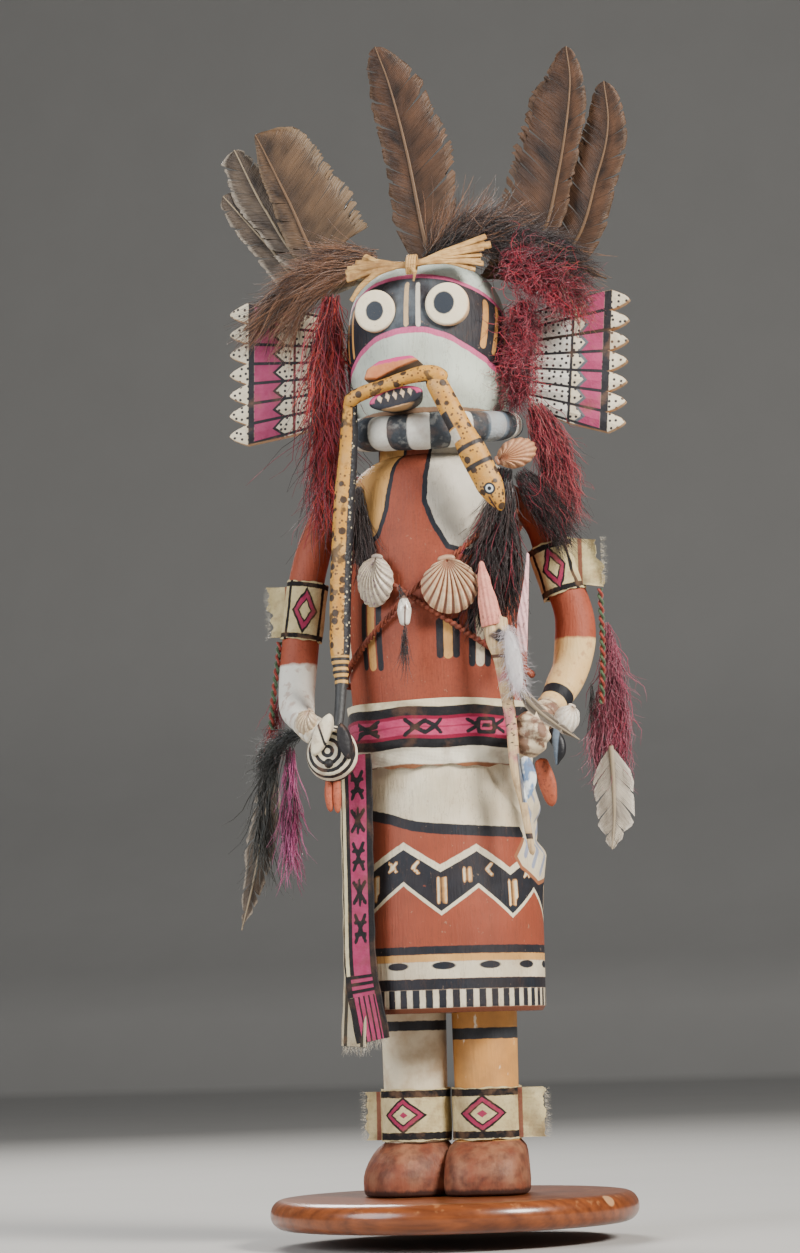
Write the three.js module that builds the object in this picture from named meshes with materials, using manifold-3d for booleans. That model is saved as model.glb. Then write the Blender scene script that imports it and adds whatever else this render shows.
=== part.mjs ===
// A kachina doll carved from cottonwood root: a masked figure with a snake in its mouth, on a round base.
// Units are millimetres. +Z is up, the doll faces -Y and +X is the doll's left side.
import * as THREE from 'three';
import { mergeVertices } from 'three/addons/utils/BufferGeometryUtils.js';
import Module from 'manifold-3d';

const wasm = await Module();
wasm.setup();

// ---------------------------------------------------------------- driving dimensions

const GAP = 0.3; // clearance between pieces that touch
const BASE_RADIUS = 73;
const BASE_HEIGHT = 11.5;
const BASE_ROUND = 5.2; // how far the bullnose rim is rounded in
const HEM = 82.6; // underside of the kilt
const HEM_EDGE = 84.6;
const KILT_TOP = 180;
const WAIST = 192;
const BELLY = 233;
const SHOULDER = 290;
const NECK = 304.5;
const MASK_FOOT = 320;
const CROWN = 387; // top of the mask
const BODY_SIDES = 26;
const LEG_SIDES = 16;
const LEG_OFFSET = 14.3; // from the middle of the body to the middle of a leg
const FOOT_BOTTOM = BASE_HEIGHT + GAP;

// Half width and half depth of the body at each height, from the hem to the top of the mask.
const BODY_PROFILE = [
  [HEM, 37.4, 36.0],
  [HEM_EDGE, 38.7, 37.3],
  [112, 38.9, 37.2],
  [128, 38.5, 36.7],
  [146, 37.2, 35.8],
  [KILT_TOP - 20, 36.6, 35.0],
  [KILT_TOP, 35.4, 33.4],
  [WAIST, 34.4, 32.2],
  [208, 35.0, 32.4],
  [BELLY, 36.8, 33.6],
  [262, 35.7, 32.6],
  [SHOULDER, 33.6, 30.0],
  [300, 30.6, 27.6],
  [NECK, 21.4, 21.0],
  [MASK_FOOT - 1, 21.4, 21.0],
  [MASK_FOOT, 28.4, 28.0],
  [328, 32.0, 31.5],
  [349, 33.3, 32.7],
  [361, 32.6, 32.0],
  [371, 30.2, 29.7],
  [378.5, 25.6, 25.2],
  [384, 17.6, 17.3],
  [CROWN, 7.0, 7.0],
];

// ---------------------------------------------------------------- shape helpers

const at = (x, y, z) => new THREE.Vector3(x, y, z);
const FRONT = at(0, -1, 0);
const UP = at(0, 0, 1);
const LEFT = at(1, 0, 0);
const ARM_FACING = at(0, -0.4, 1);

// The mesh's closed solid, ready for joins and cuts.
function solidOf(geometry) {
  const plain = new THREE.BufferGeometry();
  plain.setAttribute('position', geometry.getAttribute('position'));
  plain.setIndex(geometry.index);
  const merged = mergeVertices(plain, 1e-4);
  const corners = merged.index.array;
  const faces = [];
  for (let i = 0; i < corners.length; i += 3) {
    const [a, b, c] = [corners[i], corners[i + 1], corners[i + 2]];
    if (a !== b && b !== c && c !== a) faces.push(a, b, c);
  }
  return new wasm.Manifold(new wasm.Mesh({
    numProp: 3,
    vertProperties: new Float32Array(merged.getAttribute('position').array),
    triVerts: new Uint32Array(faces),
  }));
}

// The geometry of a solid, with shared vertices.
function geometryOf(solid) {
  const mesh = solid.getMesh();
  const geometry = new THREE.BufferGeometry();
  geometry.setAttribute('position', new THREE.BufferAttribute(new Float32Array(mesh.vertProperties), 3));
  geometry.setIndex(new THREE.BufferAttribute(new Uint32Array(mesh.triVerts), 1));
  geometry.computeVertexNormals();
  return geometry;
}

// A closed body through rings of equal point counts, with a flat cap at each end, facing out.
function loft(rings) {
  const sides = rings[0].length;
  const points = rings.flat();
  const index = [];
  for (let r = 0; r < rings.length - 1; r += 1) {
    for (let s = 0; s < sides; s += 1) {
      const a = r * sides + s;
      const b = r * sides + ((s + 1) % sides);
      index.push(a, b, b + sides, a, b + sides, a + sides);
    }
  }
  const last = (rings.length - 1) * sides;
  const foot = points.length;
  points.push(middleOf(rings[0]), middleOf(rings[rings.length - 1]));
  for (let s = 0; s < sides; s += 1) {
    const next = (s + 1) % sides;
    index.push(foot, next, s, foot + 1, last + s, last + next);
  }
  if (signedVolume(points, index) < 0) index.reverse();
  const geometry = new THREE.BufferGeometry().setFromPoints(points);
  geometry.setIndex(index);
  return solidOf(geometry);
}

function middleOf(ring) {
  const sum = ring.reduce((total, point) => total.add(point), at(0, 0, 0));
  return sum.divideScalar(ring.length);
}

function signedVolume(points, index) {
  let volume = 0;
  for (let i = 0; i < index.length; i += 3) {
    const [a, b, c] = [points[index[i]], points[index[i + 1]], points[index[i + 2]]];
    volume += a.dot(b.clone().cross(c)) / 6;
  }
  return volume;
}

// A superellipse in the plane of two directions. Power 2 is an ellipse and higher is squarer.
function oval(centre, side, over, halfSide, halfOver, sides, power = 2) {
  const reach = (value) => Math.sign(value) * Math.abs(value) ** (2 / power);
  return Array.from({ length: sides }, (_, s) => {
    const angle = (2 * Math.PI * (s + 0.5)) / sides;
    return centre.clone()
      .addScaledVector(side, halfSide * reach(Math.cos(angle)))
      .addScaledVector(over, halfOver * reach(Math.sin(angle)));
  });
}

// A body of level ovals. Each row is height, half width, half depth and the oval's middle.
function upright(rows, sides, { power = 2, turn = 0 } = {}) {
  const side = LEFT.clone().applyAxisAngle(UP, turn);
  const over = FRONT.clone().negate().applyAxisAngle(UP, turn);
  return loft(rows.map(([z, width, depth, x = 0, y = 0]) => (
    oval(at(x, y, z), side, over, width, depth, sides, power)
  )));
}

// The value at u (0 to 1) of evenly spaced stations, joined smoothly.
function along(stations, u) {
  const place = Math.min(Math.max(u, 0), 1) * (stations.length - 1);
  const i = Math.min(Math.floor(place), stations.length - 2);
  return THREE.MathUtils.lerp(stations[i], stations[i + 1], THREE.MathUtils.smoothstep(place - i, 0, 1));
}

// Frames along a smooth path. Each has its middle, its sideways direction and the way it faces.
function framesAlong(path, steps, facing) {
  const curve = new THREE.CatmullRomCurve3(path.map((point) => at(...point)));
  return Array.from({ length: steps + 1 }, (_, i) => {
    const u = i / steps;
    const forward = curve.getTangentAt(u);
    const side = forward.clone().cross(facing).normalize();
    const over = side.clone().cross(forward).normalize();
    return { u, middle: curve.getPointAt(u), side, over };
  });
}

// A rounded body along a path, with half widths and half depths at evenly spaced stations.
function limb(path, widths, depths, { steps = 10, sides = 10, power = 2, facing = FRONT } = {}) {
  return loft(framesAlong(path, steps, facing).map(({ u, middle, side, over }) => (
    oval(middle, side, over, along(widths, u), along(depths, u), sides, power)
  )));
}

// A thin blade along a path, such as a feather: a vane to each side of a raised shaft.
function blade(path, lefts, rights, thickness, { steps = 10, facing = FRONT, rag = 0 } = {}) {
  return loft(framesAlong(path, steps, facing).map(({ u, middle, side, over }, i) => {
    const ragged = rag * (i % 2) * Math.sin(Math.PI * u);
    const point = (across, out) => middle.clone().addScaledVector(side, across).addScaledVector(over, out);
    const half = thickness / 2;
    return [
      point(-Math.max(along(lefts, u) - ragged, half), 0),
      point(0, -half),
      point(Math.max(along(rights, u) - ragged, half), 0),
      point(0, half),
    ];
  }));
}

// A plate cut to an outline in x and z, standing in a level frame and facing the front.
function plate(outline, thickness, { position = [0, 0, 0], turn = 0, lean = 0 } = {}) {
  const shape = new THREE.Shape(outline.map(([x, z]) => new THREE.Vector2(x, z)));
  const geometry = new THREE.ExtrudeGeometry(shape, { depth: thickness, bevelEnabled: false });
  geometry.translate(0, 0, -thickness / 2);
  geometry.rotateX(Math.PI / 2);
  geometry.rotateY(lean);
  geometry.rotateZ(turn);
  geometry.translate(...position);
  geometry.deleteAttribute('normal');
  geometry.deleteAttribute('uv');
  return solidOf(mergeVertices(geometry, 1e-4));
}

// The solid pushed out by a margin along its vertex normals.
function swell(solid, margin) {
  const geometry = geometryOf(solid);
  const position = geometry.getAttribute('position');
  const normal = geometry.getAttribute('normal');
  for (let i = 0; i < position.count; i += 1) {
    position.setXYZ(
      i,
      position.getX(i) + margin * normal.getX(i),
      position.getY(i) + margin * normal.getY(i),
      position.getZ(i) + margin * normal.getZ(i),
    );
  }
  return solidOf(geometry);
}

const join = (...solids) => solids.reduce((whole, solid) => whole.add(solid));

// The piece with a clearance cut to each neighbour, without loose scraps.
function clearOf(piece, ...neighbours) {
  const cut = neighbours.reduce((rest, neighbour) => rest.subtract(swell(neighbour, GAP)), piece);
  return cut.decompose().reduce((best, part) => (part.volume() > best.volume() ? part : best));
}

// Half width and half depth of the body at a height.
function bodyAt(z) {
  const upper = BODY_PROFILE.findIndex((row) => row[0] >= z);
  const [z0, w0, d0] = BODY_PROFILE[upper - 1];
  const [z1, w1, d1] = BODY_PROFILE[upper];
  const u = (z - z0) / (z1 - z0);
  return [THREE.MathUtils.lerp(w0, w1, u), THREE.MathUtils.lerp(d0, d1, u)];
}

// The point on the front of the body at x and z, standing out by a distance.
function onFront(x, z, out = 0) {
  const [width, depth] = bodyAt(z);
  return at(x, -(depth + out) * Math.sqrt(1 - (x / (width + out)) ** 2), z);
}

const ruff = neckRuff();
const figure = clearOf(carvedFigure(), ruff);
const pieces = [];

function addPiece(name, solid, color, roughness = 0.75, metalness = 0) {
  const material = new THREE.MeshStandardMaterial({ color, roughness, metalness });
  const mesh = new THREE.Mesh(geometryOf(solid), material);
  mesh.name = name;
  pieces.push(mesh);
  return solid;
}

// ---------------------------------------------------------------- wood

function roundBase() {
  const middle = BASE_HEIGHT / 2;
  const rim = Array.from({ length: 6 }, (_, i) => {
    const angle = Math.PI * (i / 5 - 0.5);
    const reach = BASE_RADIUS - BASE_ROUND + BASE_ROUND * Math.cos(angle);
    return new THREE.Vector2(reach, middle + middle * Math.sin(angle));
  });
  const profile = [new THREE.Vector2(0, 0), ...rim, new THREE.Vector2(0, BASE_HEIGHT)];
  const geometry = new THREE.LatheGeometry(profile, 40);
  geometry.rotateX(Math.PI / 2);
  geometry.deleteAttribute('normal');
  geometry.deleteAttribute('uv');
  return solidOf(mergeVertices(geometry, 1e-4));
}

// A leg with its moccasin. The toe squares off or comes to a ridge with the power of its outline.
function legAndFoot(x, { toePower, turn, splay = 0, y = 0 }) {
  const foot = upright([
    [FOOT_BOTTOM, 14.4 + splay, 18.4, x + splay * Math.sign(x), y - 4],
    [FOOT_BOTTOM + 1.6, 16.4 + splay, 20.8, x + splay * Math.sign(x), y - 4],
    [FOOT_BOTTOM + 7.5, 16.4 + splay, 21.0, x + splay * Math.sign(x), y - 4],
    [FOOT_BOTTOM + 15, 15.0 + 0.6 * splay, 17.4, x + 0.6 * splay * Math.sign(x), y - 2],
    [FOOT_BOTTOM + 20.5, 12.3, 12.6, x, y],
  ], LEG_SIDES, { power: toePower, turn });
  const leg = upright([
    [FOOT_BOTTOM + 10, 12.2, 12.6, x, y],
    [62, 12.4, 13.0, x, y],
    [HEM + 4, 13.0, 13.6, x, y],
  ], LEG_SIDES);
  return foot.add(leg);
}

// The wrapped kilt opens at the doll's left hip: a scooped mouth with a fold running up from it.
function kiltOpening() {
  const mouth = limb(
    [[27, -33, 156], [34, -25, 153], [41, -14, 150]],
    [0.8, 5.2, 7.5], [2.2, 3.4, 4.2], { steps: 6, sides: 10 },
  );
  const fold = limb(
    [[33, -25.5, 160], [31, -26.5, 170], [26, -29.5, 178]],
    [1.6, 1.2, 0.5], [2.2, 1.6, 0.8], { steps: 5, sides: 8 },
  );
  return mouth.add(fold);
}

function kiltHipFold() {
  return limb(
    [[33, -10, 139], [36.5, -8, 155], [34.5, -6, 170]],
    [4, 11, 4], [3, 5.4, 3], { steps: 6, sides: 12, facing: LEFT },
  );
}

function carvedFigure() {
  const body = upright(BODY_PROFILE, BODY_SIDES);
  const rightLeg = legAndFoot(-LEG_OFFSET, { toePower: 1.75, turn: -0.12, splay: 2.2 });
  const leftLeg = legAndFoot(LEG_OFFSET, { toePower: 2.8, turn: 0.08 });
  return join(body, rightLeg, leftLeg, kiltHipFold()).subtract(kiltOpening());
}

function rightArm() {
  const path = [
    [-28, -1, 296], [-42, -3, 287], [-51.5, -4, 262], [-55, -5, 236],
    [-57, -7, 213], [-54, -17, 203], [-46, -32, 196], [-38, -41, 191],
  ];
  const widths = [5.2, 6.4, 7.3, 7.3, 7.6, 7.2, 5.2, 6.0];
  const depths = [5.4, 6.4, 7.0, 7.2, 7.4, 7.0, 5.0, 5.6];
  return limb(path, widths, depths, { steps: 12, sides: 10, facing: ARM_FACING });
}

function leftArm() {
  const path = [
    [30, 1, 289], [43, 1, 278], [50, 1, 258], [56, 1, 238],
    [55, -2, 220], [51, -9, 208], [47, -18, 199], [41.5, -28, 191],
  ];
  const widths = [5.4, 6.6, 7.4, 7.6, 8.2, 7.2, 5.6, 6.2];
  const depths = [5.4, 6.6, 7.2, 7.4, 7.8, 7.0, 5.6, 6.2];
  const arm = limb(path, widths, depths, { steps: 12, sides: 10, facing: ARM_FACING });
  const knuckles = limb(
    [[43, -30, 198], [42, -32, 189], [40, -32, 180]],
    [5.4, 8.0, 5.4], [4.4, 6.2, 4.4], { steps: 6, sides: 10 },
  );
  return arm.add(knuckles);
}

// A flat disc on the mask, thicker at the cheek side, with its face to the front.
function eye(x, z, halfWide, halfHigh, turn) {
  const side = LEFT.clone().applyAxisAngle(UP, turn);
  const front = FRONT.clone().applyAxisAngle(UP, turn);
  const seat = onFront(x, z, 0);
  const rings = [[-4, 0.94], [3.0, 1.0], [3.9, 0.96]].map(([out, scale]) => (
    oval(seat.clone().addScaledVector(front, out), side, UP, halfWide * scale, halfHigh * scale, 20)
  ));
  return loft(rings);
}

function upperLip() {
  const outline = [[-18, 331.8], [-16.6, 335.6], [-11.6, 338.8], [1.8, 340.2], [4.4, 338.2], [-13, 331.2]];
  return plate(outline, 15, { position: [0, -36, 0] });
}

// An oval lip that narrows towards the mask, standing tipped forward.
function lowerLip() {
  const tilt = at(1, 0, 0.18).normalize();
  const rise = at(-0.18, 0, 1).normalize();
  const steps = [[-28, 0.7], [-36, 0.86], [-42, 1.0], [-44, 0.97]];
  return loft(steps.map(([y, scale]) => oval(at(-5, y, 323.4), tilt, rise, 11 * scale, 4.2 * scale, 16)));
}

// One carved snake: tail down the doll's right side, body across the mouth and head down the other side.
function carvedSnake() {
  const rod = limb(
    [[-33.5, -42.5, 188], [-32.6, -37.5, 200], [-32.2, -33.5, 214]],
    [1.9, 2.1, 2.3], [1.8, 2.0, 2.2], { steps: 3, sides: 8 },
  );
  const tail = limb(
    [[-32.2, -33.6, 212], [-32.6, -32.6, 226], [-31.6, -32.4, 254], [-29.4, -33.2, 282], [-26.6, -35, 304],
      [-23.0, -39.8, 329]],
    [2.6, 4.2, 4.3, 4.2, 4.2, 3.2], [2.6, 3.2, 3.2, 3.2, 3.2, 2.8], { steps: 10, sides: 10 },
  );
  const mouth = limb(
    [[-25.0, -40.0, 325.6], [-10, -42.6, 331.4], [4, -43, 334.8], [14, -41.6, 332.0]],
    [2.6, 2.8, 3.0, 3.8], [2.4, 2.8, 3.2, 3.2], { steps: 6, sides: 8 },
  );
  const head = limb(
    [[8.4, -42, 336.6], [16, -42.4, 320], [24.6, -42.8, 301], [31.4, -41.4, 286], [35.0, -39.4, 277]],
    [3.4, 4.4, 4.6, 5.4, 5.0, 2.0], [2.8, 3.6, 4.0, 4.4, 4.0, 1.8], { steps: 10, sides: 10 },
  );
  return join(rod, tail, mouth, head);
}

// The roll round the neck hangs lower at the front than at the back.
function neckRuff() {
  const steps = 26;
  const tilt = 0.19;
  const rings = Array.from({ length: steps }, (_, i) => {
    const angle = (2 * Math.PI * i) / steps;
    const out = at(Math.cos(angle), Math.sin(angle), 0);
    const height = 5.6 + 1.6 * Math.max(-out.y, 0);
    const place = at(30.2 * out.x, 28.8 * out.y, 317.5 + tilt * 28.8 * out.y);
    return oval(place, out, UP, 7.4, height, 8, 2.5);
  });
  return closedRing(rings);
}

// A body through rings that run round and meet themselves.
function closedRing(rings) {
  const sides = rings[0].length;
  const points = rings.flat();
  const index = [];
  for (let r = 0; r < rings.length; r += 1) {
    const next = ((r + 1) % rings.length) * sides;
    for (let s = 0; s < sides; s += 1) {
      const t = (s + 1) % sides;
      const here = r * sides;
      index.push(here + s, here + t, next + t, here + s, next + t, next + s);
    }
  }
  if (signedVolume(points, index) < 0) index.reverse();
  const geometry = new THREE.BufferGeometry().setFromPoints(points);
  geometry.setIndex(index);
  return solidOf(geometry);
}

// A flat board of seven pointed feathers that spread from a peg in the side of the mask.
function earFan({ side, inner, outer, innerLow, innerHigh, outerLow, outerHigh, point, drift }) {
  const feathers = 7;
  const peg = [[31, 348], [31, 354]];
  const halfway = (inner + outer) / 2;
  const outline = [[inner, innerLow], [inner, 348], ...peg, [inner, 354], [inner, innerHigh]];
  outline.push([halfway, (innerHigh + outerHigh) / 2 + 1.6]);
  for (let i = feathers - 1; i >= 0; i -= 1) {
    const low = THREE.MathUtils.lerp(outerLow, outerHigh, i / feathers);
    const high = THREE.MathUtils.lerp(outerLow, outerHigh, (i + 1) / feathers);
    const valley = outer + drift * (i / feathers);
    const width = high - low;
    outline.push(
      [valley, high],
      [valley + point * 0.72, high - 0.30 * width],
      [valley + point, low + 0.42 * width],
      [valley + point * 0.66, low + 0.24 * width],
    );
  }
  outline.push([outer, outerLow], [halfway, (innerLow + outerLow) / 2 - 1.2]);
  return plate(outline.map(([x, z]) => [side * x, z]), 4.2, { position: [0, 1.2, 0] });
}

// ---------------------------------------------------------------- bands and sashes

// A strip wrapped round a limb, between two heights on it, with its flap.
function wrap(path, halfWide, halfDeep, facing) {
  return limb(path, [halfWide, halfWide], [halfDeep, halfDeep], { steps: 2, sides: 20, facing });
}

// A frayed flap that stands out to one side of a band, as a thin plate.
function flap({ side, x, y, z, width, height, skew = 0, lean = 0 }) {
  const teeth = 5;
  const outline = [[-2, 0]];
  const edgeAt = (up) => width + skew * (1 - up / height);
  for (let i = 0; i < teeth; i += 1) {
    const low = (height * i) / teeth;
    const high = (height * (i + 0.6)) / teeth;
    outline.push([edgeAt(low) * 0.93, low], [edgeAt(high), high]);
  }
  outline.push([width * 0.95, height], [-2, height]);
  return plate(outline.map(([across, up]) => [side * across, up]), 1.4, { position: [x, y, z], lean });
}

// A band round a column. Rows give a height and how far the band stands out from the column there.
function bandRing(rows, columnAt, sides, inset) {
  const rings = Array.from({ length: sides }, (_, i) => {
    const angle = (2 * Math.PI * (i + 0.5)) / sides;
    const place = (z, away) => {
      const { x = 0, width, depth } = columnAt(z);
      return at(x + (width + away) * Math.cos(angle), (depth + away) * Math.sin(angle), z);
    };
    const outer = rows.map(([z, away]) => place(z, away));
    const inner = [rows[rows.length - 1], rows[0]].map(([z]) => place(z, inset));
    return [...outer, ...inner];
  });
  return closedRing(rings);
}

// The belt: a patterned strip over a plain one whose lower edge shows.
function waistSash() {
  const column = (z) => {
    const [width, depth] = bodyAt(z);
    return { width, depth };
  };
  return bandRing([[178.4, 1.9], [186, 1.8], [187, 2.8], [204.8, 2.2]], column, BODY_SIDES, GAP);
}

// A hide cord round the chest in a slanting plane. It lifts where it passes over the other cord.
function bandolier(slope, middle, lift) {
  const steps = 28;
  const crossing = -3.2;
  const rings = Array.from({ length: steps }, (_, i) => {
    const angle = (2 * Math.PI * i) / steps;
    const x = 36 * Math.cos(angle);
    const z = middle + slope * x;
    const [width, depth] = bodyAt(z);
    const out = 1.9 + lift * Math.exp(-(((x - crossing) / 5.5) ** 2));
    const around = at(Math.cos(angle), Math.sin(angle), 0);
    const place = at((width + out) * around.x, (depth + out) * around.y, z);
    return oval(place, around, UP, 1.35, 1.7, 5);
  });
  return closedRing(rings);
}

// A strip that hangs from the belt and turns a little at its lower end.
function hangingStrip({ x, y, top, bottom, halfWide, swing, thickness, turn, lead = 0 }) {
  const facing = FRONT.clone().applyAxisAngle(UP, turn);
  const path = [
    [x, y, top],
    [x, y - 0.8, THREE.MathUtils.lerp(top, bottom, 0.35)],
    [x + lead, y - 1.4, THREE.MathUtils.lerp(top, bottom, 0.75)],
    [x + swing, y - 1.6, bottom],
  ];
  return limb(path, [halfWide, halfWide, halfWide * 1.06], [thickness / 2, thickness / 2], {
    steps: 10, sides: 4, facing,
  });
}

// ---------------------------------------------------------------- shells

// A fan shell: a shallow ribbed dish with its hinge at the top.
function scallop({ middle, width, height, depth, turn = 0, roll = 0 }) {
  const facing = FRONT.clone().applyAxisAngle(UP, turn);
  const up = UP.clone().applyAxisAngle(facing, roll);
  const side = facing.clone().cross(up);
  const ribs = 14;
  const rim = Array.from({ length: ribs }, (_, s) => {
    const angle = (2 * Math.PI * (s + 0.5)) / ribs;
    const pinch = 1 - 0.62 * Math.max(Math.sin(angle), 0) ** 3;
    const groove = s % 2 ? 0.97 : 1;
    return [0.5 * width * Math.cos(angle) * pinch * groove, 0.5 * height * Math.sin(angle) * groove];
  });
  const ring = (scale, out, rise) => rim.map(([across, tall]) => middle.clone()
    .addScaledVector(side, across * scale)
    .addScaledVector(up, tall * scale + rise)
    .addScaledVector(facing, out));
  return loft([
    ring(0.96, -depth * 0.3, 0), ring(1, 0, 0), ring(0.8, depth * 0.55, 0.02 * height),
    ring(0.4, depth, 0.07 * height),
  ]);
}

// ---------------------------------------------------------------- assembly: wood first

addPiece('base', roundBase(), 0x7a4526, 0.35);
addPiece('carved_figure', figure, 0xb8643c);

const rightArmBody = addPiece('right_arm', clearOf(rightArm(), figure), 0xb8643c);
const leftArmBody = addPiece('left_arm', clearOf(leftArm(), figure), 0xc98a4a);

addPiece('right_eye', clearOf(eye(-14.6, 361.6, 7.6, 8.5, -0.12), figure), 0xefe3c4);
addPiece('left_eye', clearOf(eye(14.2, 362.2, 8.8, 8.7, 0.10), figure), 0xefe3c4);

const snake = addPiece('snake', clearOf(carvedSnake(), figure, ruff, rightArmBody), 0xd9b45e);
addPiece('upper_lip', clearOf(upperLip(), figure, snake), 0xe0925a);
addPiece('lower_lip', clearOf(lowerLip(), figure, snake), 0x2c2c30);

addPiece('neck_ruff', ruff, 0xd8d4c8);

const RIGHT_FAN = {
  side: -1, inner: 36, outer: 77, innerLow: 325, innerHigh: 366, outerLow: 316.6, outerHigh: 376,
  point: 7.4, drift: -1.6,
};
const LEFT_FAN = {
  side: 1, inner: 41, outer: 72.4, innerLow: 324, innerHigh: 362, outerLow: 311.8, outerHigh: 370,
  point: 7.2, drift: 4.4,
};
const rightFan = addPiece('right_ear_fan', clearOf(earFan(RIGHT_FAN), figure, ruff), 0xe8dcc0);
const leftFan = addPiece('left_ear_fan', clearOf(earFan(LEFT_FAN), figure, ruff), 0xe8dcc0);

// ---------------------------------------------------------------- crown feathers

// Each feather has its shaft from the crown to the tip and its two vane widths from base to tip.
const CROWN_FEATHERS = [
  {
    name: 'right_outer_feather', color: 0xb0a496,
    shaft: [[-24, 3.6, 383.6], [-52, 3.4, 384], [-68, 3.0, 402], [-85.6, 3.0, 423]],
    lefts: [2, 5, 8, 7.5, 4.5], rights: [2, 5, 8, 9, 6],
  },
  {
    name: 'right_ragged_feather', color: 0x93806c,
    shaft: [[-20, 0.6, 386], [-50, 0.4, 391], [-67, 0.2, 415], [-79.6, 0.2, 441.5]],
    lefts: [2, 4, 7.5, 10.5, 8], rights: [2, 7, 10, 10, 4],
  },
  {
    name: 'right_broad_feather', color: 0x7d5f41,
    shaft: [[-26, -2.6, 384], [-43, -3.0, 389], [-56, -3.4, 417], [-66, -3.8, 439], [-69.4, -4, 446]],
    lefts: [5, 9, 9, 7, 2], rights: [24, 26, 25.5, 21.5, 17],
  },
  {
    name: 'center_feather', color: 0x6d4c31,
    shaft: [[3, 0.2, 387.4], [-0.6, 0.1, 400], [-6.3, 0, 434], [-12.6, 0, 462], [-18.4, 0, 480]],
    lefts: [8, 12, 10.6, 10.5, 4], rights: [5, 17, 19.5, 14.5, 6],
  },
  {
    name: 'left_broad_feather', color: 0x74553a,
    shaft: [[26, 1.6, 385], [47, 1.8, 394], [56, 2, 421], [61.8, 2.2, 455], [61.0, 2.2, 473.4]],
    lefts: [8, 25, 23, 19.5, 4.5], rights: [2, 6.5, 7, 7.5, 3],
  },
  {
    name: 'left_back_feather', color: 0x6a4c34,
    shaft: [[22, 5.4, 381], [58, 5.8, 389], [71.6, 6, 420.5], [76.4, 6.2, 440], [75.4, 6.2, 458.6]],
    lefts: [4, 12.5, 13, 12, 6], rights: [2, 8.5, 9, 9, 5],
  },
];

const feathers = CROWN_FEATHERS.map(({ name, color, shaft, lefts, rights }) => (
  addPiece(name, clearOf(blade(shaft, lefts, rights, 1.3, { steps: 11, rag: 0.9 }), figure), color)
));

const sideFeather = addPiece('left_side_feather', clearOf(blade(
  [[37, -3.4, 391], [49, -4.4, 387], [63, -4.6, 380], [75, -4.6, 373.6]],
  [1.2, 3.2, 2.6, 0.7], [1.2, 3.2, 2.6, 0.7], 1.2, { steps: 6 },
), figure), 0x8c7a66);

// ---------------------------------------------------------------- husk, fur, hair and wool

// A tied bundle of husk strips across the brow, with one strip that hangs at the doll's right.
function huskBundle() {
  const strip = (path, radii) => limb(path, radii, radii, { steps: 4, sides: 5, facing: UP });
  return join(
    strip([[-25.4, -29.4, 378.6], [0, -33.8, 379.4], [28, -26.4, 384.6]], [2.0, 1.6, 2.4]),
    strip([[-21, -30.4, 381.6], [0, -33.0, 380.4], [29.6, -24.6, 387.6]], [1.8, 1.6, 2.2]),
    strip([[-25.6, -29.0, 375.2], [0, -34.0, 378.2], [28.6, -26.8, 380.2]], [1.6, 1.4, 1.7]),
    strip([[-24.6, -30.8, 366.6], [-14, -32.6, 376.4], [0, -33.6, 379.2]], [1.2, 1.5, 1.2]),
  );
}

const crownPieces = [figure, rightFan, leftFan, sideFeather, ...feathers];
const husk = addPiece('husk_bundle', clearOf(huskBundle(), figure), 0xe9cf95);

const crownFur = addPiece('crown_fur', clearOf(limb(
  [[4, -7, 388], [14, -9, 392.6], [26, -10, 395.6], [38, -9, 392]],
  [3.4, 7.6, 8.6, 4.4], [3.6, 6.4, 6.4, 3.6], { steps: 8, sides: 8 },
), ...crownPieces, husk), 0x2a1f1a);

const rightFringe = addPiece('right_fur_fringe', clearOf(limb(
  [[-20, -18, 387], [-36, -15, 387.4], [-50, -11, 380], [-62, -9, 371], [-71, -8.6, 361]],
  [5.4, 6.6, 6.6, 5.0, 1.4], [3.4, 4.6, 3.8, 2.4, 1.0], { steps: 10, sides: 8 },
), ...crownPieces, husk), 0x8a5a3c);

const rightHair = addPiece('right_hair', clearOf(limb(
  [[-37, -13, 372], [-39, -13.6, 352], [-40, -14, 322], [-40.6, -14, 300], [-41.6, -12, 281]],
  [4.4, 6.4, 6.6, 5.4, 3.0], [4.0, 5.0, 4.8, 3.6, 2.2], { steps: 10, sides: 8 },
), ...crownPieces, rightFringe, ruff, rightArmBody), 0xa3302a);

const leftHair = addPiece('left_hair', clearOf(limb(
  [[33, -14, 381], [44, -12.6, 382.6], [55, -11, 379], [62, -10, 374]],
  [6.6, 8.6, 7.4, 3.6], [4.4, 5.6, 4.8, 2.6], { steps: 8, sides: 8 },
), ...crownPieces, husk, crownFur), 0x7d2430);

const leftWool = addPiece('left_wool_ball', clearOf(limb(
  [[40.6, -9.6, 362], [40.0, -10.4, 350], [38.4, -10.6, 338], [38.4, -9.6, 326.6]],
  [3.0, 6.6, 6.2, 3.4], [3.0, 5.6, 5.4, 3.0], { steps: 8, sides: 9 },
), ...crownPieces, ruff, leftHair), 0x7c3140);

const leftStrands = addPiece('left_hair_strands', clearOf(limb(
  [[45, -6.4, 321], [50, -7, 308], [53.6, -7.4, 294], [57, -8, 278]],
  [5.4, 8.2, 7.0, 2.6], [2.4, 3.6, 3.2, 1.6], { steps: 8, sides: 8 },
), ...crownPieces, ruff, leftArmBody, leftWool), 0x8e4b52);

// A tuft of hair that lies on the chest, from its root to its loose ends.
function tuft(path, widths, depths) {
  const points = path.map(([x, z, out]) => onFront(x, z, out).toArray());
  return limb(points, widths, depths, { steps: 8, sides: 8 });
}

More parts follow.
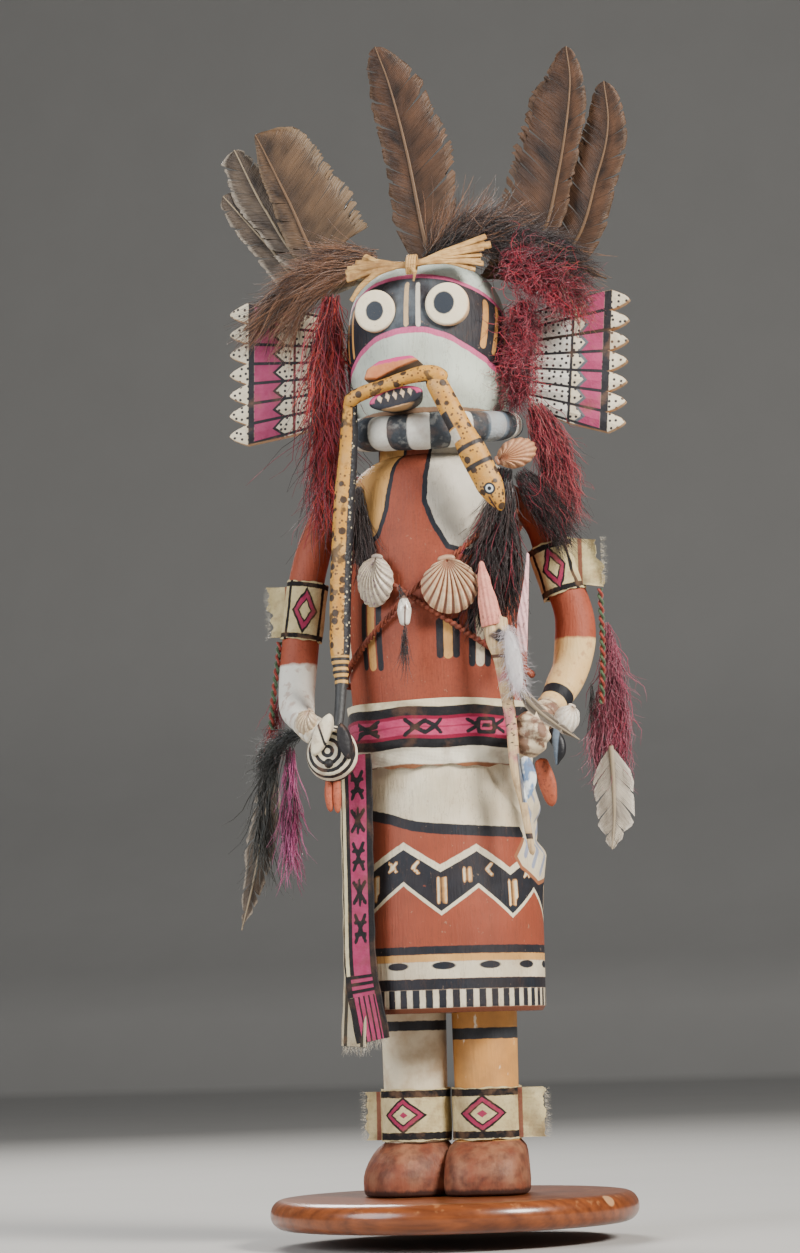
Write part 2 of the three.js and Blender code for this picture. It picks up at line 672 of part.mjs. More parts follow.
const leftTuft = clearOf(tuft(
  [[29, 296, 3], [28, 280, 3.6], [26.0, 262, 4.2], [24.6, 241, 5.0]],
  [3.4, 7.0, 11.4, 13.4], [2.0, 3.0, 3.4, 2.2],
), figure, ruff, snake, leftArmBody);
const rightTuft = clearOf(tuft(
  [[-25, 292, 2.4], [-23, 276, 2.8], [-20, 262, 3.0]],
  [2.4, 4.4, 4.6], [1.6, 2.4, 2.0],
), figure, ruff, snake);

const shoulderTuft = clearOf(limb(
  [[37, -7.4, 296], [43, -9, 289], [49, -9.4, 280], [54, -8.6, 270]],
  [3.2, 6.6, 7.4, 3.4], [2.0, 3.0, 3.0, 1.6], { steps: 8, sides: 8 },
), figure, ruff, leftArmBody, leftStrands);

// ---------------------------------------------------------------- shells

const leftChestShell = clearOf(scallop({
  middle: onFront(13.4, 248.6, 7.2), width: 22.6, height: 22.6, depth: 4.4, turn: 0.34, roll: 0.10,
}), figure);
const rightChestShell = clearOf(scallop({
  middle: onFront(-17.6, 252.4, 4.6), width: 17.0, height: 20.6, depth: 3.6, turn: -0.46, roll: -0.16,
}), figure, snake);
const shoulderShell = clearOf(scallop({
  middle: at(38.4, -20.6, 302.2), width: 11.6, height: 18.0, depth: 3.4, turn: 0.5, roll: 1.95,
}), figure, ruff, snake);

const leftTuftBody = clearOf(leftTuft, leftChestShell, shoulderShell);
addPiece('left_chest_tuft', leftTuftBody, 0x241a1e);
addPiece('right_chest_tuft', clearOf(rightTuft, rightChestShell), 0x241a1e);
addPiece('left_shoulder_tuft', clearOf(shoulderTuft, shoulderShell, leftTuft), 0x2c1d1f);
addPiece('left_chest_shell', leftChestShell, 0xc9a27a, 0.5);
addPiece('right_chest_shell', rightChestShell, 0xd2c6b0, 0.5);
addPiece('shoulder_shell', shoulderShell, 0xc79a74, 0.5);
addPiece('pendant_shell', limb(
  [[-4.4, -41.4, 245.2], [-4.4, -41.6, 239], [-4.4, -41.4, 233.0]],
  [1.5, 2.7, 1.9], [1.5, 2.4, 1.8], { steps: 6, sides: 10 },
), 0xe8e2d2, 0.4);
addPiece('right_wrist_shell', clearOf(scallop({
  middle: at(-45.2, -41.4, 197.4), width: 9.0, height: 10.4, depth: 2.6, turn: -0.3, roll: -0.5,
}), rightArmBody), 0xcbb696, 0.5);
addPiece('left_wrist_shell', clearOf(scallop({
  middle: at(55.9, -25.6, 194.9), width: 10.2, height: 12.0, depth: 3.4, turn: 0.5, roll: -0.4,
}), leftArmBody), 0xf0ead8, 0.3);

// ---------------------------------------------------------------- cords, belt and bands on the body

const chestPieces = [figure, leftChestShell, rightChestShell, snake, leftArmBody, rightArmBody, leftTuftBody];
const rightBandolier = clearOf(bandolier(-0.75, 243.2, 0), ...chestPieces);
addPiece('bandolier_right', rightBandolier, 0x9a4a2c);
addPiece('bandolier_left', clearOf(bandolier(0.93, 248.6, 3.2), ...chestPieces, rightBandolier), 0x9a4a2c);

const belt = addPiece('waist_sash', waistSash(), 0xb23a5c);
const sash = clearOf(hangingStrip({
  x: -27.2, y: -34.2, top: 184, bottom: 72.6,
  halfWide: 7.4, swing: 4.2, lead: 0.2, thickness: 1.5, turn: -0.42,
}), figure, belt);
addPiece('hanging_sash', sash, 0xb23a5c);
addPiece('hanging_sash_back', clearOf(hangingStrip({
  x: -32.2, y: -28.0, top: 176, bottom: 70.4,
  halfWide: 6.2, swing: -0.6, lead: -0.6, thickness: 1.5, turn: -0.52,
}), figure, belt, sash), 0xd9cdb2);

// ---------------------------------------------------------------- canvas bands

// A band round an arm or leg with a frayed flap at its outer side.
function flaggedBand(band, side, flapSize, limbSolid) {
  return clearOf(band.add(flap({ ...flapSize, side })), limbSolid);
}

const rightArmbandBody = flaggedBand(
  wrap([[-52.0, -4.1, 257.2], [-55.2, -5.0, 233.6]], 8.5, 8.2, ARM_FACING), -1,
  { x: -58.6, y: -7.6, z: 235.4, width: 9.0, height: 20.5, skew: -1.2 }, rightArmBody,
);
addPiece('right_armband', rightArmbandBody, 0xe6e0d0);
const leftArmbandBody = flaggedBand(
  wrap([[46.8, 1.2, 267.6], [52.6, 1.2, 247.4]], 9.0, 8.6, ARM_FACING), 1,
  { x: 58.4, y: -1.4, z: 251.0, width: 7.4, height: 18.5, skew: 4.2, lean: 0.28 }, leftArmBody,
);
addPiece('left_armband', leftArmbandBody, 0xe6e0d0);

// A band round an ankle.
function ankleBand(x) {
  const column = () => ({ x, width: 13.8, depth: 14.5 });
  return bandRing([[33, 0], [53.2, 0]], column, LEG_SIDES, -1.1);
}

addPiece('right_ankle_band', clearOf(ankleBand(-LEG_OFFSET).add(flap({
  side: -1, x: -27.4, y: -4, z: 33.4, width: 8.4, height: 19, skew: 0.6,
})), figure), 0xe6e0d0);
addPiece('left_ankle_band', clearOf(ankleBand(LEG_OFFSET).add(flap({
  side: 1, x: 27.2, y: -4, z: 33.4, width: 10.6, height: 19.4, skew: 0.4,
})), figure), 0xe6e0d0);

// ---------------------------------------------------------------- hanging cords and tassels

// A round cord along a path.
function cord(path, radius) {
  const curve = new THREE.CatmullRomCurve3(path.map((point) => at(...point)));
  const section = new THREE.Shape().absarc(0, 0, radius, 0, 2 * Math.PI);
  const geometry = new THREE.ExtrudeGeometry(section, {
    extrudePath: curve, steps: Math.round(curve.getLength() / (5 * radius)), curveSegments: 4,
  });
  geometry.deleteAttribute('normal');
  geometry.deleteAttribute('uv');
  return solidOf(mergeVertices(geometry, 1e-4));
}

const CORD_RADIUS = 1.3;
const RIGHT_CORD_PATH = [
  [-63.6, -7.6, 233.6], [-64.4, -7.8, 226], [-65.8, -8.2, 216], [-67.0, -8.4, 207], [-67.8, -8.4, 198],
];
const LEFT_CORD_PATH = [
  [66.8, 0.6, 249.0], [66.9, 1.4, 240], [66.8, 2.2, 228], [66.3, 2.8, 215], [65.4, 3.2, 203],
];
const rightCord = clearOf(cord(RIGHT_CORD_PATH, CORD_RADIUS), rightArmbandBody);
addPiece('right_armband_cord', rightCord, 0x8f3a30);
const leftCord = clearOf(cord(LEFT_CORD_PATH, CORD_RADIUS), leftArmbandBody);
addPiece('left_armband_cord', leftCord, 0x8f3a30);

const rightWool = addPiece('right_tassel_wool', clearOf(limb(
  [[-65.2, -3.6, 212], [-66.6, -4.0, 203], [-68.0, -4.6, 193], [-68.4, -5.0, 186]],
  [1.8, 3.8, 4.6, 3.0], [1.6, 2.6, 2.8, 2.0], { steps: 5, sides: 8 },
), rightCord, rightArmBody), 0x7b2234);
const rightYarn = addPiece('right_wrist_yarn', clearOf(limb(
  [[-52, -24.4, 194.4], [-58, -23.4, 192.6], [-65, -20.6, 187.6], [-69.6, -18.6, 179]],
  [1.6, 3.0, 5.0, 2.6], [1.6, 2.2, 3.0, 1.8], { steps: 7, sides: 8 },
), rightArmBody), 0x474a42);
addPiece('right_tassel_feathers', clearOf(blade(
  [[-67.6, -9.6, 184], [-69, -9.8, 170], [-72.3, -9.8, 155], [-76, -9.6, 138], [-81.6, -9.4, 118]],
  [2.2, 5.6, 6.4, 4.2, 0.6], [2.0, 6.4, 6.8, 4.0, 0.6], 1.6, { steps: 12, rag: 0.8 },
), rightYarn, rightWool), 0x7a705a);
addPiece('right_tassel_ribbons', clearOf(limb(
  [[-57.6, -18.4, 189], [-58.2, -17.8, 176], [-58.6, -17.4, 161], [-58.8, -17.2, 147]],
  [1.8, 3.4, 4.0, 2.0], [1.0, 1.8, 1.8, 1.2], { steps: 6, sides: 6 },
), rightYarn), 0xb04a86);

const leftWoolTassel = addPiece('left_tassel_wool', clearOf(limb(
  [[68.2, 8, 236], [69.0, 8.6, 220], [68.8, 9, 204], [67.4, 9, 190], [66.6, 9, 172]],
  [1.8, 3.4, 8.6, 9.4, 7.6], [1.6, 3.0, 4.6, 4.6, 3.4], { steps: 9, sides: 8 },
), leftCord, leftArmBody), 0xa86078);
addPiece('left_tassel_feather', clearOf(blade(
  [[68.6, 2.6, 186], [69.0, 3.0, 172], [68.8, 3.4, 158], [67.4, 3.6, 145]],
  [3.0, 8.2, 8.0, 2.6], [3.0, 8.6, 7.6, 2.8], 1.8, { steps: 10, rag: 0.8 },
), leftWoolTassel), 0xbdb3a0);

// ---------------------------------------------------------------- the bundle in the doll's right hand

function handBowl() {
  const bowl = limb(
    [[-34.4, -36, 185], [-34.4, -44, 184], [-34.4, -51, 184.6]],
    [6.4, 10.2, 8.2], [6.6, 11.0, 8.8], { steps: 5, sides: 14, facing: UP },
  );
  const leaf = (x, z, wide, high, roll) => {
    const facing = at(0.1, -1, 0.12).normalize();
    const up = UP.clone().applyAxisAngle(FRONT, roll);
    const side = facing.clone().cross(up).normalize();
    return loft([-49.5, -53.6].map((y) => oval(at(x, y, z), side, up, wide, high, 14)));
  };
  return join(bowl, leaf(-36.0, 190.6, 4.4, 9.8, -0.30), leaf(-26.6, 188.2, 4.0, 8.2, 0.12));
}

const bowlNeighbours = [snake, rightArmBody, belt, sash, figure];
const bowl = addPiece('right_hand_bowl', clearOf(handBowl(), ...bowlNeighbours), 0x4a4440);
addPiece('right_hand_tab', clearOf(limb(
  [[-34.4, -43, 175.4], [-34.6, -43.4, 168], [-34.2, -43.6, 160.8]],
  [2.4, 3.1, 2.3], [1.6, 1.8, 1.2], { steps: 5, sides: 8, power: 3 },
), bowl, sash), 0xb8603c);

// ---------------------------------------------------------------- the bundle in the doll's left hand

// A split stick with a husk sheath at its top and a painted blade low on its side.
function wandStick() {
  const sheath = limb(
    [[30.8, -38, 235], [31.6, -38, 226], [31.8, -38, 218.4]],
    [5.0, 4.8, 2.2], [2.4, 2.6, 1.8], { steps: 5, sides: 10 },
  );
  const stick = limb(
    [[31.6, -38, 219.6], [34.2, -38.6, 207], [36.2, -39.2, 191], [37.0, -39.2, 176], [39.6, -38.8, 162],
      [42.6, -38, 141.6]],
    [2.5, 2.5, 2.2, 2.0, 1.5, 1.3], [1.4, 1.4, 1.4, 1.4, 1.2, 1.0], { steps: 10, sides: 6 },
  );
  const lowBlade = limb(
    [[40.4, -37.6, 180], [41.6, -37.4, 171], [40.6, -37.8, 163]],
    [2.4, 3.4, 1.6], [1.0, 1.2, 0.9], { steps: 5, sides: 6 },
  );
  return join(sheath, stick, lowBlade);
}

const stick = addPiece('wand_stick', clearOf(wandStick(), leftArmBody, belt, figure), 0xe2cfa4);
addPiece('wand_blade', clearOf(limb(
  [[26.2, -38.6, 257.2], [27.0, -38.6, 250], [28.4, -38.4, 240], [29.9, -38.2, 231.4]],
  [0.8, 2.6, 3.9, 4.4], [0.7, 1.6, 2.2, 2.4], { steps: 7, sides: 6, power: 1.6 },
), stick), 0xe0a090);
const fluff = addPiece('wand_fluff', clearOf(limb(
  [[36.4, -41.6, 229], [38.4, -42.2, 218], [40.0, -42.6, 204.6]],
  [2.6, 4.6, 3.4], [1.8, 2.8, 2.2], { steps: 6, sides: 9 },
), stick, leftArmBody), 0xe9e9ea);
addPiece('wand_back_blade', clearOf(plate(
  [[43.8, 260], [44.4, 260], [43.4, 240], [42.4, 221], [38.4, 221], [39.2, 235], [40.6, 240.4], [42, 242]],
  1.4, { position: [0, -34.6, 0] },
), stick, fluff, leftArmBody), 0xe6b4ac);
addPiece('wand_feather', clearOf(blade(
  [[39.6, -41.0, 206.5], [46, -42.6, 198.4], [54, -41.6, 191.4], [62.4, -38.4, 185.4]],
  [2.2, 3.6, 2.4, 0.7], [2.2, 3.6, 2.4, 0.7], 1.4, { steps: 7 },
), fluff, stick, leftArmBody), 0x9a8c84);
addPiece('left_hip_tab', clearOf(limb(
  [[44.6, -25.4, 180], [47.2, -25.6, 170], [48.8, -25.4, 161]],
  [2.6, 3.4, 2.2], [1.8, 2.0, 1.4], { steps: 5, sides: 8, power: 3 },
), leftArmBody, stick), 0xa8503a);

export default new THREE.Group().add(...pieces);
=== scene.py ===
# %% [markdown]
# # A kachina doll
# The doll is a carved and painted root figure with a snake in its mouth, dressed with feathers, hair,
# shells and cloth. This first step loads the imported model.

# %% Load the frame
import math
import bpy
import bmesh
import numpy as np
from mathutils import Matrix, Vector


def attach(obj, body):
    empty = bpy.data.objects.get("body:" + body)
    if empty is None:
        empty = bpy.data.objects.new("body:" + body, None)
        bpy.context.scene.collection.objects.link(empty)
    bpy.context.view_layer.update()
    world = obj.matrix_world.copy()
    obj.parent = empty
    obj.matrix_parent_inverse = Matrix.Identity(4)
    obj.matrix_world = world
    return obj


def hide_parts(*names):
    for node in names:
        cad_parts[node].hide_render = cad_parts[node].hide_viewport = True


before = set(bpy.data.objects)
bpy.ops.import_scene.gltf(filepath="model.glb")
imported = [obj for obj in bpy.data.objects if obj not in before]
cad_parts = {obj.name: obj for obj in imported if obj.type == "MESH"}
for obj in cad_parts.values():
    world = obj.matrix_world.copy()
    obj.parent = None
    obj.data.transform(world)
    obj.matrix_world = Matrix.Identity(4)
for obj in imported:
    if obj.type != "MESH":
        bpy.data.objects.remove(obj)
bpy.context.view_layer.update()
MM = 0.001

# %% [markdown]
# ## Shader maths
# Paint on wood is a pattern that depends on the place. Shader nodes can work it out, but long chains of
# nodes are hard to read. A `Value` wraps one socket of a node, so that patterns can be written as plain
# sums and products. Distances in the shader are in millimetres, the same unit as the carving.

# %% The shader class


class Value:
    def __init__(self, sheet, socket):
        self.sheet = sheet
        self.socket = socket

    def maths(self, operation, *others):
        return self.sheet.node("ShaderNodeMath", self, *others, operation=operation)

    def __add__(self, other):
        return self.maths("ADD", other)

    def __sub__(self, other):
        return self.maths("SUBTRACT", other)

    def __mul__(self, other):
        return self.maths("MULTIPLY", other)

    def __truediv__(self, other):
        return self.maths("DIVIDE", other)

    def __radd__(self, other):
        return self + other

    def __rmul__(self, other):
        return self * other

    def __rsub__(self, other):
        return self * -1 + other

    def __neg__(self):
        return self * -1

    def size(self):
        return self.maths("ABSOLUTE")

    def part(self):
        return self.maths("FRACT")

    def least(self, other):
        return self.maths("MINIMUM", other)

    def most(self, other):
        return self.maths("MAXIMUM", other)

    def clamp(self):
        return self.sheet.node("ShaderNodeClamp", self)

    def cover(self, soft=0.3):
        return (self / soft + 0.5).clamp()

    def between(self, low, high, soft=0.3):
        return (self - low).least(high - self).cover(soft)


class Sheet:
    """The node tree of one material."""

    def __init__(self, name):
        self.material = bpy.data.materials.new(name)
        self.material.use_nodes = True
        self.tree = self.material.node_tree
        self.surface = self.tree.nodes["Principled BSDF"]
        place = self.node("ShaderNodeTexCoord", output="Object")
        self.place = self.node("ShaderNodeVectorMath", place, operation="SCALE", Scale=1000.0)
        self.x = self.node("ShaderNodeSeparateXYZ", self.place, output="X")
        self.y = self.node("ShaderNodeSeparateXYZ", self.place, output="Y")
        self.z = self.node("ShaderNodeSeparateXYZ", self.place, output="Z")

    def plug(self, socket, value):
        if isinstance(value, Value):
            self.tree.links.new(value.socket, socket)
        else:
            socket.default_value = value

    def node(self, kind, *inputs, output=0, **settings):
        made = self.tree.nodes.new(kind)
        for name, value in settings.items():
            if hasattr(made, name):
                setattr(made, name, value)
        for name, value in settings.items():
            if not hasattr(made, name):
                self.plug(made.inputs[name.replace("_", " ")], value)
        for socket, value in zip(made.inputs, inputs):
            self.plug(socket, value)
        return Value(self, made.outputs[output])

    def stretched(self, x, y, z):
        return self.node("ShaderNodeVectorMath", self.place, (x, y, z), operation="MULTIPLY")

    def noise(self, size, detail=3.0, rough=0.55, place=None):
        where = place or self.place
        return self.node("ShaderNodeTexNoise", Vector=where, Scale=1.0 / size, Detail=detail, Roughness=rough)

    def spots(self, size, place=None, randomness=0.8, dimensions="3D"):
        where = place or self.place
        return self.node("ShaderNodeTexVoronoi", voronoi_dimensions=dimensions, Vector=where,
                         Scale=1.0 / size, Randomness=randomness)

    def field(self, name):
        return self.node("ShaderNodeAttribute", attribute_name=name, output="Fac")

    def vector(self, x, y, z=0.0):
        return self.node("ShaderNodeCombineXYZ", x, y, z)

    def away_from(self, place, point):
        return self.node("ShaderNodeVectorMath", place, point, operation="DISTANCE", output="Value")

    def sine(self, value):
        return self.node("ShaderNodeMath", value, operation="SINE")

    def mix(self, amount, first, second):
        made = self.tree.nodes.new("ShaderNodeMix")
        made.data_type = "RGBA"
        self.plug(made.inputs[0], amount)
        self.plug(made.inputs[6], first)
        self.plug(made.inputs[7], second)
        return Value(self, made.outputs[2])

    def lay(self, amount, paint):
        """Brush a paint over the colour so far."""
        self.color = self.mix(amount, self.color, paint)

    def mottled(self, size, detail, first, second):
        """Two colours that run into each other in cloudy patches."""
        return self.mix(self.noise(size, detail), hue(*first), hue(*second))

    def blots(self, size, detail, above, soft):
        """Separate spots where the noise rises above a level."""
        return (self.noise(size, detail) - above).cover(soft)

    def wobble(self, size, detail, reach):
        """A shaky offset in millimetres, for edges drawn by hand."""
        return (self.noise(size, detail) - 0.5) * reach

    def finish(self, color, rough=0.7, bump=None, bump_mm=0.3, coat=None, **extra):
        self.plug(self.surface.inputs["Base Color"], color)
        self.plug(self.surface.inputs["Roughness"], rough)
        self.surface.inputs["Specular IOR Level"].default_value = extra.get("specular", 0.35)
        self.surface.inputs["Sheen Weight"].default_value = extra.get("sheen", 0.0)
        if coat is not None:
            self.plug(self.surface.inputs["Coat Weight"], coat)
            self.surface.inputs["Coat Roughness"].default_value = extra.get("coat_rough", 0.15)
        if bump is not None:
            made = self.tree.nodes.new("ShaderNodeBump")
            made.inputs["Distance"].default_value = bump_mm * MM
            self.plug(made.inputs["Height"], bump)
            self.tree.links.new(made.outputs[0], self.surface.inputs["Normal"])
        return self.material


def hue(red, green, blue):
    """A colour as a painter names it, from 0 to 255."""
    linear = [((c / 255 + 0.055) / 1.055) ** 2.4 if c > 10 else c / 255 / 12.92 for c in (red, green, blue)]
    return (*linear, 1.0)


CREAM = hue(226, 214, 184)
OCHRE = hue(206, 150, 84)
print("shader class ready")

# %% [markdown]
# ## Mesh helpers
# Everything carved is a loft: rings of points along a path, joined into a skin. Sculpting or modifiers
# would work too, but rings let every width and depth be written down and changed later. Lengths are in
# millimetres until `build` turns the points into metres.

# %% Lofts, limbs and plates


def vec(*values):
    return np.array(values, dtype=float)


UP = vec(0, 0, 1)
FRONT = vec(0, -1, 0)
LEFT = vec(1, 0, 0)


def unit(v):
    return v / np.linalg.norm(v)


def turned(v, axis, angle):
    axis = unit(axis)
    cosine = math.cos(angle)
    across = np.cross(axis, v) * math.sin(angle)
    return v * cosine + across + axis * np.dot(axis, v) * (1 - cosine)


def spline(points, count):
    """Points spaced evenly along a smooth line through the given points."""
    knots = np.array(points, dtype=float)
    ends = np.vstack([2 * knots[0] - knots[1], knots, 2 * knots[-1] - knots[-2]])
    fine = []
    for i in range(1, len(ends) - 2):
        a, b, c, d = ends[i - 1:i + 3]
        for u in np.linspace(0, 1, 24, endpoint=False):
            fine.append(0.5 * (2 * b + (c - a) * u + (2 * a - 5 * b + 4 * c - d) * u**2
                               + (3 * b - a - 3 * c + d) * u**3))
    fine = np.array(fine + [knots[-1]])
    steps = np.concatenate([[0], np.cumsum(np.linalg.norm(np.diff(fine, axis=0), axis=1))])
    where = np.linspace(0, steps[-1], count)
    return np.stack([np.interp(where, steps, fine[:, k]) for k in range(fine.shape[1])], axis=1)


def length_of(points):
    return float(np.linalg.norm(np.diff(points, axis=0), axis=1).sum())


def frames(points, facing):
    """The sideways and outward directions at each point of a line that faces one way."""
    forward = np.gradient(points, axis=0)
    forward /= np.linalg.norm(forward, axis=1)[:, None]
    side = np.cross(forward, facing)
    side /= np.linalg.norm(side, axis=1)[:, None]
    return forward, side, np.cross(side, forward)


def along(values, u):
    place = np.clip(u, 0, 1) * (len(values) - 1)
    low = np.minimum(place.astype(int), len(values) - 2)
    ease = place - low
    ease = ease * ease * (3 - 2 * ease)
    values = np.array(values, dtype=float)
    return values[low] + (values[low + 1] - values[low]) * ease


def oval(centre, side, over, wide, deep, sides, power=2.0):
    angle = 2 * np.pi * (np.arange(sides) + 0.5) / sides
    across = np.sign(np.cos(angle)) * np.abs(np.cos(angle)) ** (2 / power)
    out = np.sign(np.sin(angle)) * np.abs(np.sin(angle)) ** (2 / power)
    return centre + np.outer(across * wide, side) + np.outer(out * deep, over)


def loft(rings, looped=False):
    """Points and faces of a closed body through rings. A looped body meets itself and has no caps."""
    rings = np.array(rings)
    count, sides = rings.shape[:2]
    points = rings.reshape(-1, 3)
    rows = np.arange(count if looped else count - 1)[:, None]
    s = np.arange(sides)[None, :]
    t = (s + 1) % sides
    here, there = rows * sides, ((rows + 1) % count) * sides
    quads = np.stack([here + s, here + t, there + t, there + s], axis=-1).reshape(-1, 4).tolist()
    if not looped:
        last = (count - 1) * sides
        quads += [[sides - 1 - i for i in range(sides)], [last + i for i in range(sides)]]
    return points, quads


def limb(path, widths, depths, steps=40, sides=24, facing=FRONT, power=2.0, shape=None):
    points = spline(path, steps)
    u = np.linspace(0, 1, steps)
    side, over = frames(points, facing)[1:]
    wide, deep = along(widths, u), along(depths, u)
    rings = [oval(points[i], side[i], over[i], wide[i], deep[i], sides, power) for i in range(steps)]
    if shape is not None:
        rings = [shape(rings[i], points[i], u[i]) for i in range(steps)]
    return loft(rings)


def together(*bodies):
    points, faces, offset = [], [], 0
    for body_points, body_faces in bodies:
        points.append(body_points)
        faces += [[i + offset for i in face] for face in body_faces]
        offset += len(body_points)
    return np.vstack(points), faces


def smooth_mesh(name, points, faces):
    mesh = bpy.data.meshes.new(name)
    mesh.from_pydata(points, [], faces)
    mesh.polygons.foreach_set("use_smooth", [True] * len(faces))
    return mesh


def as_piece(name, mesh, slot, stands_for=()):
    """Link a mesh as a piece, fix it to the root body and hide the frame parts that it stands for."""
    piece = bpy.data.objects.new(name, mesh)
    mesh.name = name
    bpy.context.scene.collection.objects.link(piece)
    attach(piece, "root")
    if stands_for:
        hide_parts(*stands_for)
    print(name, len(mesh.polygons), "faces")
    return piece


def build(name, body, material, slot, stands_for=(), smooth=40, rounded=0.0, fields=None):
    """Make a piece from points in millimetres, with its sharp edges and paint fields."""
    points, faces = body
    mesh = bpy.data.meshes.new(name)
    mesh.from_pydata((np.asarray(points) * MM).tolist(), [], faces)
    tidy = bmesh.new()
    tidy.from_mesh(mesh)
    bmesh.ops.recalc_face_normals(tidy, faces=tidy.faces)
    if rounded:
        sharp = [e for e in tidy.edges if e.is_manifold and e.calc_face_angle() > 0.6]
        bmesh.ops.bevel(tidy, geom=sharp, offset=rounded * MM, segments=2, affect="EDGES", profile=0.5)
    tidy.to_mesh(mesh)
    tidy.free()
    mesh.polygons.foreach_set("use_smooth", [True] * len(mesh.polygons))
    mesh.set_sharp_from_angle(angle=math.radians(smooth))
    for field, values in (fields or {}).items():
        mesh.attributes.new(field, "FLOAT", "POINT").data.foreach_set("value", np.asarray(values, float))
    mesh.materials.append(material)
    return as_piece(name, mesh, slot, stands_for)


# %% [markdown]
# ## Painted shapes
# A painted shape is a distance field: how far inside the paint a point is, in millimetres. It is worked
# out at every vertex, and the shader turns it into a brush edge. An image texture could do this as
# well, but a field needs no file and no unwrapping.

# %% Distance fields


def far_from(points, p, q):
    a, b = vec(*p), vec(*q)
    reach = np.clip(((points - a) @ (b - a)) / max((b - a) @ (b - a), 1e-9), 0, 1)
    return np.linalg.norm(points - a - reach[:, None] * (b - a), axis=1)


def stroke(points, line, width):
    near = np.min([far_from(points, p, q) for p, q in zip(line, line[1:])], axis=0)
    return width / 2 - near


def patch(points, outline):
    closed = list(outline) + [outline[0]]
    near = -stroke(points, closed, 0)
    x, y = points[:, 0], points[:, 1]
    inside = np.zeros(len(points), bool)
    for (x0, y0), (x1, y1) in zip(closed, closed[1:]):
        crosses = (y0 > y) != (y1 > y)
        slope = (x1 - x0) / (y1 - y0) if y1 != y0 else 0.0
        inside ^= crosses & (x < x0 + (y - y0) * slope)
    return np.where(inside, near, -near)


def bar(points, x, low, high, width):
    return stroke(points, [(x, low), (x, high)], width)


def most(*fields):
    return np.max(fields, axis=0)


# %% [markdown]
# ## Camera, light and floor
# The camera stands a little to the doll's left and looks slightly up. The key lamp is a warm disc high
# at the doll's left front and gives the shape. A larger, cooler lamp at the right front opens the
# shadows, and a third lamp behind the right shoulder lights the edges. The pale floor curves up behind
# the doll, so that floor and backdrop are one surface.

# %% Camera and lights


def lamp(name, place, target, size, power, color):
    light = bpy.data.lights.new(name, "AREA")
    light.shape = "DISK"
    light.size = size
    light.energy = power
    light.color = color
    holder = bpy.data.objects.new(name, light)
    holder.location = place
    direction = Vector(target) - Vector(place)
    holder.rotation_euler = direction.to_track_quat("-Z", "Y").to_euler()
    bpy.context.scene.collection.objects.link(holder)


def place_camera():
    yaw = math.radians(12)
    tilt = math.radians(7.18)
    roll = math.radians(1.7)
    look = Vector((-math.sin(yaw) * math.cos(tilt), math.cos(yaw) * math.cos(tilt), math.sin(tilt)))
    right = Vector((math.cos(yaw), math.sin(yaw), 0))
    top = right.cross(look)
    right, top = (right * math.cos(roll) - top * math.sin(roll),
                  top * math.cos(roll) + right * math.sin(roll))
    turn = Matrix((right, top, -look)).transposed().to_4x4()
    eye = bpy.data.cameras.new("camera")
    eye.lens = 93.4
    eye.sensor_fit = "VERTICAL"
    eye.sensor_height = 36.0
    eye.sensor_width = 36.0
    eye.clip_end = 20
    holder = bpy.data.objects.new("camera", eye)
    holder.matrix_world = Matrix.Translation((0.2558, -1.2747, 0.074)) @ turn
    bpy.context.scene.collection.objects.link(holder)
    bpy.context.scene.camera = holder


def pale_floor():
    cards = Sheet("floor")
    card = cards.finish(cards.mix(cards.noise(90), hue(172, 170, 166), hue(178, 176, 172)), rough=0.8)
    rows = [(-4, 0), (2.2, 0), (2.9, 0.1), (3.4, 0.4), (3.7, 1.0), (3.8, 4.2)]
    fine = spline([(y, z, 0) for y, z in rows], 60)[:, :2]
    points = [(x, y, z) for y, z in fine for x in (-5, 5)]
    faces = [(2 * i, 2 * i + 1, 2 * i + 3, 2 * i + 2) for i in range(len(fine) - 1)]
    mesh = smooth_mesh("floor", points, faces)
    mesh.materials.append(card)
    floor = bpy.data.objects.new("floor", mesh)
    bpy.context.scene.collection.objects.link(floor)


place_camera()
pale_floor()
lamp("key", (1.15, -0.75, 1.0), (0, 0, 0.24), 0.5, 52, (1.0, 0.96, 0.9))
lamp("fill", (-0.95, -1.05, 0.7), (0, 0, 0.22), 0.9, 22, (0.94, 0.96, 1.0))
lamp("rim", (-0.5, 0.9, 0.95), (0, 0, 0.3), 0.6, 18, (1.0, 0.98, 0.95))
world = bpy.data.worlds.new("studio")
world.use_nodes = True
world.node_tree.nodes["Background"].inputs[0].default_value = (0.78, 0.82, 0.88, 1)
world.node_tree.nodes["Background"].inputs[1].default_value = 0.16
bpy.context.scene.world = world
print("camera, lamps and floor ready")

# %% [markdown]
# ## Planting strands
# Hair, wool, barbs and frayed threads are all one idea: a small strand is set on each of many points,
# turned to its heading and stretched to its length. One geometry node tree does it for every piece.
# Real meshes were chosen over hair curves, because a library part has to export as triangles.

# %% The planting tree


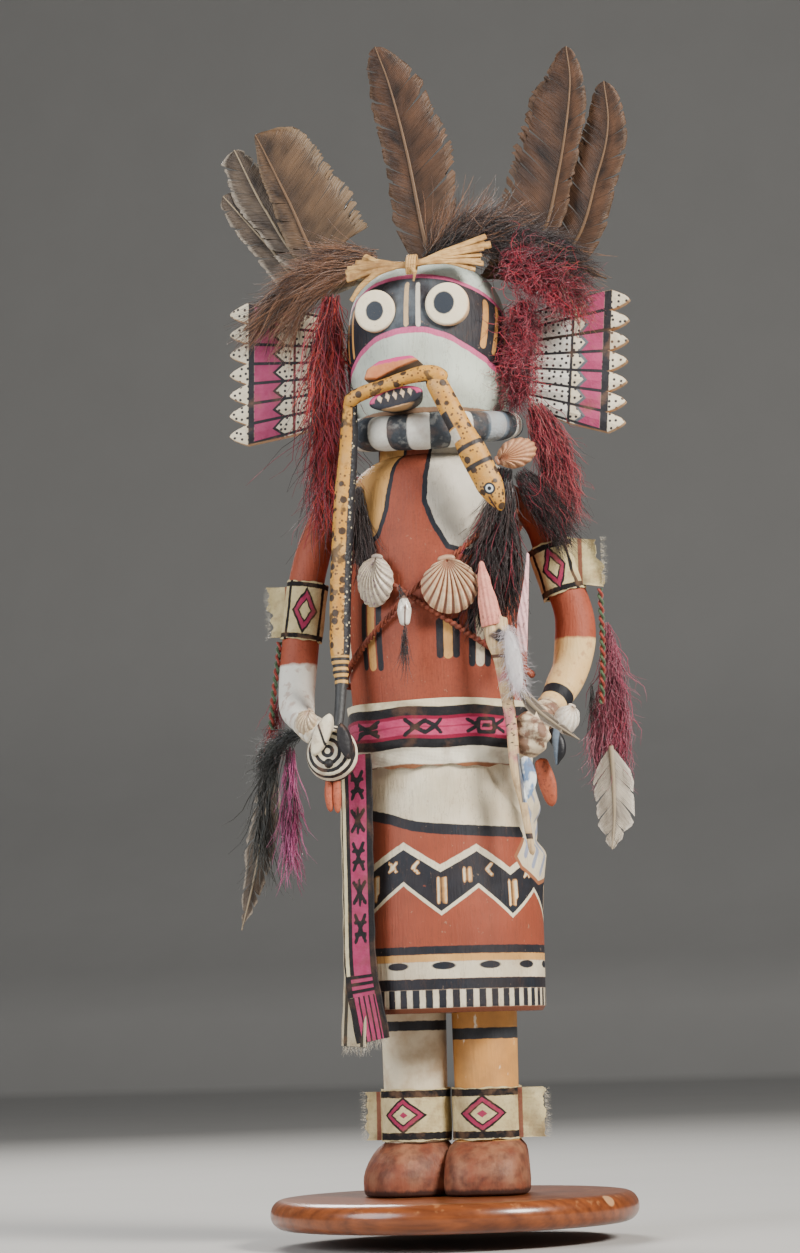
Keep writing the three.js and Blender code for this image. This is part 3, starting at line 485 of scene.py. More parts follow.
def planting_tree():
    tree = bpy.data.node_groups.new("planting", "GeometryNodeTree")
    sockets = {}
    for name, kind in [("Points", "NodeSocketGeometry"), ("Strands", "NodeSocketCollection"),
                       ("Seed", "NodeSocketInt"), ("Paint", "NodeSocketMaterial")]:
        sockets[name] = tree.interface.new_socket(name, in_out="INPUT", socket_type=kind).identifier
    tree.interface.new_socket("Mesh", in_out="OUTPUT", socket_type="NodeSocketGeometry")
    link = tree.links.new

    def node(kind, **settings):
        made = tree.nodes.new(kind)
        for key, value in settings.items():
            setattr(made, key, value)
        return made

    def attribute(name):
        made = node("GeometryNodeInputNamedAttribute", data_type="FLOAT_VECTOR")
        made.inputs["Name"].default_value = name
        return made.outputs["Attribute"]

    entry, end = node("NodeGroupInput"), node("NodeGroupOutput")
    strands = node("GeometryNodeCollectionInfo", transform_space="ORIGINAL")
    strands.inputs["Separate Children"].default_value = True
    strands.inputs["Reset Children"].default_value = True
    link(entry.outputs["Strands"], strands.inputs["Collection"])
    aim = node("FunctionNodeAlignRotationToVector", axis="Z")
    link(attribute("heading"), aim.inputs["Vector"])
    roll = node("FunctionNodeAlignRotationToVector", axis="Y", pivot_axis="Z")
    link(aim.outputs[0], roll.inputs["Rotation"])
    link(attribute("facing"), roll.inputs["Vector"])
    pick = node("FunctionNodeRandomValue", data_type="INT")
    link(entry.outputs["Seed"], pick.inputs["Seed"])
    dots = node("GeometryNodeMeshToPoints")
    link(entry.outputs["Points"], dots.inputs["Mesh"])
    put = node("GeometryNodeInstanceOnPoints")
    put.inputs["Pick Instance"].default_value = True
    link(dots.outputs[0], put.inputs["Points"])
    link(strands.outputs[0], put.inputs["Instance"])
    link(pick.outputs[2], put.inputs["Instance Index"])
    link(roll.outputs[0], put.inputs["Rotation"])
    link(attribute("stretch"), put.inputs["Scale"])
    real = node("GeometryNodeRealizeInstances")
    dress = node("GeometryNodeSetMaterial")
    link(put.outputs[0], real.inputs[0])
    link(real.outputs[0], dress.inputs["Geometry"])
    link(entry.outputs["Paint"], dress.inputs["Material"])
    link(dress.outputs[0], end.inputs[0])
    return tree, sockets


PLANTING, PLANTING_SOCKETS = planting_tree()


def strand_set(name, variants, bend, curl, sides=3, width=0.5, flat=1.0, steps=9):
    """Strands one unit long that start at the origin, rise along Z and bend towards X."""
    collection = bpy.data.collections.new(name)
    draw = np.random.default_rng(11)
    for i in range(variants):
        u = np.linspace(0, 1, steps)
        swing = bend * (0.6 + 0.8 * draw.random()) * u**2
        wave = curl * np.sin(2 * np.pi * (u * (1.0 + draw.random()) + draw.random()))
        other = curl * np.cos(2 * np.pi * (u * (1.0 + draw.random()) + draw.random()))
        line = np.stack([swing + (wave - wave[0]) * u, (other - other[0]) * u, u], axis=1)
        thin = width * (1.0 - 0.75 * u**2)
        rings = [oval(line[k], LEFT, vec(0, 1, 0), thin[k], thin[k] * flat, sides) for k in range(steps)]
        points, faces = loft(rings)
        mesh = smooth_mesh(f"{name}_{i}", points.tolist(), faces)
        values = np.repeat(u, sides)
        mesh.attributes.new("tip", "FLOAT", "POINT").data.foreach_set("value", values)
        tone = mesh.attributes.new("strand", "FLOAT", "POINT")
        tone.data.foreach_set("value", np.full(len(values), i / max(variants - 1, 1)))
        collection.objects.link(bpy.data.objects.new(f"{name}_{i}", mesh))
    return collection


def planted(name, roots, headings, facings, stretches, strands, material, seed=1):
    """The points and faces of every strand, with its tip and strand values."""
    mesh = bpy.data.meshes.new(name)
    mesh.from_pydata((np.asarray(roots) * MM).tolist(), [], [])
    for field, values in (("heading", headings), ("facing", facings), ("stretch", stretches)):
        data = np.asarray(values, float).ravel()
        mesh.attributes.new(field, "FLOAT_VECTOR", "POINT").data.foreach_set("vector", data)
    holder = bpy.data.objects.new(name, mesh)
    bpy.context.scene.collection.objects.link(holder)
    modifier = holder.modifiers.new("planting", "NODES")
    modifier.node_group = PLANTING
    modifier[PLANTING_SOCKETS["Strands"]] = strands
    modifier[PLANTING_SOCKETS["Seed"]] = seed
    modifier[PLANTING_SOCKETS["Paint"]] = material
    bpy.context.view_layer.update()
    graph = bpy.context.evaluated_depsgraph_get()
    made = bpy.data.meshes.new_from_object(holder.evaluated_get(graph))
    bpy.data.objects.remove(holder)
    return made


def blended(*meshes):
    """One mesh from several."""
    holders = []
    for mesh in meshes:
        holder = bpy.data.objects.new("part", mesh)
        bpy.context.scene.collection.objects.link(holder)
        holders.append(holder)
    with bpy.context.temp_override(active_object=holders[0], selected_editable_objects=holders):
        bpy.ops.object.join()
    whole = holders[0].data
    bpy.data.objects.remove(holders[0])
    return whole


FINE = strand_set("fine_strands", 6, 0.12, 0.02, width=0.006, steps=7)
WOOLLY = strand_set("woolly_strands", 7, 0.15, 0.09, width=0.009, steps=9)
CURLY = strand_set("curly_strands", 8, 0.35, 0.20, width=0.016, steps=13)


def flow(name, path, widths, depths, count, length, strands, material, thick=1.0, spread=0.16, drop=0.0,
         seed=1, reach=(0.0, 0.8), facing=FRONT):
    """Strands laid along a path, starting anywhere across it, like combed hair."""
    draw = np.random.default_rng(seed)
    steps = 60
    line = spline(path, steps)
    forward, side, over = frames(line, facing)
    u = reach[0] + (reach[1] - reach[0]) * draw.random(count)
    where = np.minimum((u * (steps - 1)).astype(int), steps - 1)
    angle = 2 * np.pi * draw.random(count)
    radius = np.sqrt(draw.random(count))
    wide, deep = along(widths, u), along(depths, u)
    across = (wide * radius * np.cos(angle))[:, None] * side[where]
    out = (deep * radius * np.sin(angle))[:, None] * over[where]
    roots = line[where] + across + out
    ahead = np.minimum(where + int(0.22 * steps), steps - 1)
    target = line[ahead] + across * (along(widths, ahead / (steps - 1))
                                     / np.maximum(wide, 0.1))[:, None] * 0.9
    heading = np.where((ahead > where)[:, None], target - roots, forward[where])
    heading /= np.linalg.norm(heading, axis=1)[:, None] + 1e-9
    heading = heading * 0.65 + forward[where] * 0.35
    heading = heading + draw.normal(0, spread, (count, 3)) + vec(0, 0, -drop)
    heading /= np.linalg.norm(heading, axis=1)[:, None]
    twist = draw.normal(0, 1, (count, 3))
    tall = length * (0.55 + 0.7 * draw.random(count)) * MM
    girth = tall * thick
    stretch = np.stack([girth, girth, tall], axis=1)
    return planted(name, roots, heading, twist, stretch, strands, material, seed)

# %% [markdown]
# ## Hair and yarn colours
# A strand runs from a dark root to a lighter tip, and each strand has its own tone. The dark root is
# painted shade, where strands lie deep in the mass and under each other. Without these differences a
# mass of hair looks like one moulded block. The material reads both numbers from attributes on the strands.

# %% Strand materials


def strand_paint(name, root, tip, other, rough=0.55, sheen=0.25):
    sheet = Sheet(name)
    # The colour darkens towards the root end of each strand: painted shade deep in the mass.
    sheet.color = sheet.mix((sheet.field("tip") * 0.5 + sheet.noise(11) * 1.7 - 0.65).clamp(), root, tip)
    sheet.lay((sheet.field("strand") - 0.55).cover(0.4) * 0.8, other)
    return sheet.finish(sheet.color, rough=rough, sheen=sheen)


RED_HAIR = strand_paint("red_hair", hue(64, 8, 12), hue(184, 28, 28), hue(200, 62, 44))
MAROON_WOOL = strand_paint("maroon_wool", hue(30, 9, 15), hue(142, 22, 50), hue(160, 32, 56))
SCARLET_WOOL = strand_paint("scarlet_wool", hue(110, 14, 30), hue(204, 40, 58), hue(116, 24, 46))
PINK_WOOL = strand_paint("pink_wool", hue(88, 20, 40), hue(192, 116, 132), hue(148, 52, 78))
SALMON_WOOL = strand_paint("salmon_wool", hue(128, 34, 44), hue(198, 98, 96), hue(166, 60, 66))
DARK_HAIR = strand_paint("dark_hair", hue(14, 10, 12), hue(36, 25, 24), hue(56, 34, 30))
BROWN_FUR = strand_paint("brown_fur", hue(50, 32, 23), hue(118, 76, 50), hue(146, 102, 70))
WHITE_DOWN = strand_paint("white_down", hue(205, 200, 198), hue(240, 238, 240), hue(214, 196, 204))
GREY_YARN = strand_paint("grey_yarn", hue(22, 22, 22), hue(76, 74, 66), hue(50, 54, 50))
RIBBON = strand_paint("ribbon_dye", hue(112, 22, 62), hue(194, 108, 156), hue(150, 38, 92))
FRAY = strand_paint("frayed_threads", hue(206, 198, 176), hue(230, 224, 206), hue(188, 176, 150))

# %% [markdown]
# ## The two armband cords
# A red and a green strand are twisted into each cord. Each cord hangs from its armband, with a woolly
# tassel beside its end. Two thin limbs wound round one line keep the twist real from every side.

# %% Cords and their tassels
CORD_RADIUS = 1.3
RIGHT_CORD = [(-63.6, -7.6, 233.6), (-64.4, -7.8, 226), (-65.8, -8.2, 216), (-67.0, -8.4, 207),
              (-67.8, -8.4, 198)]
LEFT_CORD = [(66.8, 0.6, 249.0), (66.9, 1.4, 240), (66.8, 2.2, 228), (66.3, 2.8, 215), (65.4, 3.2, 203)]


def twisted(path, radius, pitch, strands=2, steps=110):
    """The strands of a laid cord: tubes that wind round its middle line."""
    line = spline(path, steps)
    side, over = frames(line, vec(0.3, -1, 0.1))[1:]
    turn = 2 * np.pi * np.linspace(0, length_of(line) / pitch, steps)
    bodies = []
    for k in range(strands):
        angle = turn + 2 * np.pi * k / strands
        middle = line + 0.46 * radius * (np.cos(angle)[:, None] * side + np.sin(angle)[:, None] * over)
        rings = [oval(middle[i], side[i], over[i], 0.54 * radius, 0.54 * radius, 8) for i in range(steps)]
        bodies.append(loft(rings))
    return bodies


def cord_paint():
    sheet = Sheet("cord_threads")
    ply = sheet.noise(0.5, 2, place=sheet.stretched(2, 2, 0.6))
    red = sheet.mix(ply, hue(110, 34, 30), hue(168, 66, 48))
    green = sheet.mix(ply, hue(40, 60, 44), hue(88, 112, 76))
    return sheet.finish(sheet.mix(sheet.field("ply").cover(0.2), red, green), rough=0.8, bump=ply, sheen=0.3)


CORD_PAINT = cord_paint()


def armband_cord(name, node, path):
    bodies = twisted(path, CORD_RADIUS, 6.0)
    ply = np.concatenate([np.full(len(points), k - 0.5) for k, (points, _) in enumerate(bodies)])
    line = spline(path, 60)
    piece = build(name, together(*bodies), CORD_PAINT, "cord", [node], fields={"ply": ply})
    length_of(line) * MM


def tassel(name, parts, slot, stands_for):
    """A tassel of several flows of strands."""
    return as_piece(name, blended(*[flow(name, **part) for part in parts]), slot, [stands_for])


right_wool = tassel("right_tassel_strands", [
    dict(path=[(-65.4, -5.0, 212), (-66.8, -5.2, 200), (-68.4, -6, 186)], widths=[1.2, 2.8, 3.4],
         depths=[1.0, 2.0, 2.0], count=150, length=13, strands=WOOLLY, material=MAROON_WOOL),
    dict(path=[(-66.2, -6.2, 206), (-67.4, -6.4, 196), (-69.2, -6.6, 188)], widths=[1, 2.2, 3.0],
         depths=[0.6, 1.2, 1.2], count=70, length=12, strands=WOOLLY, material=RED_HAIR, seed=3),
], "wool_maroon", "right_tassel_wool")
left_wool = tassel("left_tassel_strands", [
    dict(path=[(68.2, 7.4, 236), (69.0, 8.0, 220), (68.6, 8.4, 204), (67.4, 8.6, 190), (67, 8.6, 177)],
         widths=[1.4, 3.0, 6.6, 8.4, 7.0], depths=[1.2, 2.4, 3.6, 3.8, 3.0], count=800, length=19,
         strands=WOOLLY, material=PINK_WOOL, reach=(0, 0.86), spread=0.14),
    dict(path=[(70, 8.4, 214), (70.4, 8.6, 200), (69.4, 8.8, 184)], widths=[2, 4.4, 4.4],
         depths=[1, 2, 2], count=170, length=15, strands=WOOLLY, material=MAROON_WOOL, seed=4),
    dict(path=[(60.8, 8.4, 212), (60.4, 8.6, 196), (61.0, 8.8, 178)], widths=[0.6, 1.6, 1.8],
         depths=[0.6, 1.2, 1.4], count=80, length=14, strands=FINE, material=DARK_HAIR, seed=5),
], "wool_pink", "left_tassel_wool")
armband_cord("right_twisted_cord", "right_armband_cord", RIGHT_CORD)
armband_cord("left_twisted_cord", "left_armband_cord", LEFT_CORD)

# %% [markdown]
# ## The base
# A turned disc with a round rim, varnished, with its grain running across it. It is a stack of rings
# that follow the profile a lathe would cut. The grain is made of long wavy lines, because growth rings
# show that way on the face of a board.

# %% Base


def varnished():
    sheet = Sheet("varnished_base")
    bend = sheet.wobble(60, 2, 30)
    across = sheet.y + bend + sheet.z * 0.6
    rings = ((across * 0.16).part() - 0.5).size() * 2
    grain = (rings - 0.30).cover(0.9)
    streak = sheet.noise(1.3, 4, place=sheet.stretched(0.05, 1.0, 1.0))
    sheet.color = sheet.mix(grain * 0.30 + streak * 0.70, hue(70, 32, 15), hue(164, 88, 40))
    sheet.lay(sheet.blots(24, 4, 0.55, 0.3) * 0.45, hue(58, 27, 15))
    rub = sheet.blots(5, 4, 0.62, 0.08) * (sheet.z - 8).cover(2)
    sheet.lay(rub * 0.5, hue(176, 118, 74))
    chip = (3.2 - sheet.away_from(sheet.place, (66.5, -28, 10.5))).cover(0.8)
    sheet.lay(chip, hue(186, 140, 98))
    return sheet.finish(sheet.color, rough=streak * 0.12 + 0.26, bump=streak, bump_mm=0.06, coat=0.55,
                        coat_rough=0.16)


def turned_base(radius=72.7, height=11.5, round_over=5.2):
    angle = np.linspace(-np.pi / 2, np.pi / 2, 15)
    rim = [(radius - round_over + round_over * math.cos(a), height / 2 * (1 + math.sin(a))) for a in angle]
    rings = [oval(vec(0, 0, z), LEFT, vec(0, 1, 0), r, r, 128) for r, z in rim]
    return loft([rings[0] * vec(0.4, 0.4, 1)] + rings + [rings[-1] * vec(0.4, 0.4, 1)])


build("round_base", turned_base(), varnished(), "base_wood", ["base"])

# %% [markdown]
# ## The carved body
# Mask, torso and kilt are one carving, because on the real doll they are one root. Paint is laid out on
# it in arc millimetres `s` round the body, zero at the front and growing to the doll's left, and in
# height `z`. The paint is worked out from these two numbers, so it follows the carving.

# %% Body shape
BODY_PROFILE = [
    (82.6, 37.4, 36.0), (84.6, 38.7, 37.3), (112, 38.9, 37.2), (128, 38.5, 36.7), (146, 37.2, 35.8),
    (160, 36.6, 35.0), (180, 35.4, 33.4), (192, 34.4, 32.2), (208, 35.0, 32.4), (233, 36.8, 33.6),
    (262, 35.7, 32.6), (290, 33.6, 30.0), (300, 30.6, 27.6), (304.5, 21.4, 21.0), (319, 21.4, 21.0),
    (320, 28.4, 28.0), (328, 32.0, 31.5), (349, 33.3, 32.7), (361, 32.6, 32.0), (371, 30.2, 29.7),
    (378.5, 25.6, 25.2), (384, 17.6, 17.3), (387, 7, 7),
]
ARC = 36.0
rows = np.array(BODY_PROFILE)
heights = np.concatenate([np.arange(82.6, 304.5, 1.0), np.linspace(304.5, 320, 6), np.arange(321, 386.6, 1.0),
                          [387.0]])
wide_at = np.interp(heights, rows[:, 0], rows[:, 1])
deep_at = np.interp(heights, rows[:, 0], rows[:, 2])


def eased(values, start, end, rounds=14):
    """The profile with its carved corners rubbed round between two heights."""
    soft = values.copy()
    inside = (heights > start) & (heights < end)
    for _ in range(rounds):
        mean = (np.roll(soft, 1) + 2 * soft + np.roll(soft, -1)) / 4
        soft = np.where(inside, mean, soft)
    return soft


for start, end in ((86, 302.5), (321.5, 386)):
    wide_at = eased(wide_at, start, end)
    deep_at = eased(deep_at, start, end)
SIDES = 232
body_rings = [oval(vec(0, 0, z), LEFT, vec(0, 1, 0), w, d, SIDES)
              for z, w, d in zip(heights, wide_at, deep_at)]
body_points, body_faces = loft(body_rings)
body_z = np.repeat(heights, SIDES)
body_angle = np.tile(2 * np.pi * (np.arange(SIDES) + 0.5) / SIDES, len(heights))
body_s = ARC * np.arctan2(np.cos(body_angle), -np.sin(body_angle))


def body_at(z):
    return np.interp(z, heights, wide_at), np.interp(z, heights, deep_at)


def on_body(s, z, out=0.0):
    wide, deep = body_at(z)
    return vec((wide + out) * math.sin(s / ARC), -(deep + out) * math.cos(s / ARC), z)


def sunk(points, s, z, outline, depth, soft):
    """Push the surface in inside an outline, with a soft edge."""
    inside = np.clip(patch(np.stack([s, z], axis=1), outline) / soft + 0.5, 0, 1)
    inside = inside * inside * (3 - 2 * inside)
    out = points * vec(1, 1, 0)
    return points - out / np.maximum(np.linalg.norm(out, axis=1), 1)[:, None] * (depth * inside)[:, None]


KILT_FOLD = [(26, 178), (30, 170), (38, 163), (46, 158), (47, 160), (39.6, 165.6), (32, 172.4), (28.4, 178)]
body_points = sunk(body_points, body_s, body_z, [(46, 150), (60, 146), (72, 150), (70, 158), (56, 163)],
                   4.5, 7)
body_points = sunk(body_points, body_s, body_z, KILT_FOLD, 1.1, 2.2)
flare = np.exp(-((body_s - 64) / 15) ** 2 - ((body_z - 152) / 18) ** 2) * 4.4
round_out = body_points * vec(1, 1, 0)
body_points = body_points + round_out / np.maximum(np.linalg.norm(round_out, axis=1),
                                                   1)[:, None] * flare[:, None]
print("body", len(body_points), "points")

# %% [markdown]
# ## Body paint
# The body is painted by hand, and the paint is worn in places. The plain bands come straight from `z`
# in the shader. Figures with an outline of their own, such as the chest patches, the belly bars and the
# small signs in the zigzag, are distance fields. `coat` breaks up each layer a little, as worn paint
# does.

# %% Painted figures
flat = np.stack([body_s, body_z], axis=1)
ZIGZAG_PITCH = 2 * math.pi * ARC / 8
ZIGZAG_PEAK = -8.8


def chevron(s, z, size, way):
    return [(s + way * size, z + size), (s, z), (s + way * size, z - size)]


def zigzag_signs(points):
    """Pairs of bars at the low points and a small star or arrow at each peak."""
    shapes = []
    for k in range(-4, 4):
        peak = ZIGZAG_PEAK + k * ZIGZAG_PITCH
        low = peak + ZIGZAG_PITCH / 2
        tilt = -0.05 * peak
        shapes.append(bar(points, low - 0.8, 124.5 + tilt, 134 + tilt, 0.9))
        shapes.append(bar(points, low + 1.6, 124.5 + tilt, 134 + tilt, 0.9))
        shapes.append(stroke(points, chevron(peak + 3.6, 138.4 + tilt, 2.2, 1), 1.0))
        if k % 2:
            shapes.append(bar(points, peak - 5.2, 134 + tilt, 139 + tilt, 0.9))
            shapes.append(bar(points, peak - 3.0, 134 + tilt, 139 + tilt, 0.9))
        else:
            for way in (-1, 1):
                line = [(peak - 4.6 - way * 1.6, 140.6 + tilt), (peak - 4.6 + way * 1.6, 137 + tilt)]
                shapes.append(stroke(points, line, 0.9))
            shapes.append(bar(points, peak - 11.4, 129 + tilt, 135.4 + tilt, 0.9))
    return most(*shapes)


YELLOW_PATCH = [(-9.4, 312), (-12.4, 302), (-12.7, 293.5), (-14.5, 281.4), (-18.4, 271.3), (-25, 268),
                (-38, 276), (-52, 296), (-40, 312)]
GREY_PATCH = [(8.4, 312), (5.0, 302), (3.4, 294), (2.7, 284.1), (6.3, 274.6), (11.9, 265.1), (20, 262.5),
              (34, 268), (48, 284), (56, 300), (40, 312)]
MOUTH_PAINT = [(39, 158), (41.4, 153), (42.8, 151), (40.6, 147.4), (36.8, 142.6), (40, 138), (52, 132),
               (74, 136), (76, 158), (56, 162)]
FLAP_LINES = [[(43.4, 168), (48.6, 160), (46.6, 150), (43.2, 143)],
              [(51, 170), (57.4, 160), (53.4, 148), (48, 139)],
              [(60, 170), (66, 160), (61, 147), (54, 136)], [(69, 168), (73, 158), (68, 144)]]


def belly_bars(points, places, width):
    return most(*[bar(points, s, low, high, width) for s, low, high in places])


FRONT_BARS = [(-26.4, 219.5, 244), (-18.0, 218.5, 243), (7.6, 222, 235), (14.0, 222, 235),
              (20.6, 218.6, 238.6), (27.6, 218.6, 238.6), (-44, 221, 241)]
YELLOW_BARS = [(-22.2, 219.5, 243.6), (10.8, 222.4, 234.6)]
WHITE_BARS = [(24.1, 219.4, 238.2), (-40.6, 221, 240.6)]
HALF_GIRTH = 113
BACK_STARTS = 55
FAR_OFF = 200
back = flat.copy()
back[:, 0] = np.where(np.abs(body_s) > BACK_STARTS, np.sign(body_s) * (HALF_GIRTH - np.abs(body_s)), FAR_OFF)
back_bars = [(s, low, high) for s, low, high in FRONT_BARS if abs(s) < 28]
body_fields = {"s": body_s, "signs": zigzag_signs(flat), "yellow_patch": patch(flat, YELLOW_PATCH),
               "grey_patch": patch(flat, GREY_PATCH), "kilt_mouth": patch(flat, MOUTH_PAINT),
               "flap_lines": most(*[stroke(flat, line, 2.2) for line in FLAP_LINES]),
               "black_bars": most(belly_bars(flat, FRONT_BARS, 2.9), belly_bars(back, back_bars, 2.9)),
               "yellow_bars": most(belly_bars(flat, YELLOW_BARS, 4.0), belly_bars(back, YELLOW_BARS, 4.0)),
               "white_bars": most(belly_bars(flat, WHITE_BARS, 4.0), belly_bars(back, WHITE_BARS[:1], 4.0)),
               "nose": most(bar(flat, -2.4, 355, 372, 2.1), bar(flat, 3.0, 354.6, 371.6, 2.1)),
               "cheek": most(stroke(flat, [(37.2, 364.6), (33.2, 347.4)], 3.6),
                             stroke(flat, [(45.6, 363.6), (40, 345)], 2.7),
                             stroke(flat, [(53, 362.6), (49, 344)], 2.2),
                             stroke(flat, [(-36.4, 365), (-33.6, 346)], 1.9),
                             stroke(flat, [(-42.4, 364), (-39.4, 345)], 1.9)),}


def line_through(points, s):
    """A curve of height against arc, as a shader value."""
    sheet = s.sheet
    low, high = min(p[0] for p in points), max(p[0] for p in points)
    floor = min(p[1] for p in points)
    top = max(p[1] for p in points)
    made = sheet.tree.nodes.new("ShaderNodeFloatCurve")
    curve = made.mapping.curves[0]
    while len(curve.points) < len(points):
        curve.points.new(0.5, 0.5)
    for spot, (x, y) in zip(curve.points, points):
        spot.location = ((x - low) / (high - low), (y - floor) / (top - floor))
    made.mapping.update()
    sheet.plug(made.inputs["Value"], (s - low) / (high - low))
    return Value(sheet, made.outputs[0]) * (top - floor) + floor


CAP_LINE = [(-113, 352), (-75, 353), (-50, 364), (-32.4, 370.8), (-20.7, 374.4), (-3, 375.6), (12.8, 374.8),
            (27.4, 371.7), (42.7, 366.8), (58, 360), (76, 352), (113, 352)]
CHEEK_LINE = [(-113, 351), (-72, 348), (-52, 336), (-38, 340.4), (-23.5, 347.4), (-10.4, 351.4),
              (-0.6, 352.2), (11, 350.4), (23.1, 345.6), (34.4, 341.0), (46.6, 337.6), (58, 338), (76, 348),
              (113, 351)]


def paint_body():
    sheet = Sheet("body_paint")
    s, z = sheet.field("s"), sheet.z
    ragged = sheet.wobble(2.2, 4, 0.9)
    broad = sheet.noise(14, 4)
    fine = sheet.noise(0.9, 5)

    def coat(amount, paint, wear=0.5):
        worn = sheet.blots(3.1, 5, 0.75, 0.06) * wear
        sheet.lay(amount * (1 - worn), paint)

    def band(low, high, tilt=0.0):
        return (z + ragged * 0.6 + s * tilt).between(low, high, 0.35)

    terracotta = sheet.mix(broad, hue(132, 60, 41), hue(158, 78, 54))
    sheet.color = sheet.mix((fine - 0.56).cover(0.2) * 0.35, terracotta, hue(112, 46, 32))
    chalk = sheet.mix(broad, hue(206, 190, 156), hue(236, 228, 206))
    chalk = sheet.mix(sheet.blots(13, 5, 0.50, 0.3) * 0.25, chalk, hue(176, 140, 88))
    black = sheet.mottled(4, 4, (13, 16, 22), (34, 40, 50))
    yellow = sheet.mix(broad, hue(196, 140, 74), hue(224, 176, 108))
    grey = sheet.mix(broad, hue(168, 158, 140), hue(212, 206, 190))
    pink = sheet.mix(fine, hue(188, 72, 118), hue(216, 110, 150))
    for name, paint in (("yellow_patch", yellow), ("grey_patch", grey)):
        edge = sheet.field(name) + ragged
        coat(edge.cover(), paint)
        coat((1.1 - edge.size()).cover(), black)
    for name, paint in (("yellow_bars", yellow), ("white_bars", chalk), ("black_bars", black)):
        coat((sheet.field(name) + ragged * 0.5).cover(), paint)
    kilt = (181 - z).cover(0.4)
    sheet.lay(kilt, terracotta)
    slope = line_through([(-113, 155), (-30, 160.4), (-19, 159.1), (9.5, 153.3), (41, 152.2), (113, 155)], s)
    coat((z - slope).cover() * kilt, chalk)
    shade = (sheet.field("flap_lines") + ragged * 0.5).cover(0.5)
    coat((2.1 - (z - slope + ragged * 0.7).size()).cover(), black)
    tilted = z + s * 0.05
    wave = ((s - ZIGZAG_PEAK) / ZIGZAG_PITCH).part() * 2 - 1
    upper = wave.size() * 8.6 + 138.4
    lower = wave.size() * 11.2 + 121.0
    inside = (upper - tilted).least(tilted - lower)
    coat(inside.cover(), black, 0.7)
    coat((1.45 - (tilted - upper + ragged * 0.6).size()).cover(), CREAM)
    coat((0.85 - (tilted - lower + ragged * 0.5).size()).cover(), CREAM)
    signs = sheet.field("signs") + ragged * 0.2
    coat((signs + 0.25).cover(0.3), OCHRE)
    coat(signs.cover(0.25), CREAM)
    for low, high, paint in ((105, 108.2, black), (102.2, 105, yellow), (95.6, 102.2, chalk)):
        coat(band(low, high), paint)
    dash = ((s + 11.8) / 17.4 + 0.5).part() * 17.4 - 8.7
    dashes = 1 - (dash / 4.3 * (dash / 4.3) + (z - 100.6) / 1.5 * ((z - 100.6) / 1.5)).maths("SQRT")
    coat((dashes * 1.5 + ragged * 0.3).cover(), black)
    coat(band(91.4, 95.6), black)
    coat(band(84.4, 91.4), chalk)
    stripe = (((s + ragged * 0.4) / 4.9).part() - 0.5).size() * 4.9
    coat((stripe - 1.1).cover() * band(84.4, 91.4), black)
    sheet.lay((84.3 - z).cover(), hue(112, 62, 40))
    mouth = sheet.field("kilt_mouth")
    coat(mouth.cover(), chalk)
    sheet.lay(shade * (z - 134).cover(6) * 0.75, hue(112, 132, 172))
    coat((0.8 - (mouth - 0.4).size()).cover() * (150 - z).cover(), hue(150, 96, 66))
    mask = (z - 319.6).cover()
    cap_line, cheek_line = line_through(CAP_LINE, s), line_through(CHEEK_LINE, s)
    pale = sheet.mottled(9, 4, (178, 192, 182), (214, 222, 210))
    sheet.lay(mask, pale)
    low_face = mask * (cheek_line - z).cover()
    sheet.lay(low_face * 0.55, hue(202, 208, 190))
    face = (cap_line - z).least(z - cheek_line) + ragged * 0.4
    sheet.lay(face.cover() * mask, black)
    rubbed = sheet.blots(7, 4, 0.52, 0.5) * (13 - s.size()).cover(14) * face.cover() * mask
    sheet.lay(rubbed * 0.75, hue(122, 134, 142))
    nose = (sheet.field("nose") + ragged * 0.4).cover()
    sheet.lay(nose, sheet.mix(s.cover(2), hue(210, 180, 138), hue(214, 206, 190)))
    sheet.lay((sheet.field("cheek") + ragged * 0.3).cover(), OCHRE)
    coat((1.25 - (z - cheek_line - 0.4 + ragged * 0.6).size()).cover() * mask, pink)
    coat((0.95 - (z - cap_line + ragged * 0.5).size()).cover() * mask, pink)
    sheet.lay((321.8 - z + ragged).cover() * mask * 0.85, hue(150, 104, 70))
    grime = sheet.blots(17, 5, 0.48, 0.3) * 0.22
    sheet.lay(grime, hue(66, 44, 32))
    grain = sheet.noise(1.0, 3, place=sheet.stretched(1.0, 1.0, 0.12))
    crack = (sheet.noise(5.5, 5, 0.6, sheet.stretched(1.0, 1.0, 0.2)) - 0.5).size()
    sheet.lay((0.006 - crack).cover(0.008) * 0.25, hue(84, 58, 42))
    flecks = sheet.blots(2.2, 5, 0.69, 0.05) * 0.4
    sheet.lay(flecks, hue(158, 132, 108))
    return sheet.finish(sheet.color, rough=0.66 - fine * 0.12, bump=grain * 0.7 + broad * 0.8, bump_mm=0.35,
                        specular=0.3)


BODY_PAINT = paint_body()
build("carved_body", (body_points, body_faces), BODY_PAINT, "body_paint", ["carved_figure"], smooth=35,
      fields=body_fields)

# %% [markdown]
# ## Legs and moccasins
# The legs are painted white and ochre with a black band each. The right moccasin has a ridge down its
# toe and the left one is blunt. Each moccasin is a stack of rings from the sole up, with one width,
# depth and lean at every level, which is a short way to write down a blocky foot.

# %% Legs
LEG_X = 14.3


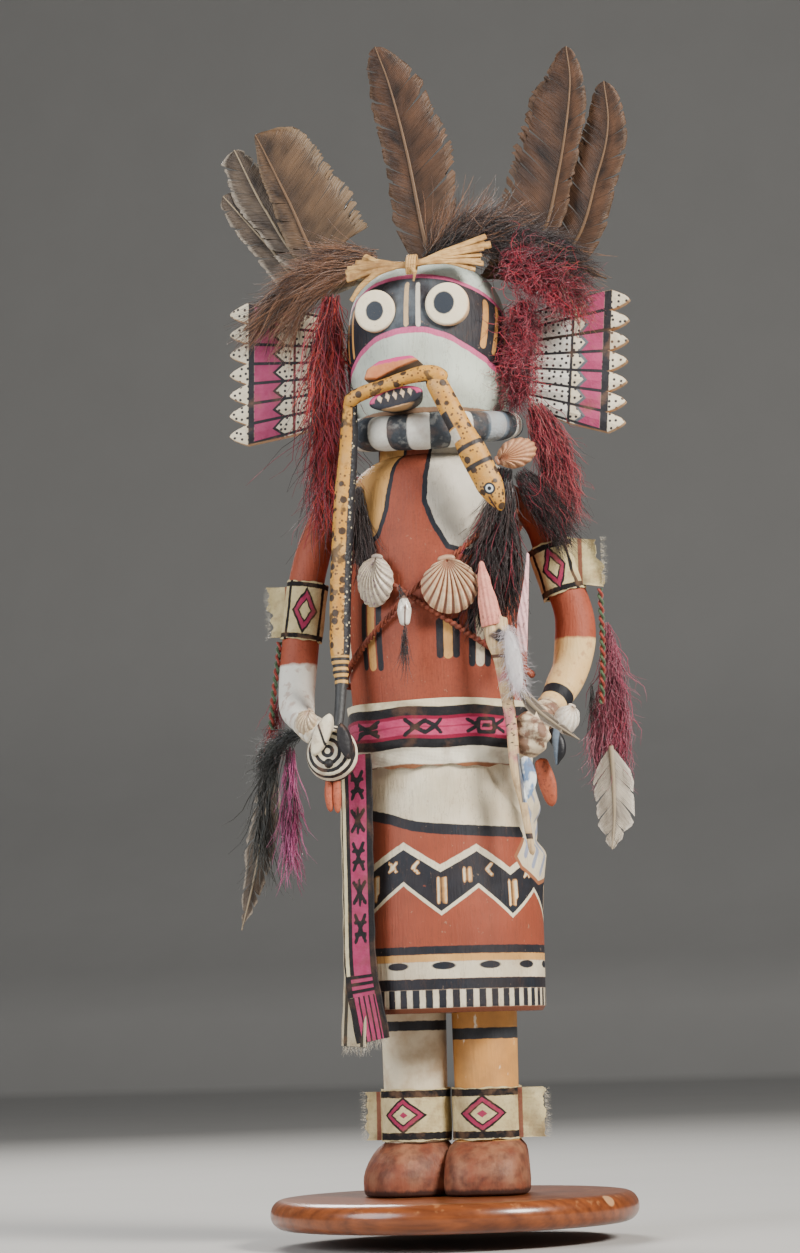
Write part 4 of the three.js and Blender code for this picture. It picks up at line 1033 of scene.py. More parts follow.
def moccasin(x, splay, power, turn):
    way = math.copysign(1, x)
    heights_ = [11.8, 12.4, 14, 17, 19.4, 22, 25, 28, 30.4, 32.6]
    wide = [15.4, 16.2, 16.6, 16.7, 16.6, 16.4, 16.1, 15.7, 15.0, 13.0]
    deep = [18.6, 20.6, 21.2, 21.3, 21.1, 20.6, 19.6, 17.8, 15.0, 12.8]
    push = [1, 1, 1, 1, 1, 0.9, 0.7, 0.45, 0.2, 0]
    back_step = [-4, -4, -4, -4, -4, -3.7, -3, -2, -1, 0]
    u = np.linspace(0, 1, 34)
    knots = np.linspace(0, 1, len(wide))
    z = np.interp(u, knots, heights_)
    side, over = turned(LEFT, UP, turn), turned(vec(0, 1, 0), UP, turn)
    rings = []
    for k, level in enumerate(u):
        w, d, grow, y = [np.interp(level, knots, row) for row in (wide, deep, push, back_step)]
        grow = splay * grow
        rings.append(oval(vec(x + way * grow, y, z[k]), side, over, w + grow, d, 64, power))
    return loft(rings)


def leg(x):
    z = np.linspace(21, 86, 40)
    rings = [oval(vec(x, 0, level), LEFT, vec(0, 1, 0), 12.2 + 0.012 * (level - 21),
                  12.6 + 0.015 * (level - 21), 64) for level in z]
    return loft(rings)


def paint_legs():
    sheet = Sheet("leg_paint")
    x, z = sheet.x, sheet.z
    ragged = sheet.wobble(2.4, 4, 1.0)
    left = x.cover(0.2)
    broad = sheet.noise(11, 4)
    white = sheet.mix(broad, hue(194, 176, 140), hue(230, 220, 194))
    ochre = sheet.mix(broad, hue(176, 118, 56), hue(214, 158, 88))
    sheet.color = sheet.mix(left, white, ochre)
    worn = sheet.blots(9, 5, 0.54, 0.2)
    sheet.lay(worn * 0.40, hue(150, 108, 66))
    chips = (sheet.noise(3.0, 4, place=sheet.stretched(1, 1, 0.35)) - 0.68).cover(0.03) * left
    sheet.lay(chips * 0.9, hue(232, 220, 196))
    black = sheet.mottled(3, 4, (20, 22, 26), (50, 52, 56))
    low = 76.0 - left * 4.0
    sheet.lay((z + ragged * 0.7).between(low, low + 3.8 + left * 0.6), black)
    shoe = (32.4 - z).cover()
    skin = sheet.mix(broad, hue(94, 47, 30), hue(138, 75, 50))
    scuff = sheet.blots(9, 5, 0.50, 0.22) * (z - 15).cover(5)
    skin = sheet.mix(scuff * 0.28, skin, hue(178, 138, 104))
    skin = sheet.mix(sheet.blots(5, 5, 0.54, 0.2) * 0.6, skin, hue(66, 34, 26))
    sheet.lay(shoe, skin)
    sheet.lay((14.2 - z + ragged * 2.4).cover(1.2) * 0.85, hue(40, 27, 24))
    streak = sheet.noise(1.0, 3, place=sheet.stretched(1, 1, 0.12))
    return sheet.finish(sheet.color, rough=0.6, bump=broad + streak * 0.6, bump_mm=0.4, specular=0.35)


LEG_PAINT = paint_legs()
build("legs_and_moccasins", together(moccasin(-LEG_X, 2.4, 1.6, -0.16), leg(-LEG_X),
                                     moccasin(LEG_X, 0, 3.0, 0.08), leg(LEG_X)), LEG_PAINT, "body_paint",
      ["carved_figure"], smooth=50)

# %% [markdown]
# ## Eyes and lips
# Two cream discs with black pupils, and a mouth of two carved lips with painted teeth. The discs are
# pieces of their own, so that they keep a sharp rim against the mask. The teeth are only paint, since
# they are too small to be worth carving.

# %% Eyes and lips


def eye_disc(x, z, wide, high, turn):
    side, front = turned(LEFT, UP, turn), turned(FRONT, UP, turn)
    w, d = body_at(z)
    seat = vec(x, -d * math.sqrt(1 - (x / w) ** 2), z)
    steps = [(-4, 0.94), (2.4, 1.0), (3.1, 0.995), (3.6, 0.975), (3.9, 0.94), (4.0, 0.88)]
    return loft([oval(seat + front * out, side, UP, wide * k, high * k, 56) for out, k in steps])


def paint_eye(name, x, z, pupil, aim):
    sheet = Sheet(name)
    across = (sheet.x - x) / pupil
    tall = (sheet.z - z) / (pupil * 1.12)
    ragged = sheet.wobble(1.2, 3, 0.10)
    ring = 1 - (across * across + tall * tall).maths("SQRT") + ragged
    white = sheet.mottled(4, 4, (226, 208, 170), (244, 234, 208))
    # Tan brown on the disc's side, from just behind its face back to the mask: painted shade on the side of
    # the disc.
    edge = (sheet.y - aim).cover(0.5)
    sheet.color = sheet.mix(ring.cover(0.12), white, hue(46, 52, 60))
    sheet.lay(edge * 0.7, hue(206, 160, 112))
    speck = sheet.blots(0.6, 2, 0.70, 0.05)
    sheet.lay(speck * 0.4, hue(120, 96, 72))
    return sheet.finish(sheet.color, rough=0.55, bump=sheet.noise(1.2, 4), bump_mm=0.15)


build("right_goggle_eye", eye_disc(-14.8, 361.6, 8.3, 8.6, -0.06),
      paint_eye("right_eye_paint", -14.9, 361.4, 3.6, -31.4), "eye_paint", ["right_eye"])
build("left_goggle_eye", eye_disc(14.2, 362.2, 8.8, 8.7, 0.10),
      paint_eye("left_eye_paint", 13.4, 362.6, 4.1, -31.4), "eye_paint", ["left_eye"])


def upper_lip():
    outline = [(-18.0, 331.8), (-16.6, 335.6), (-11.6, 338.6), (-4, 339.9), (1.8, 340.2), (4.4, 338.2),
               (-4, 335.2), (-13, 331.2)]
    rings = []
    for y, grow in [(-28.6, 1.0), (-41.4, 1.0), (-42.8, 0.97), (-43.5, 0.88)]:
        middle = np.mean(outline, axis=0)
        rings.append([vec(middle[0] + (x - middle[0]) * grow, y, middle[1] + (z - middle[1]) * grow)
                      for x, z in outline])
    return loft(rings)


def paint_upper_lip():
    sheet = Sheet("upper_lip_paint")
    top = sheet.z - sheet.x * 0.13 - 338.5 + sheet.wobble(1.6, 3, 1.2)
    orange = sheet.mottled(3, 4, (178, 98, 58), (216, 146, 98))
    sheet.color = sheet.mix(top.cover(0.6), orange, hue(196, 66, 118))
    sheet.lay((sheet.y + 41.5).cover(0.6), hue(120, 88, 66))
    return sheet.finish(sheet.color, rough=0.6, bump=sheet.noise(1.5, 4), bump_mm=0.3)


def lower_lip():
    tilt, rise = unit(vec(1, 0, 0.18)), unit(vec(-0.18, 0, 1))
    steps = [(-28, 0.70), (-32, 0.80), (-36, 0.88), (-40, 0.96), (-42.4, 1.0), (-43.4, 0.97), (-43.8, 0.90),
             (-43.6, 0.60)]
    return loft([oval(vec(-5, y, 323.4), tilt, rise, 11 * k, 4.2 * k, 56) for y, k in steps])


def paint_lower_lip():
    sheet = Sheet("lower_lip_paint")
    across = (sheet.x + 5) * 0.984 + (sheet.z - 323.4) * 0.18
    rise = (sheet.z - 323.4) * 0.984 - (sheet.x + 5) * 0.18
    ragged = sheet.wobble(1.1, 3, 0.8)
    ring = (across / 11 * (across / 11) + rise / 4.2 * (rise / 4.2)).maths("SQRT")
    teeth = ((across / 3.1 + ragged * 0.5).part() - 0.5).size() * 2
    tooth = (teeth - 0.40 - (rise - 1.2 + ragged).size() * 0.30).cover(0.25)
    mouth = sheet.mix(tooth, hue(44, 42, 46), sheet.mottled(2, 3, (196, 160, 132), (226, 206, 172)))
    sheet.color = sheet.mix((ring - 0.78 + ragged * 0.10).cover(0.05), mouth, hue(186, 66, 112))
    side = (-0.2 - rise * 1.0 + ragged).cover(0.7) * (ring - 0.60).cover(0.1)
    sheet.lay(side, hue(36, 38, 46))
    sheet.lay((sheet.y + 42.2).cover(0.4) * (rise + 3.2).cover(), hue(36, 38, 46))
    sheet.lay((-3.4 - rise + ragged * 0.6).cover(0.5), hue(190, 150, 104))
    return sheet.finish(sheet.color, rough=0.5, bump=sheet.noise(1.4, 4), bump_mm=0.25)


build("upper_lip_carving", upper_lip(), paint_upper_lip(), "lip_paint", ["upper_lip"], rounded=0.5)
build("lower_lip_carving", lower_lip(), paint_lower_lip(), "lip_paint", ["lower_lip"], smooth=60)

# %% [markdown]
# ## Arms
# Each arm is one limb from the shoulder round the elbow to the hand. The forearms are painted in a
# lighter colour than the body, and the left fist has worn paint. One loft along a bent path keeps the
# elbow smooth, where two joined cylinders would show a crease.

# %% Arms
ARM_FACING = unit(vec(0, -0.4, 1))
RIGHT_ARM = [(-28, -1, 296), (-42, -3, 287), (-51.5, -4, 262), (-55, -5, 236), (-57, -7, 213),
             (-54, -17, 203), (-46, -32, 196), (-38, -41, 191)]
LEFT_ARM = [(30, 1, 289), (43, 1, 278), (50, 1, 258), (56, 1, 238), (55, -2, 220), (51, -9, 208),
            (47, -18, 199), (41.5, -28, 191)]


def round_end(start, end):
    """Draws the rings in at the ends of a limb, so that it closes like a fingertip."""
    def shape(ring, middle, u):
        near = min(u / start if start else 1.0, (1 - u) / end if end else 1.0, 1.0)
        return middle + (ring - middle) * math.sqrt(max(1 - (1 - near) ** 2, 0.004))
    return shape


def fingers(ring, middle, u):
    """The fist: four knuckles ridge across the last part of the arm."""
    ring = round_end(0, 0.05)(ring, middle, u)
    if u > 0.86:
        ridge = 0.05 * math.cos((u - 0.86) / 0.14 * 8 * math.pi)
        ring = middle + (ring - middle) * (1 + ridge)
    return ring


def run_field(steps, sides):
    return np.repeat(np.linspace(0, 1, steps), sides)


def paint_arm(name, fist_colors, change, low_color, cuff):
    sheet = Sheet(name)
    run = sheet.field("run")
    ragged = sheet.wobble(2.4, 4, 0.9)
    broad = sheet.noise(12, 4)
    sheet.color = sheet.mix(broad, hue(136, 64, 45), hue(162, 82, 58))
    sheet.lay(sheet.blots(1.3, 4, 0.60, 0.12) * 0.35, hue(104, 46, 32))
    forearm = (change - sheet.z + ragged * 1.6).cover(1.2)
    low = sheet.mix(sheet.noise(10, 4), *low_color)
    sheet.lay(forearm, low)
    worn = sheet.blots(4, 5, 0.60, 0.10) * forearm
    sheet.lay(worn * 0.45, hue(150, 92, 62))
    hand = (run - 0.87).cover(0.02)
    blotch = sheet.noise(5, 4)
    fist = sheet.mix((blotch - 0.5).cover(0.12), *fist_colors)
    sheet.lay(hand * 0.8, fist)
    crack = ((run - 0.86) / 0.035).part()
    sheet.lay(((0.14 - (crack - 0.5).size()) * 6).clamp() * hand * 0.7, hue(70, 48, 38))
    if cuff:
        sheet.lay((0.022 - (run - cuff + ragged * 0.003).size()).cover(0.003), hue(24, 25, 30))
    streak = sheet.noise(1.0, 3, place=sheet.stretched(1, 1, 0.15))
    return sheet.finish(sheet.color, rough=0.62, bump=streak * 0.7 + broad, bump_mm=0.35, specular=0.3)


def build_arms():
    right = limb(RIGHT_ARM, [5.2, 6.4, 7.3, 7.3, 7.6, 7.2, 5.2, 6.0],
                 [5.4, 6.4, 7.0, 7.2, 7.4, 7.0, 5.0, 5.6], steps=110, sides=48, facing=ARM_FACING,
                 shape=fingers)
    build("right_arm_carving", right,
          paint_arm("right_arm_paint", (hue(222, 214, 196), hue(196, 178, 150)), 223.6,
                    (hue(206, 204, 192), hue(232, 228, 216)), 0), "body_paint", ["right_arm"], smooth=60,
          fields={"run": run_field(110, 48)})
    left = limb(LEFT_ARM, [5.4, 6.6, 7.4, 7.6, 8.2, 7.2, 5.6, 6.2], [5.4, 6.6, 7.2, 7.4, 7.8, 7.0, 5.6, 6.2],
                steps=110, sides=48, facing=ARM_FACING, shape=fingers)
    fist = limb([(43, -30, 198), (42, -32, 189), (40, -32, 180)], [5.4, 8.0, 5.4], [4.4, 6.2, 4.4],
                steps=40, sides=40, shape=lambda ring, middle, u: round_end(0.2, 0.2)(
                    middle + (ring - middle) * (1 + 0.055 * math.cos(u * 8 * math.pi)), middle, u))
    run = np.concatenate([run_field(110, 48), 0.875 + 0.12 * run_field(40, 40)])
    build("left_arm_carving", together(left, fist),
          paint_arm("left_arm_paint", (hue(222, 206, 178), hue(96, 62, 66)), 229.0,
                    (hue(208, 158, 92), hue(232, 204, 150)), 0.812), "body_paint", ["left_arm"], smooth=60,
          fields={"run": run})


build_arms()

# %% [markdown]
# ## The snake
# One carved snake hangs from the right hand, passes across the mouth and ends in a head on the left of
# the chest. It is yellow with dark spots, and its tail has a speckled black edge. It is made of four
# limbs whose ends sit inside each other, because each run has its own thickness and its own kind of
# end.

# %% Snake
SNAKE_PARTS = {"rod": ([(-33.5, -42.5, 188), (-32.6, -37.5, 200), (-32.2, -33.5, 214)], [1.9, 2.1, 2.3],
                       [1.8, 2.0, 2.2]), "tail": ([(-32.2, -33.6, 211), (-32.6, -32.8, 226),
                                                   (-31.6, -32.6, 254), (-29.4, -33.2, 282),
                                                   (-26.6, -35, 304), (-24.2, -39.4, 323),
                                                   (-22.6, -41.2, 327)],
                                                  [2.6, 4.2, 4.3, 4.2, 4.2, 3.6, 2.6],
                                                  [2.6, 3.2, 3.2, 3.2, 3.2, 3.0, 2.4]),
               "mouth": ([(-26.0, -40.2, 322.4), (-20.4, -42, 325.6), (-10, -44.4, 328.2),
                          (3, -44.8, 331.4), (10.4, -43.4, 331.8), (14.8, -42.2, 328.0)],
                         [2.8, 2.9, 2.5, 2.7, 3.3, 4.0], [2.6, 2.6, 2.5, 2.7, 3.1, 3.3]),
               "head": ([(9.4, -42.6, 332.6), (16, -42.6, 319), (24.6, -42.8, 301), (31.4, -41.4, 286),
                         (35.4, -39.4, 276.4)], [4.2, 4.4, 4.6, 5.6, 5.4, 2.6],
                        [3.2, 3.6, 4.0, 4.4, 4.0, 2.2]),}


def snake_shape(part):
    def shape(ring, middle, u):
        ends = {"rod": (0.05, 0), "tail": (0, 0.03), "mouth": (0.08, 0.08), "head": (0.08, 0.10)}[part]
        ring = round_end(*ends)(ring, middle, u)
        if part == "tail":
            beads = np.clip(1 - abs(u - 0.055) / 0.05, 0, 1)
            ring = middle + (ring - middle) * (1 + 0.14 * beads * math.sin(u * 160))
        return ring
    return shape


def snake_body():
    bodies, fields = [], {"part": [], "run": [], "across": []}
    for index, (part, (path, widths, depths)) in enumerate(SNAKE_PARTS.items()):
        steps, sides = 90, 32
        bodies.append(limb(path, widths, depths, steps=steps, sides=sides, shape=snake_shape(part)))
        fields["part"].append(np.full(steps * sides, float(index)))
        fields["run"].append(np.repeat(np.linspace(0, length_of(spline(path, steps)), steps), sides))
        fields["across"].append(np.tile(np.cos(2 * np.pi * (np.arange(sides) + 0.5) / sides), steps))
    return together(*bodies), {name: np.concatenate(values) for name, values in fields.items()}


def paint_snake():
    sheet = Sheet("snake_paint")
    part, run, across = sheet.field("part"), sheet.field("run"), sheet.field("across")
    rod = (0.5 - part).cover(0.2)
    tail = (0.5 - (part - 1).size()).cover(0.2)
    head = (part - 2.5).cover(0.2)
    ragged = sheet.wobble(1.4, 3, 0.8)
    yellow = sheet.mottled(5, 5, (168, 106, 34), (222, 168, 74))
    grey = sheet.blots(9, 3, 0.60, 0.2) * 0.35
    sheet.color = sheet.mix(grey, yellow, hue(178, 156, 118))
    spot = sheet.spots(4.6, randomness=0.8) + ragged * 0.10
    sheet.lay((0.33 - spot).cover(0.06) * 0.95, hue(46, 34, 28))
    blot = sheet.blots(8, 3, 0.60, 0.04) * (1 - head)
    sheet.lay(blot * 0.8, hue(52, 40, 32))
    small = sheet.spots(1.8, randomness=1.0)
    sheet.lay((0.27 - small).cover(0.06) * 0.85, hue(72, 50, 34))
    edge = (across - 0.50 + ragged * 0.12).cover(0.08) * tail
    speckle = sheet.spots(2.0, randomness=1.0)
    belly = sheet.mix((0.24 - speckle).cover(0.08) * 0.8, hue(30, 30, 34), hue(196, 184, 152))
    sheet.lay(edge, belly)
    knobs = (12.5 - run).cover(0.6) * tail
    turns = (run / 2.6).part()
    sheet.lay(knobs, sheet.mix((turns - 0.5).cover(0.15), hue(40, 36, 34), hue(196, 152, 82)))
    sheet.lay(rod, sheet.mottled(2, 3, (24, 26, 29), (66, 67, 66)))
    bands = ((run - 34.0).size() - 0.9).least((run - 42.0).size() - 0.9)
    sheet.lay((-bands + ragged * 0.3).cover(0.4) * head, hue(46, 40, 38))
    sheet.lay(run.between(25.4, 30.4) * (across - 0.30).cover(0.1) * head, hue(206, 196, 176))
    sheet.lay(run.between(17.6, 24.8) * (across - 0.34 + ragged * 0.1).cover(0.1) * head, hue(40, 36, 36))
    lip = (0.35 - ((sheet.x - 33.0) * 0.89 + (sheet.z - 279) * 0.45 + 0.6 + ragged * 0.3).size()).cover(0.3)
    sheet.lay(lip * (run - 55).cover(1) * head, hue(60, 40, 36))
    away = sheet.away_from(sheet.vector(sheet.x, sheet.z), (31.6, 284.6, 0.0))
    seen = head * (-40.0 - sheet.y).cover(0.4)
    for radius, paint in ((2.3, hue(36, 40, 46)), (1.5, hue(206, 214, 214)), (0.8, hue(28, 30, 36))):
        sheet.lay((radius - away).cover(0.3) * seen, paint)
    return sheet.finish(sheet.color, rough=0.52, bump=sheet.noise(1.6, 4), bump_mm=0.35, specular=0.4)


snake_mesh, snake_fields = snake_body()
build("carved_snake", snake_mesh, paint_snake(), "snake_paint", ["snake"], smooth=60, fields=snake_fields)

# %% [markdown]
# ## The neck ruff
# A thick roll round the neck in black and white bands. It is a closed loft, and its bands follow the
# angle round the neck, so they stay even where the roll swells.

# %% Ruff
RUFF_STEPS = 208


def ruff_body():
    rings, angles = [], []
    for i in range(RUFF_STEPS):
        angle = 2 * math.pi * i / RUFF_STEPS
        out = vec(math.cos(angle), math.sin(angle), 0)
        bearing = math.degrees(math.atan2(out[0], -out[1]))
        band = abs(((bearing + 17.6) / (360 / 26)) % 1 - 0.5) * 2
        swell = 1 - 0.045 * band**6 + 0.02 * math.sin(5.3 * angle)
        place = vec(30.2 * out[0], 28.8 * out[1], 317.5 + 0.19 * 28.8 * out[1])
        rings.append(oval(place, out, UP, 7.4 * swell, (5.6 + 1.6 * max(-out[1], 0)) * swell, 32, 2.4))
        angles += [bearing] * 32
    return loft(rings, looped=True), np.array(angles)


def paint_ruff():
    sheet = Sheet("ruff_paint")
    ragged = sheet.wobble(2.0, 3, 0.06)
    turn = ((sheet.field("bearing") + 17.6) / (360 / 13) + ragged * 0.4).part()
    black = (0.5 - turn).cover(0.035) * (turn - 0.012).cover(0.02)
    chalk = sheet.mottled(7, 4, (196, 192, 178), (232, 230, 220))
    ink = sheet.mottled(3, 4, (20, 23, 28), (70, 76, 82))
    sheet.color = sheet.mix(black, chalk, ink)
    rub = sheet.blots(4, 5, 0.60, 0.12) * 0.6
    sheet.lay(rub * black, hue(132, 134, 130))
    # A cool blue-grey laid over the bands on the doll's left side, about 59 degrees round from the front:
    # painted light on that side of the roll.
    side = (9 - (sheet.field("bearing") - 59).size()).cover(3)
    sheet.lay(side * 0.7, hue(108, 124, 138))
    sheet.lay(sheet.blots(9, 4, 0.60, 0.2) * 0.35, hue(140, 104, 78))
    return sheet.finish(sheet.color, rough=0.7, bump=sheet.noise(1.3, 4), bump_mm=0.4)


ruff_mesh, ruff_bearing = ruff_body()
build("banded_ruff", ruff_mesh, paint_ruff(), "ruff_paint", ["neck_ruff"], smooth=70,
      fields={"bearing": ruff_bearing})

# %% [markdown]
# ## Ear fans
# Each fan is a flat board of seven painted feathers. Its paint follows the rows of feathers and the
# distance in from their tips. The shader works both out from the same numbers as the outline, so that
# paint and edge fit each other.

# %% Ear fans
RIGHT_FAN = dict(side=-1, inner=36, outer=77, inner_low=325, inner_high=366, outer_low=316.6, outer_high=376,
                 point=7.4, drift=-1.6)
LEFT_FAN = dict(side=1, inner=41, outer=72.4, inner_low=324, inner_high=362, outer_low=311.8, outer_high=370,
                point=7.2, drift=4.4)


def fan_outline(side, inner, outer, inner_low, inner_high, outer_low, outer_high, point, drift):
    halfway = (inner + outer) / 2
    edge = [(inner, inner_low), (inner, 348), (31, 348), (31, 354), (inner, 354), (inner, inner_high),
            (halfway, (inner_high + outer_high) / 2 + 1.6)]
    for i in reversed(range(7)):
        low = outer_low + (outer_high - outer_low) * i / 7
        high = outer_low + (outer_high - outer_low) * (i + 1) / 7
        valley, width = outer + drift * i / 7, high - low
        edge += [(valley, high), (valley + point * 0.40, high - 0.15 * width),
                 (valley + point * 0.78, high - 0.32 * width), (valley + point, high - 0.50 * width),
                 (valley + point * 0.98, low + 0.42 * width), (valley + point * 0.74, low + 0.27 * width),
                 (valley + point * 0.34, low + 0.11 * width)]
    edge += [(outer, outer_low), (halfway, (inner_low + outer_low) / 2 - 1.2)]
    return [(side * x, z) for x, z in edge]


def board(outline, thickness, y):
    """A flat board cut to an outline in x and z."""
    rings = [[vec(x, y + out, z) for x, z in outline] for out in (thickness / 2, -thickness / 2)]
    return loft(rings)


def paint_fan(name, fan, plan):
    sheet = Sheet(name)
    a, z = sheet.x * fan["side"], sheet.z
    t = (a - fan["inner"]) / (fan["outer"] - fan["inner"])
    low = t * (fan["outer_low"] - fan["inner_low"]) + fan["inner_low"]
    high = t * (fan["outer_high"] - fan["inner_high"]) + fan["inner_high"]
    ragged = sheet.wobble(2.2, 3, 0.8)
    row = (z - low) / ((high - low) / 7)
    middle = (row.part() - 0.5).size() * 2
    inward = row * (fan["drift"] / 7) + fan["outer"] - a + ragged * 0.5
    cream = sheet.mottled(8, 4, (206, 192, 160), (230, 222, 200))
    if plan["inner_white"]:
        cream = sheet.mix((inward - plan["line"]).cover() * 0.7, cream, hue(226, 228, 224))
    dots = (0.21 - sheet.spots(2.7, sheet.vector(a, z), 0.45, "2D")).cover(0.05)
    sheet.color = sheet.mix(dots, cream, hue(52, 50, 52))
    bar_low, bar_high, pink_end = plan["bar"], plan["bar"] + plan["bar_wide"], plan["pink_end"]
    notch = pink_end + middle * plan["notch"] - plan["notch"] / 2
    pink = inward.between(bar_high, 90).least((notch - inward).cover())
    dye = sheet.mottled(4, 4, (136, 38, 76), (184, 82, 118))
    sheet.lay(pink, dye)
    ink = sheet.mottled(5, 3, (24, 24, 28), (50, 48, 52))
    sheet.lay((0.75 - (inward - notch).size()).cover(), sheet.mix(plan["soft"], ink, hue(110, 116, 122)))
    sheet.lay(inward.between(bar_low, bar_high), ink)
    sheet.lay((0.55 - (inward - plan["line"]).size()).cover(),
              sheet.mix(plan["warm"], ink, hue(120, 56, 52)))
    rows_line = (middle - 1 + 0.16).cover(0.06) * (inward - plan["bar"]).cover()
    sheet.lay(rows_line, ink)
    side_face = (sheet.y - 1.2).size() - 1.9
    crack = (0.35 - (row - 5.02 + ragged * 0.1).size() * 5).cover(0.3) * plan["crack"]
    sheet.lay(crack, hue(60, 44, 34))
    edges = (sheet.y + 0.7).cover(0.3) * (3.2 - sheet.y).cover(0.3) * 0.85
    sheet.lay(edges * (0.4 - side_face).cover(0.3), hue(184, 142, 100))
    sheet.lay(sheet.blots(10, 4, 0.62, 0.15) * 0.35, hue(150, 110, 78))
    groove = (0.90 - middle).clamp()
    return sheet.finish(sheet.color, rough=0.7, bump=groove * 2 + sheet.noise(1.4, 4), bump_mm=0.3)


build("right_fan_board", board(fan_outline(**RIGHT_FAN), 4.2, 1.2),
      paint_fan("right_fan_paint", RIGHT_FAN, dict(bar=0.6, bar_wide=2.5, pink_end=13.8, notch=4.4,
                                                   line=20.2, soft=0.0, warm=0.7, crack=0.0,
                                                   inner_white=False)), "fan_paint", ["right_ear_fan"],
      smooth=30, rounded=0.5)
build("left_fan_board", board(fan_outline(**LEFT_FAN), 4.2, 1.2),
      paint_fan("left_fan_paint", LEFT_FAN, dict(bar=0.2, bar_wide=3.0, pink_end=11.4, notch=3.4, line=15.8,
                                                 soft=0.7, warm=0.0, crack=1.0, inner_white=True)),
      "fan_paint", ["left_ear_fan"], smooth=30, rounded=0.5)

# %% [markdown]
# ## Feathers
# A vane is made of clumps of barbs that lean towards the tip. Each clump is a thin sheet of its own, so
# splits open between clumps as they do in an old feather. The shaft runs over them. Single barbs would
# need far more triangles and look the same from an arm's length.

# %% Feather shapes
SHAFT_STEPS = 70
SHAFT_SIDES = 10


def vane(line, side, over, forward, width, way, draw, slant=0.75, pinch=0.16, rag=0.03, curl=0.20):
    """The clumps of one vane, with how far along the shaft and across the vane each point is."""
    total = length_of(line)
    reach = np.linspace(0, total, len(line))

    def at_run(values, run):
        return np.stack([np.interp(run, reach, values[:, k]) for k in range(3)], axis=-1)

    bodies, barbs, spans, start = [], [], [], 0.0
    while start < total - 0.6:
        size = draw.uniform(3.0, 13.0)
        stop = min(start + size, total)
        rows = max(int((stop - start) / 0.85), 3)
        b = np.linspace(start, stop - 0.06, rows)
        centre = (start + stop) / 2
        squeeze = pinch * draw.random() * min((stop - start) / 6, 1.6)
        edge = 1 - rag * draw.random(rows) - 0.5 * rag * draw.random()
        lift = draw.normal(0, 0.25)
        rings = []
        for v in np.linspace(0, 1, 9):
            run = b.copy()
            for _ in range(5):
                run = np.minimum(b + slant * v * width(run), total - 0.02)
            across = v * width(run) * np.where(v > 0.8, edge, 1.0)
            shift = (centre - b) * squeeze * v**2
            spot = at_run(line, run) + at_run(side, run) * (way * across)[:, None]
            spot = spot + at_run(forward, run) * shift[:, None]
            back = curl * across * v + lift * v - 0.1
            thick = 0.22 * (1 - 0.6 * v)
            front = spot - at_run(over, run) * (back - thick)[:, None]
            rear = spot - at_run(over, run) * (back + thick)[:, None]
            rings.append(np.vstack([front, rear[::-1]]))
            barbs += [b, b[::-1]]
            spans.append(np.full(2 * rows, way * v))
        bodies.append(loft(rings))
        start = stop
    return bodies, np.concatenate(barbs), np.concatenate(spans)


def tip_width(values, total, tip):
    """Vane width at a distance along the shaft, with a rounded tip."""
    def width(run):
        plain = along(values, run / total)
        near = np.clip((run - (total - tip)) / tip, 0, 1)
        return np.maximum(plain * np.sqrt(np.maximum(1 - near**2, 0)), 0.05)
    return width


def feather(name, shaft, lefts, rights, material, slot, stands_for, seed, tip=9.0, **look):
    draw = np.random.default_rng(seed)
    line = spline(shaft, 140)
    total = length_of(line)
    forward, side, over = frames(line, FRONT)
    bodies, barbs, spans = [], [], []
    for way, values in ((-1, lefts), (1, rights)):
        made, b, v = vane(line, side, over, forward, tip_width(values, total, tip), way, draw, **look)
        bodies += made
        barbs.append(b)
        spans.append(v)
    u = np.linspace(0, 1, SHAFT_STEPS)
    path = spline(shaft, SHAFT_STEPS)
    radius = 1.15 * (1 - 0.8 * u) + 0.12
    side2, over2 = frames(path, FRONT)[1:]
    rings = [oval(path[i] + over2[i] * 0.25, side2[i], over2[i], radius[i] * 0.8, radius[i] * 0.62,
                  SHAFT_SIDES) for i in range(SHAFT_STEPS)]
    bodies.append(loft(rings))
    shaft_points = SHAFT_STEPS * SHAFT_SIDES
    barbs.append(np.zeros(shaft_points))
    spans.append(np.zeros(shaft_points))
    shaft_field = np.concatenate([np.zeros(sum(len(p) for p, _ in bodies[:-1])), np.ones(shaft_points)])
    build(name, together(*bodies), material, slot, stands_for, smooth=60,
          fields={"barb": np.concatenate(barbs), "span": np.concatenate(spans), "shaft": shaft_field})


def paint_feather(name, dark, light, edge, edge_amount=0.5, pale_base=0.3, shaft=(112, 84, 58)):
    sheet = Sheet(name)
    barb, span = sheet.field("barb"), sheet.field("span")
    lane = sheet.vector(barb * 1.5, span * 2.2, sheet.x * 0.02)
    streak = sheet.noise(1, 3, 0.5, lane)
    broad = sheet.noise(1, 3, 0.5, sheet.vector(barb * 0.09, span * 1.4))
    sheet.color = sheet.mix(((broad - 0.5) * 2.2 + 0.5 + (streak - 0.5) * 0.6).clamp(), hue(*dark),
                            hue(*light))
    rim = (span.size() - 0.80 + (streak - 0.5) * 0.4).cover(0.25) * edge_amount
    sheet.lay(rim, hue(*edge))
    sheet.lay((28 - barb).cover(26) * pale_base, hue(*edge))
    inner = (0.16 - span.size()).cover(0.2) * 0.45
    sheet.lay(inner, hue(*dark))
    bone = sheet.mix(sheet.noise(7, 3), hue(*[c * 0.75 for c in shaft]), hue(*shaft))
    sheet.lay((sheet.field("shaft") - 0.5).cover(0.2), bone)
    line = ((barb * 1.25).part() - 0.5).size()
    return sheet.finish(sheet.color, rough=0.5, bump=line * 0.7 + streak, bump_mm=0.28, specular=0.3)


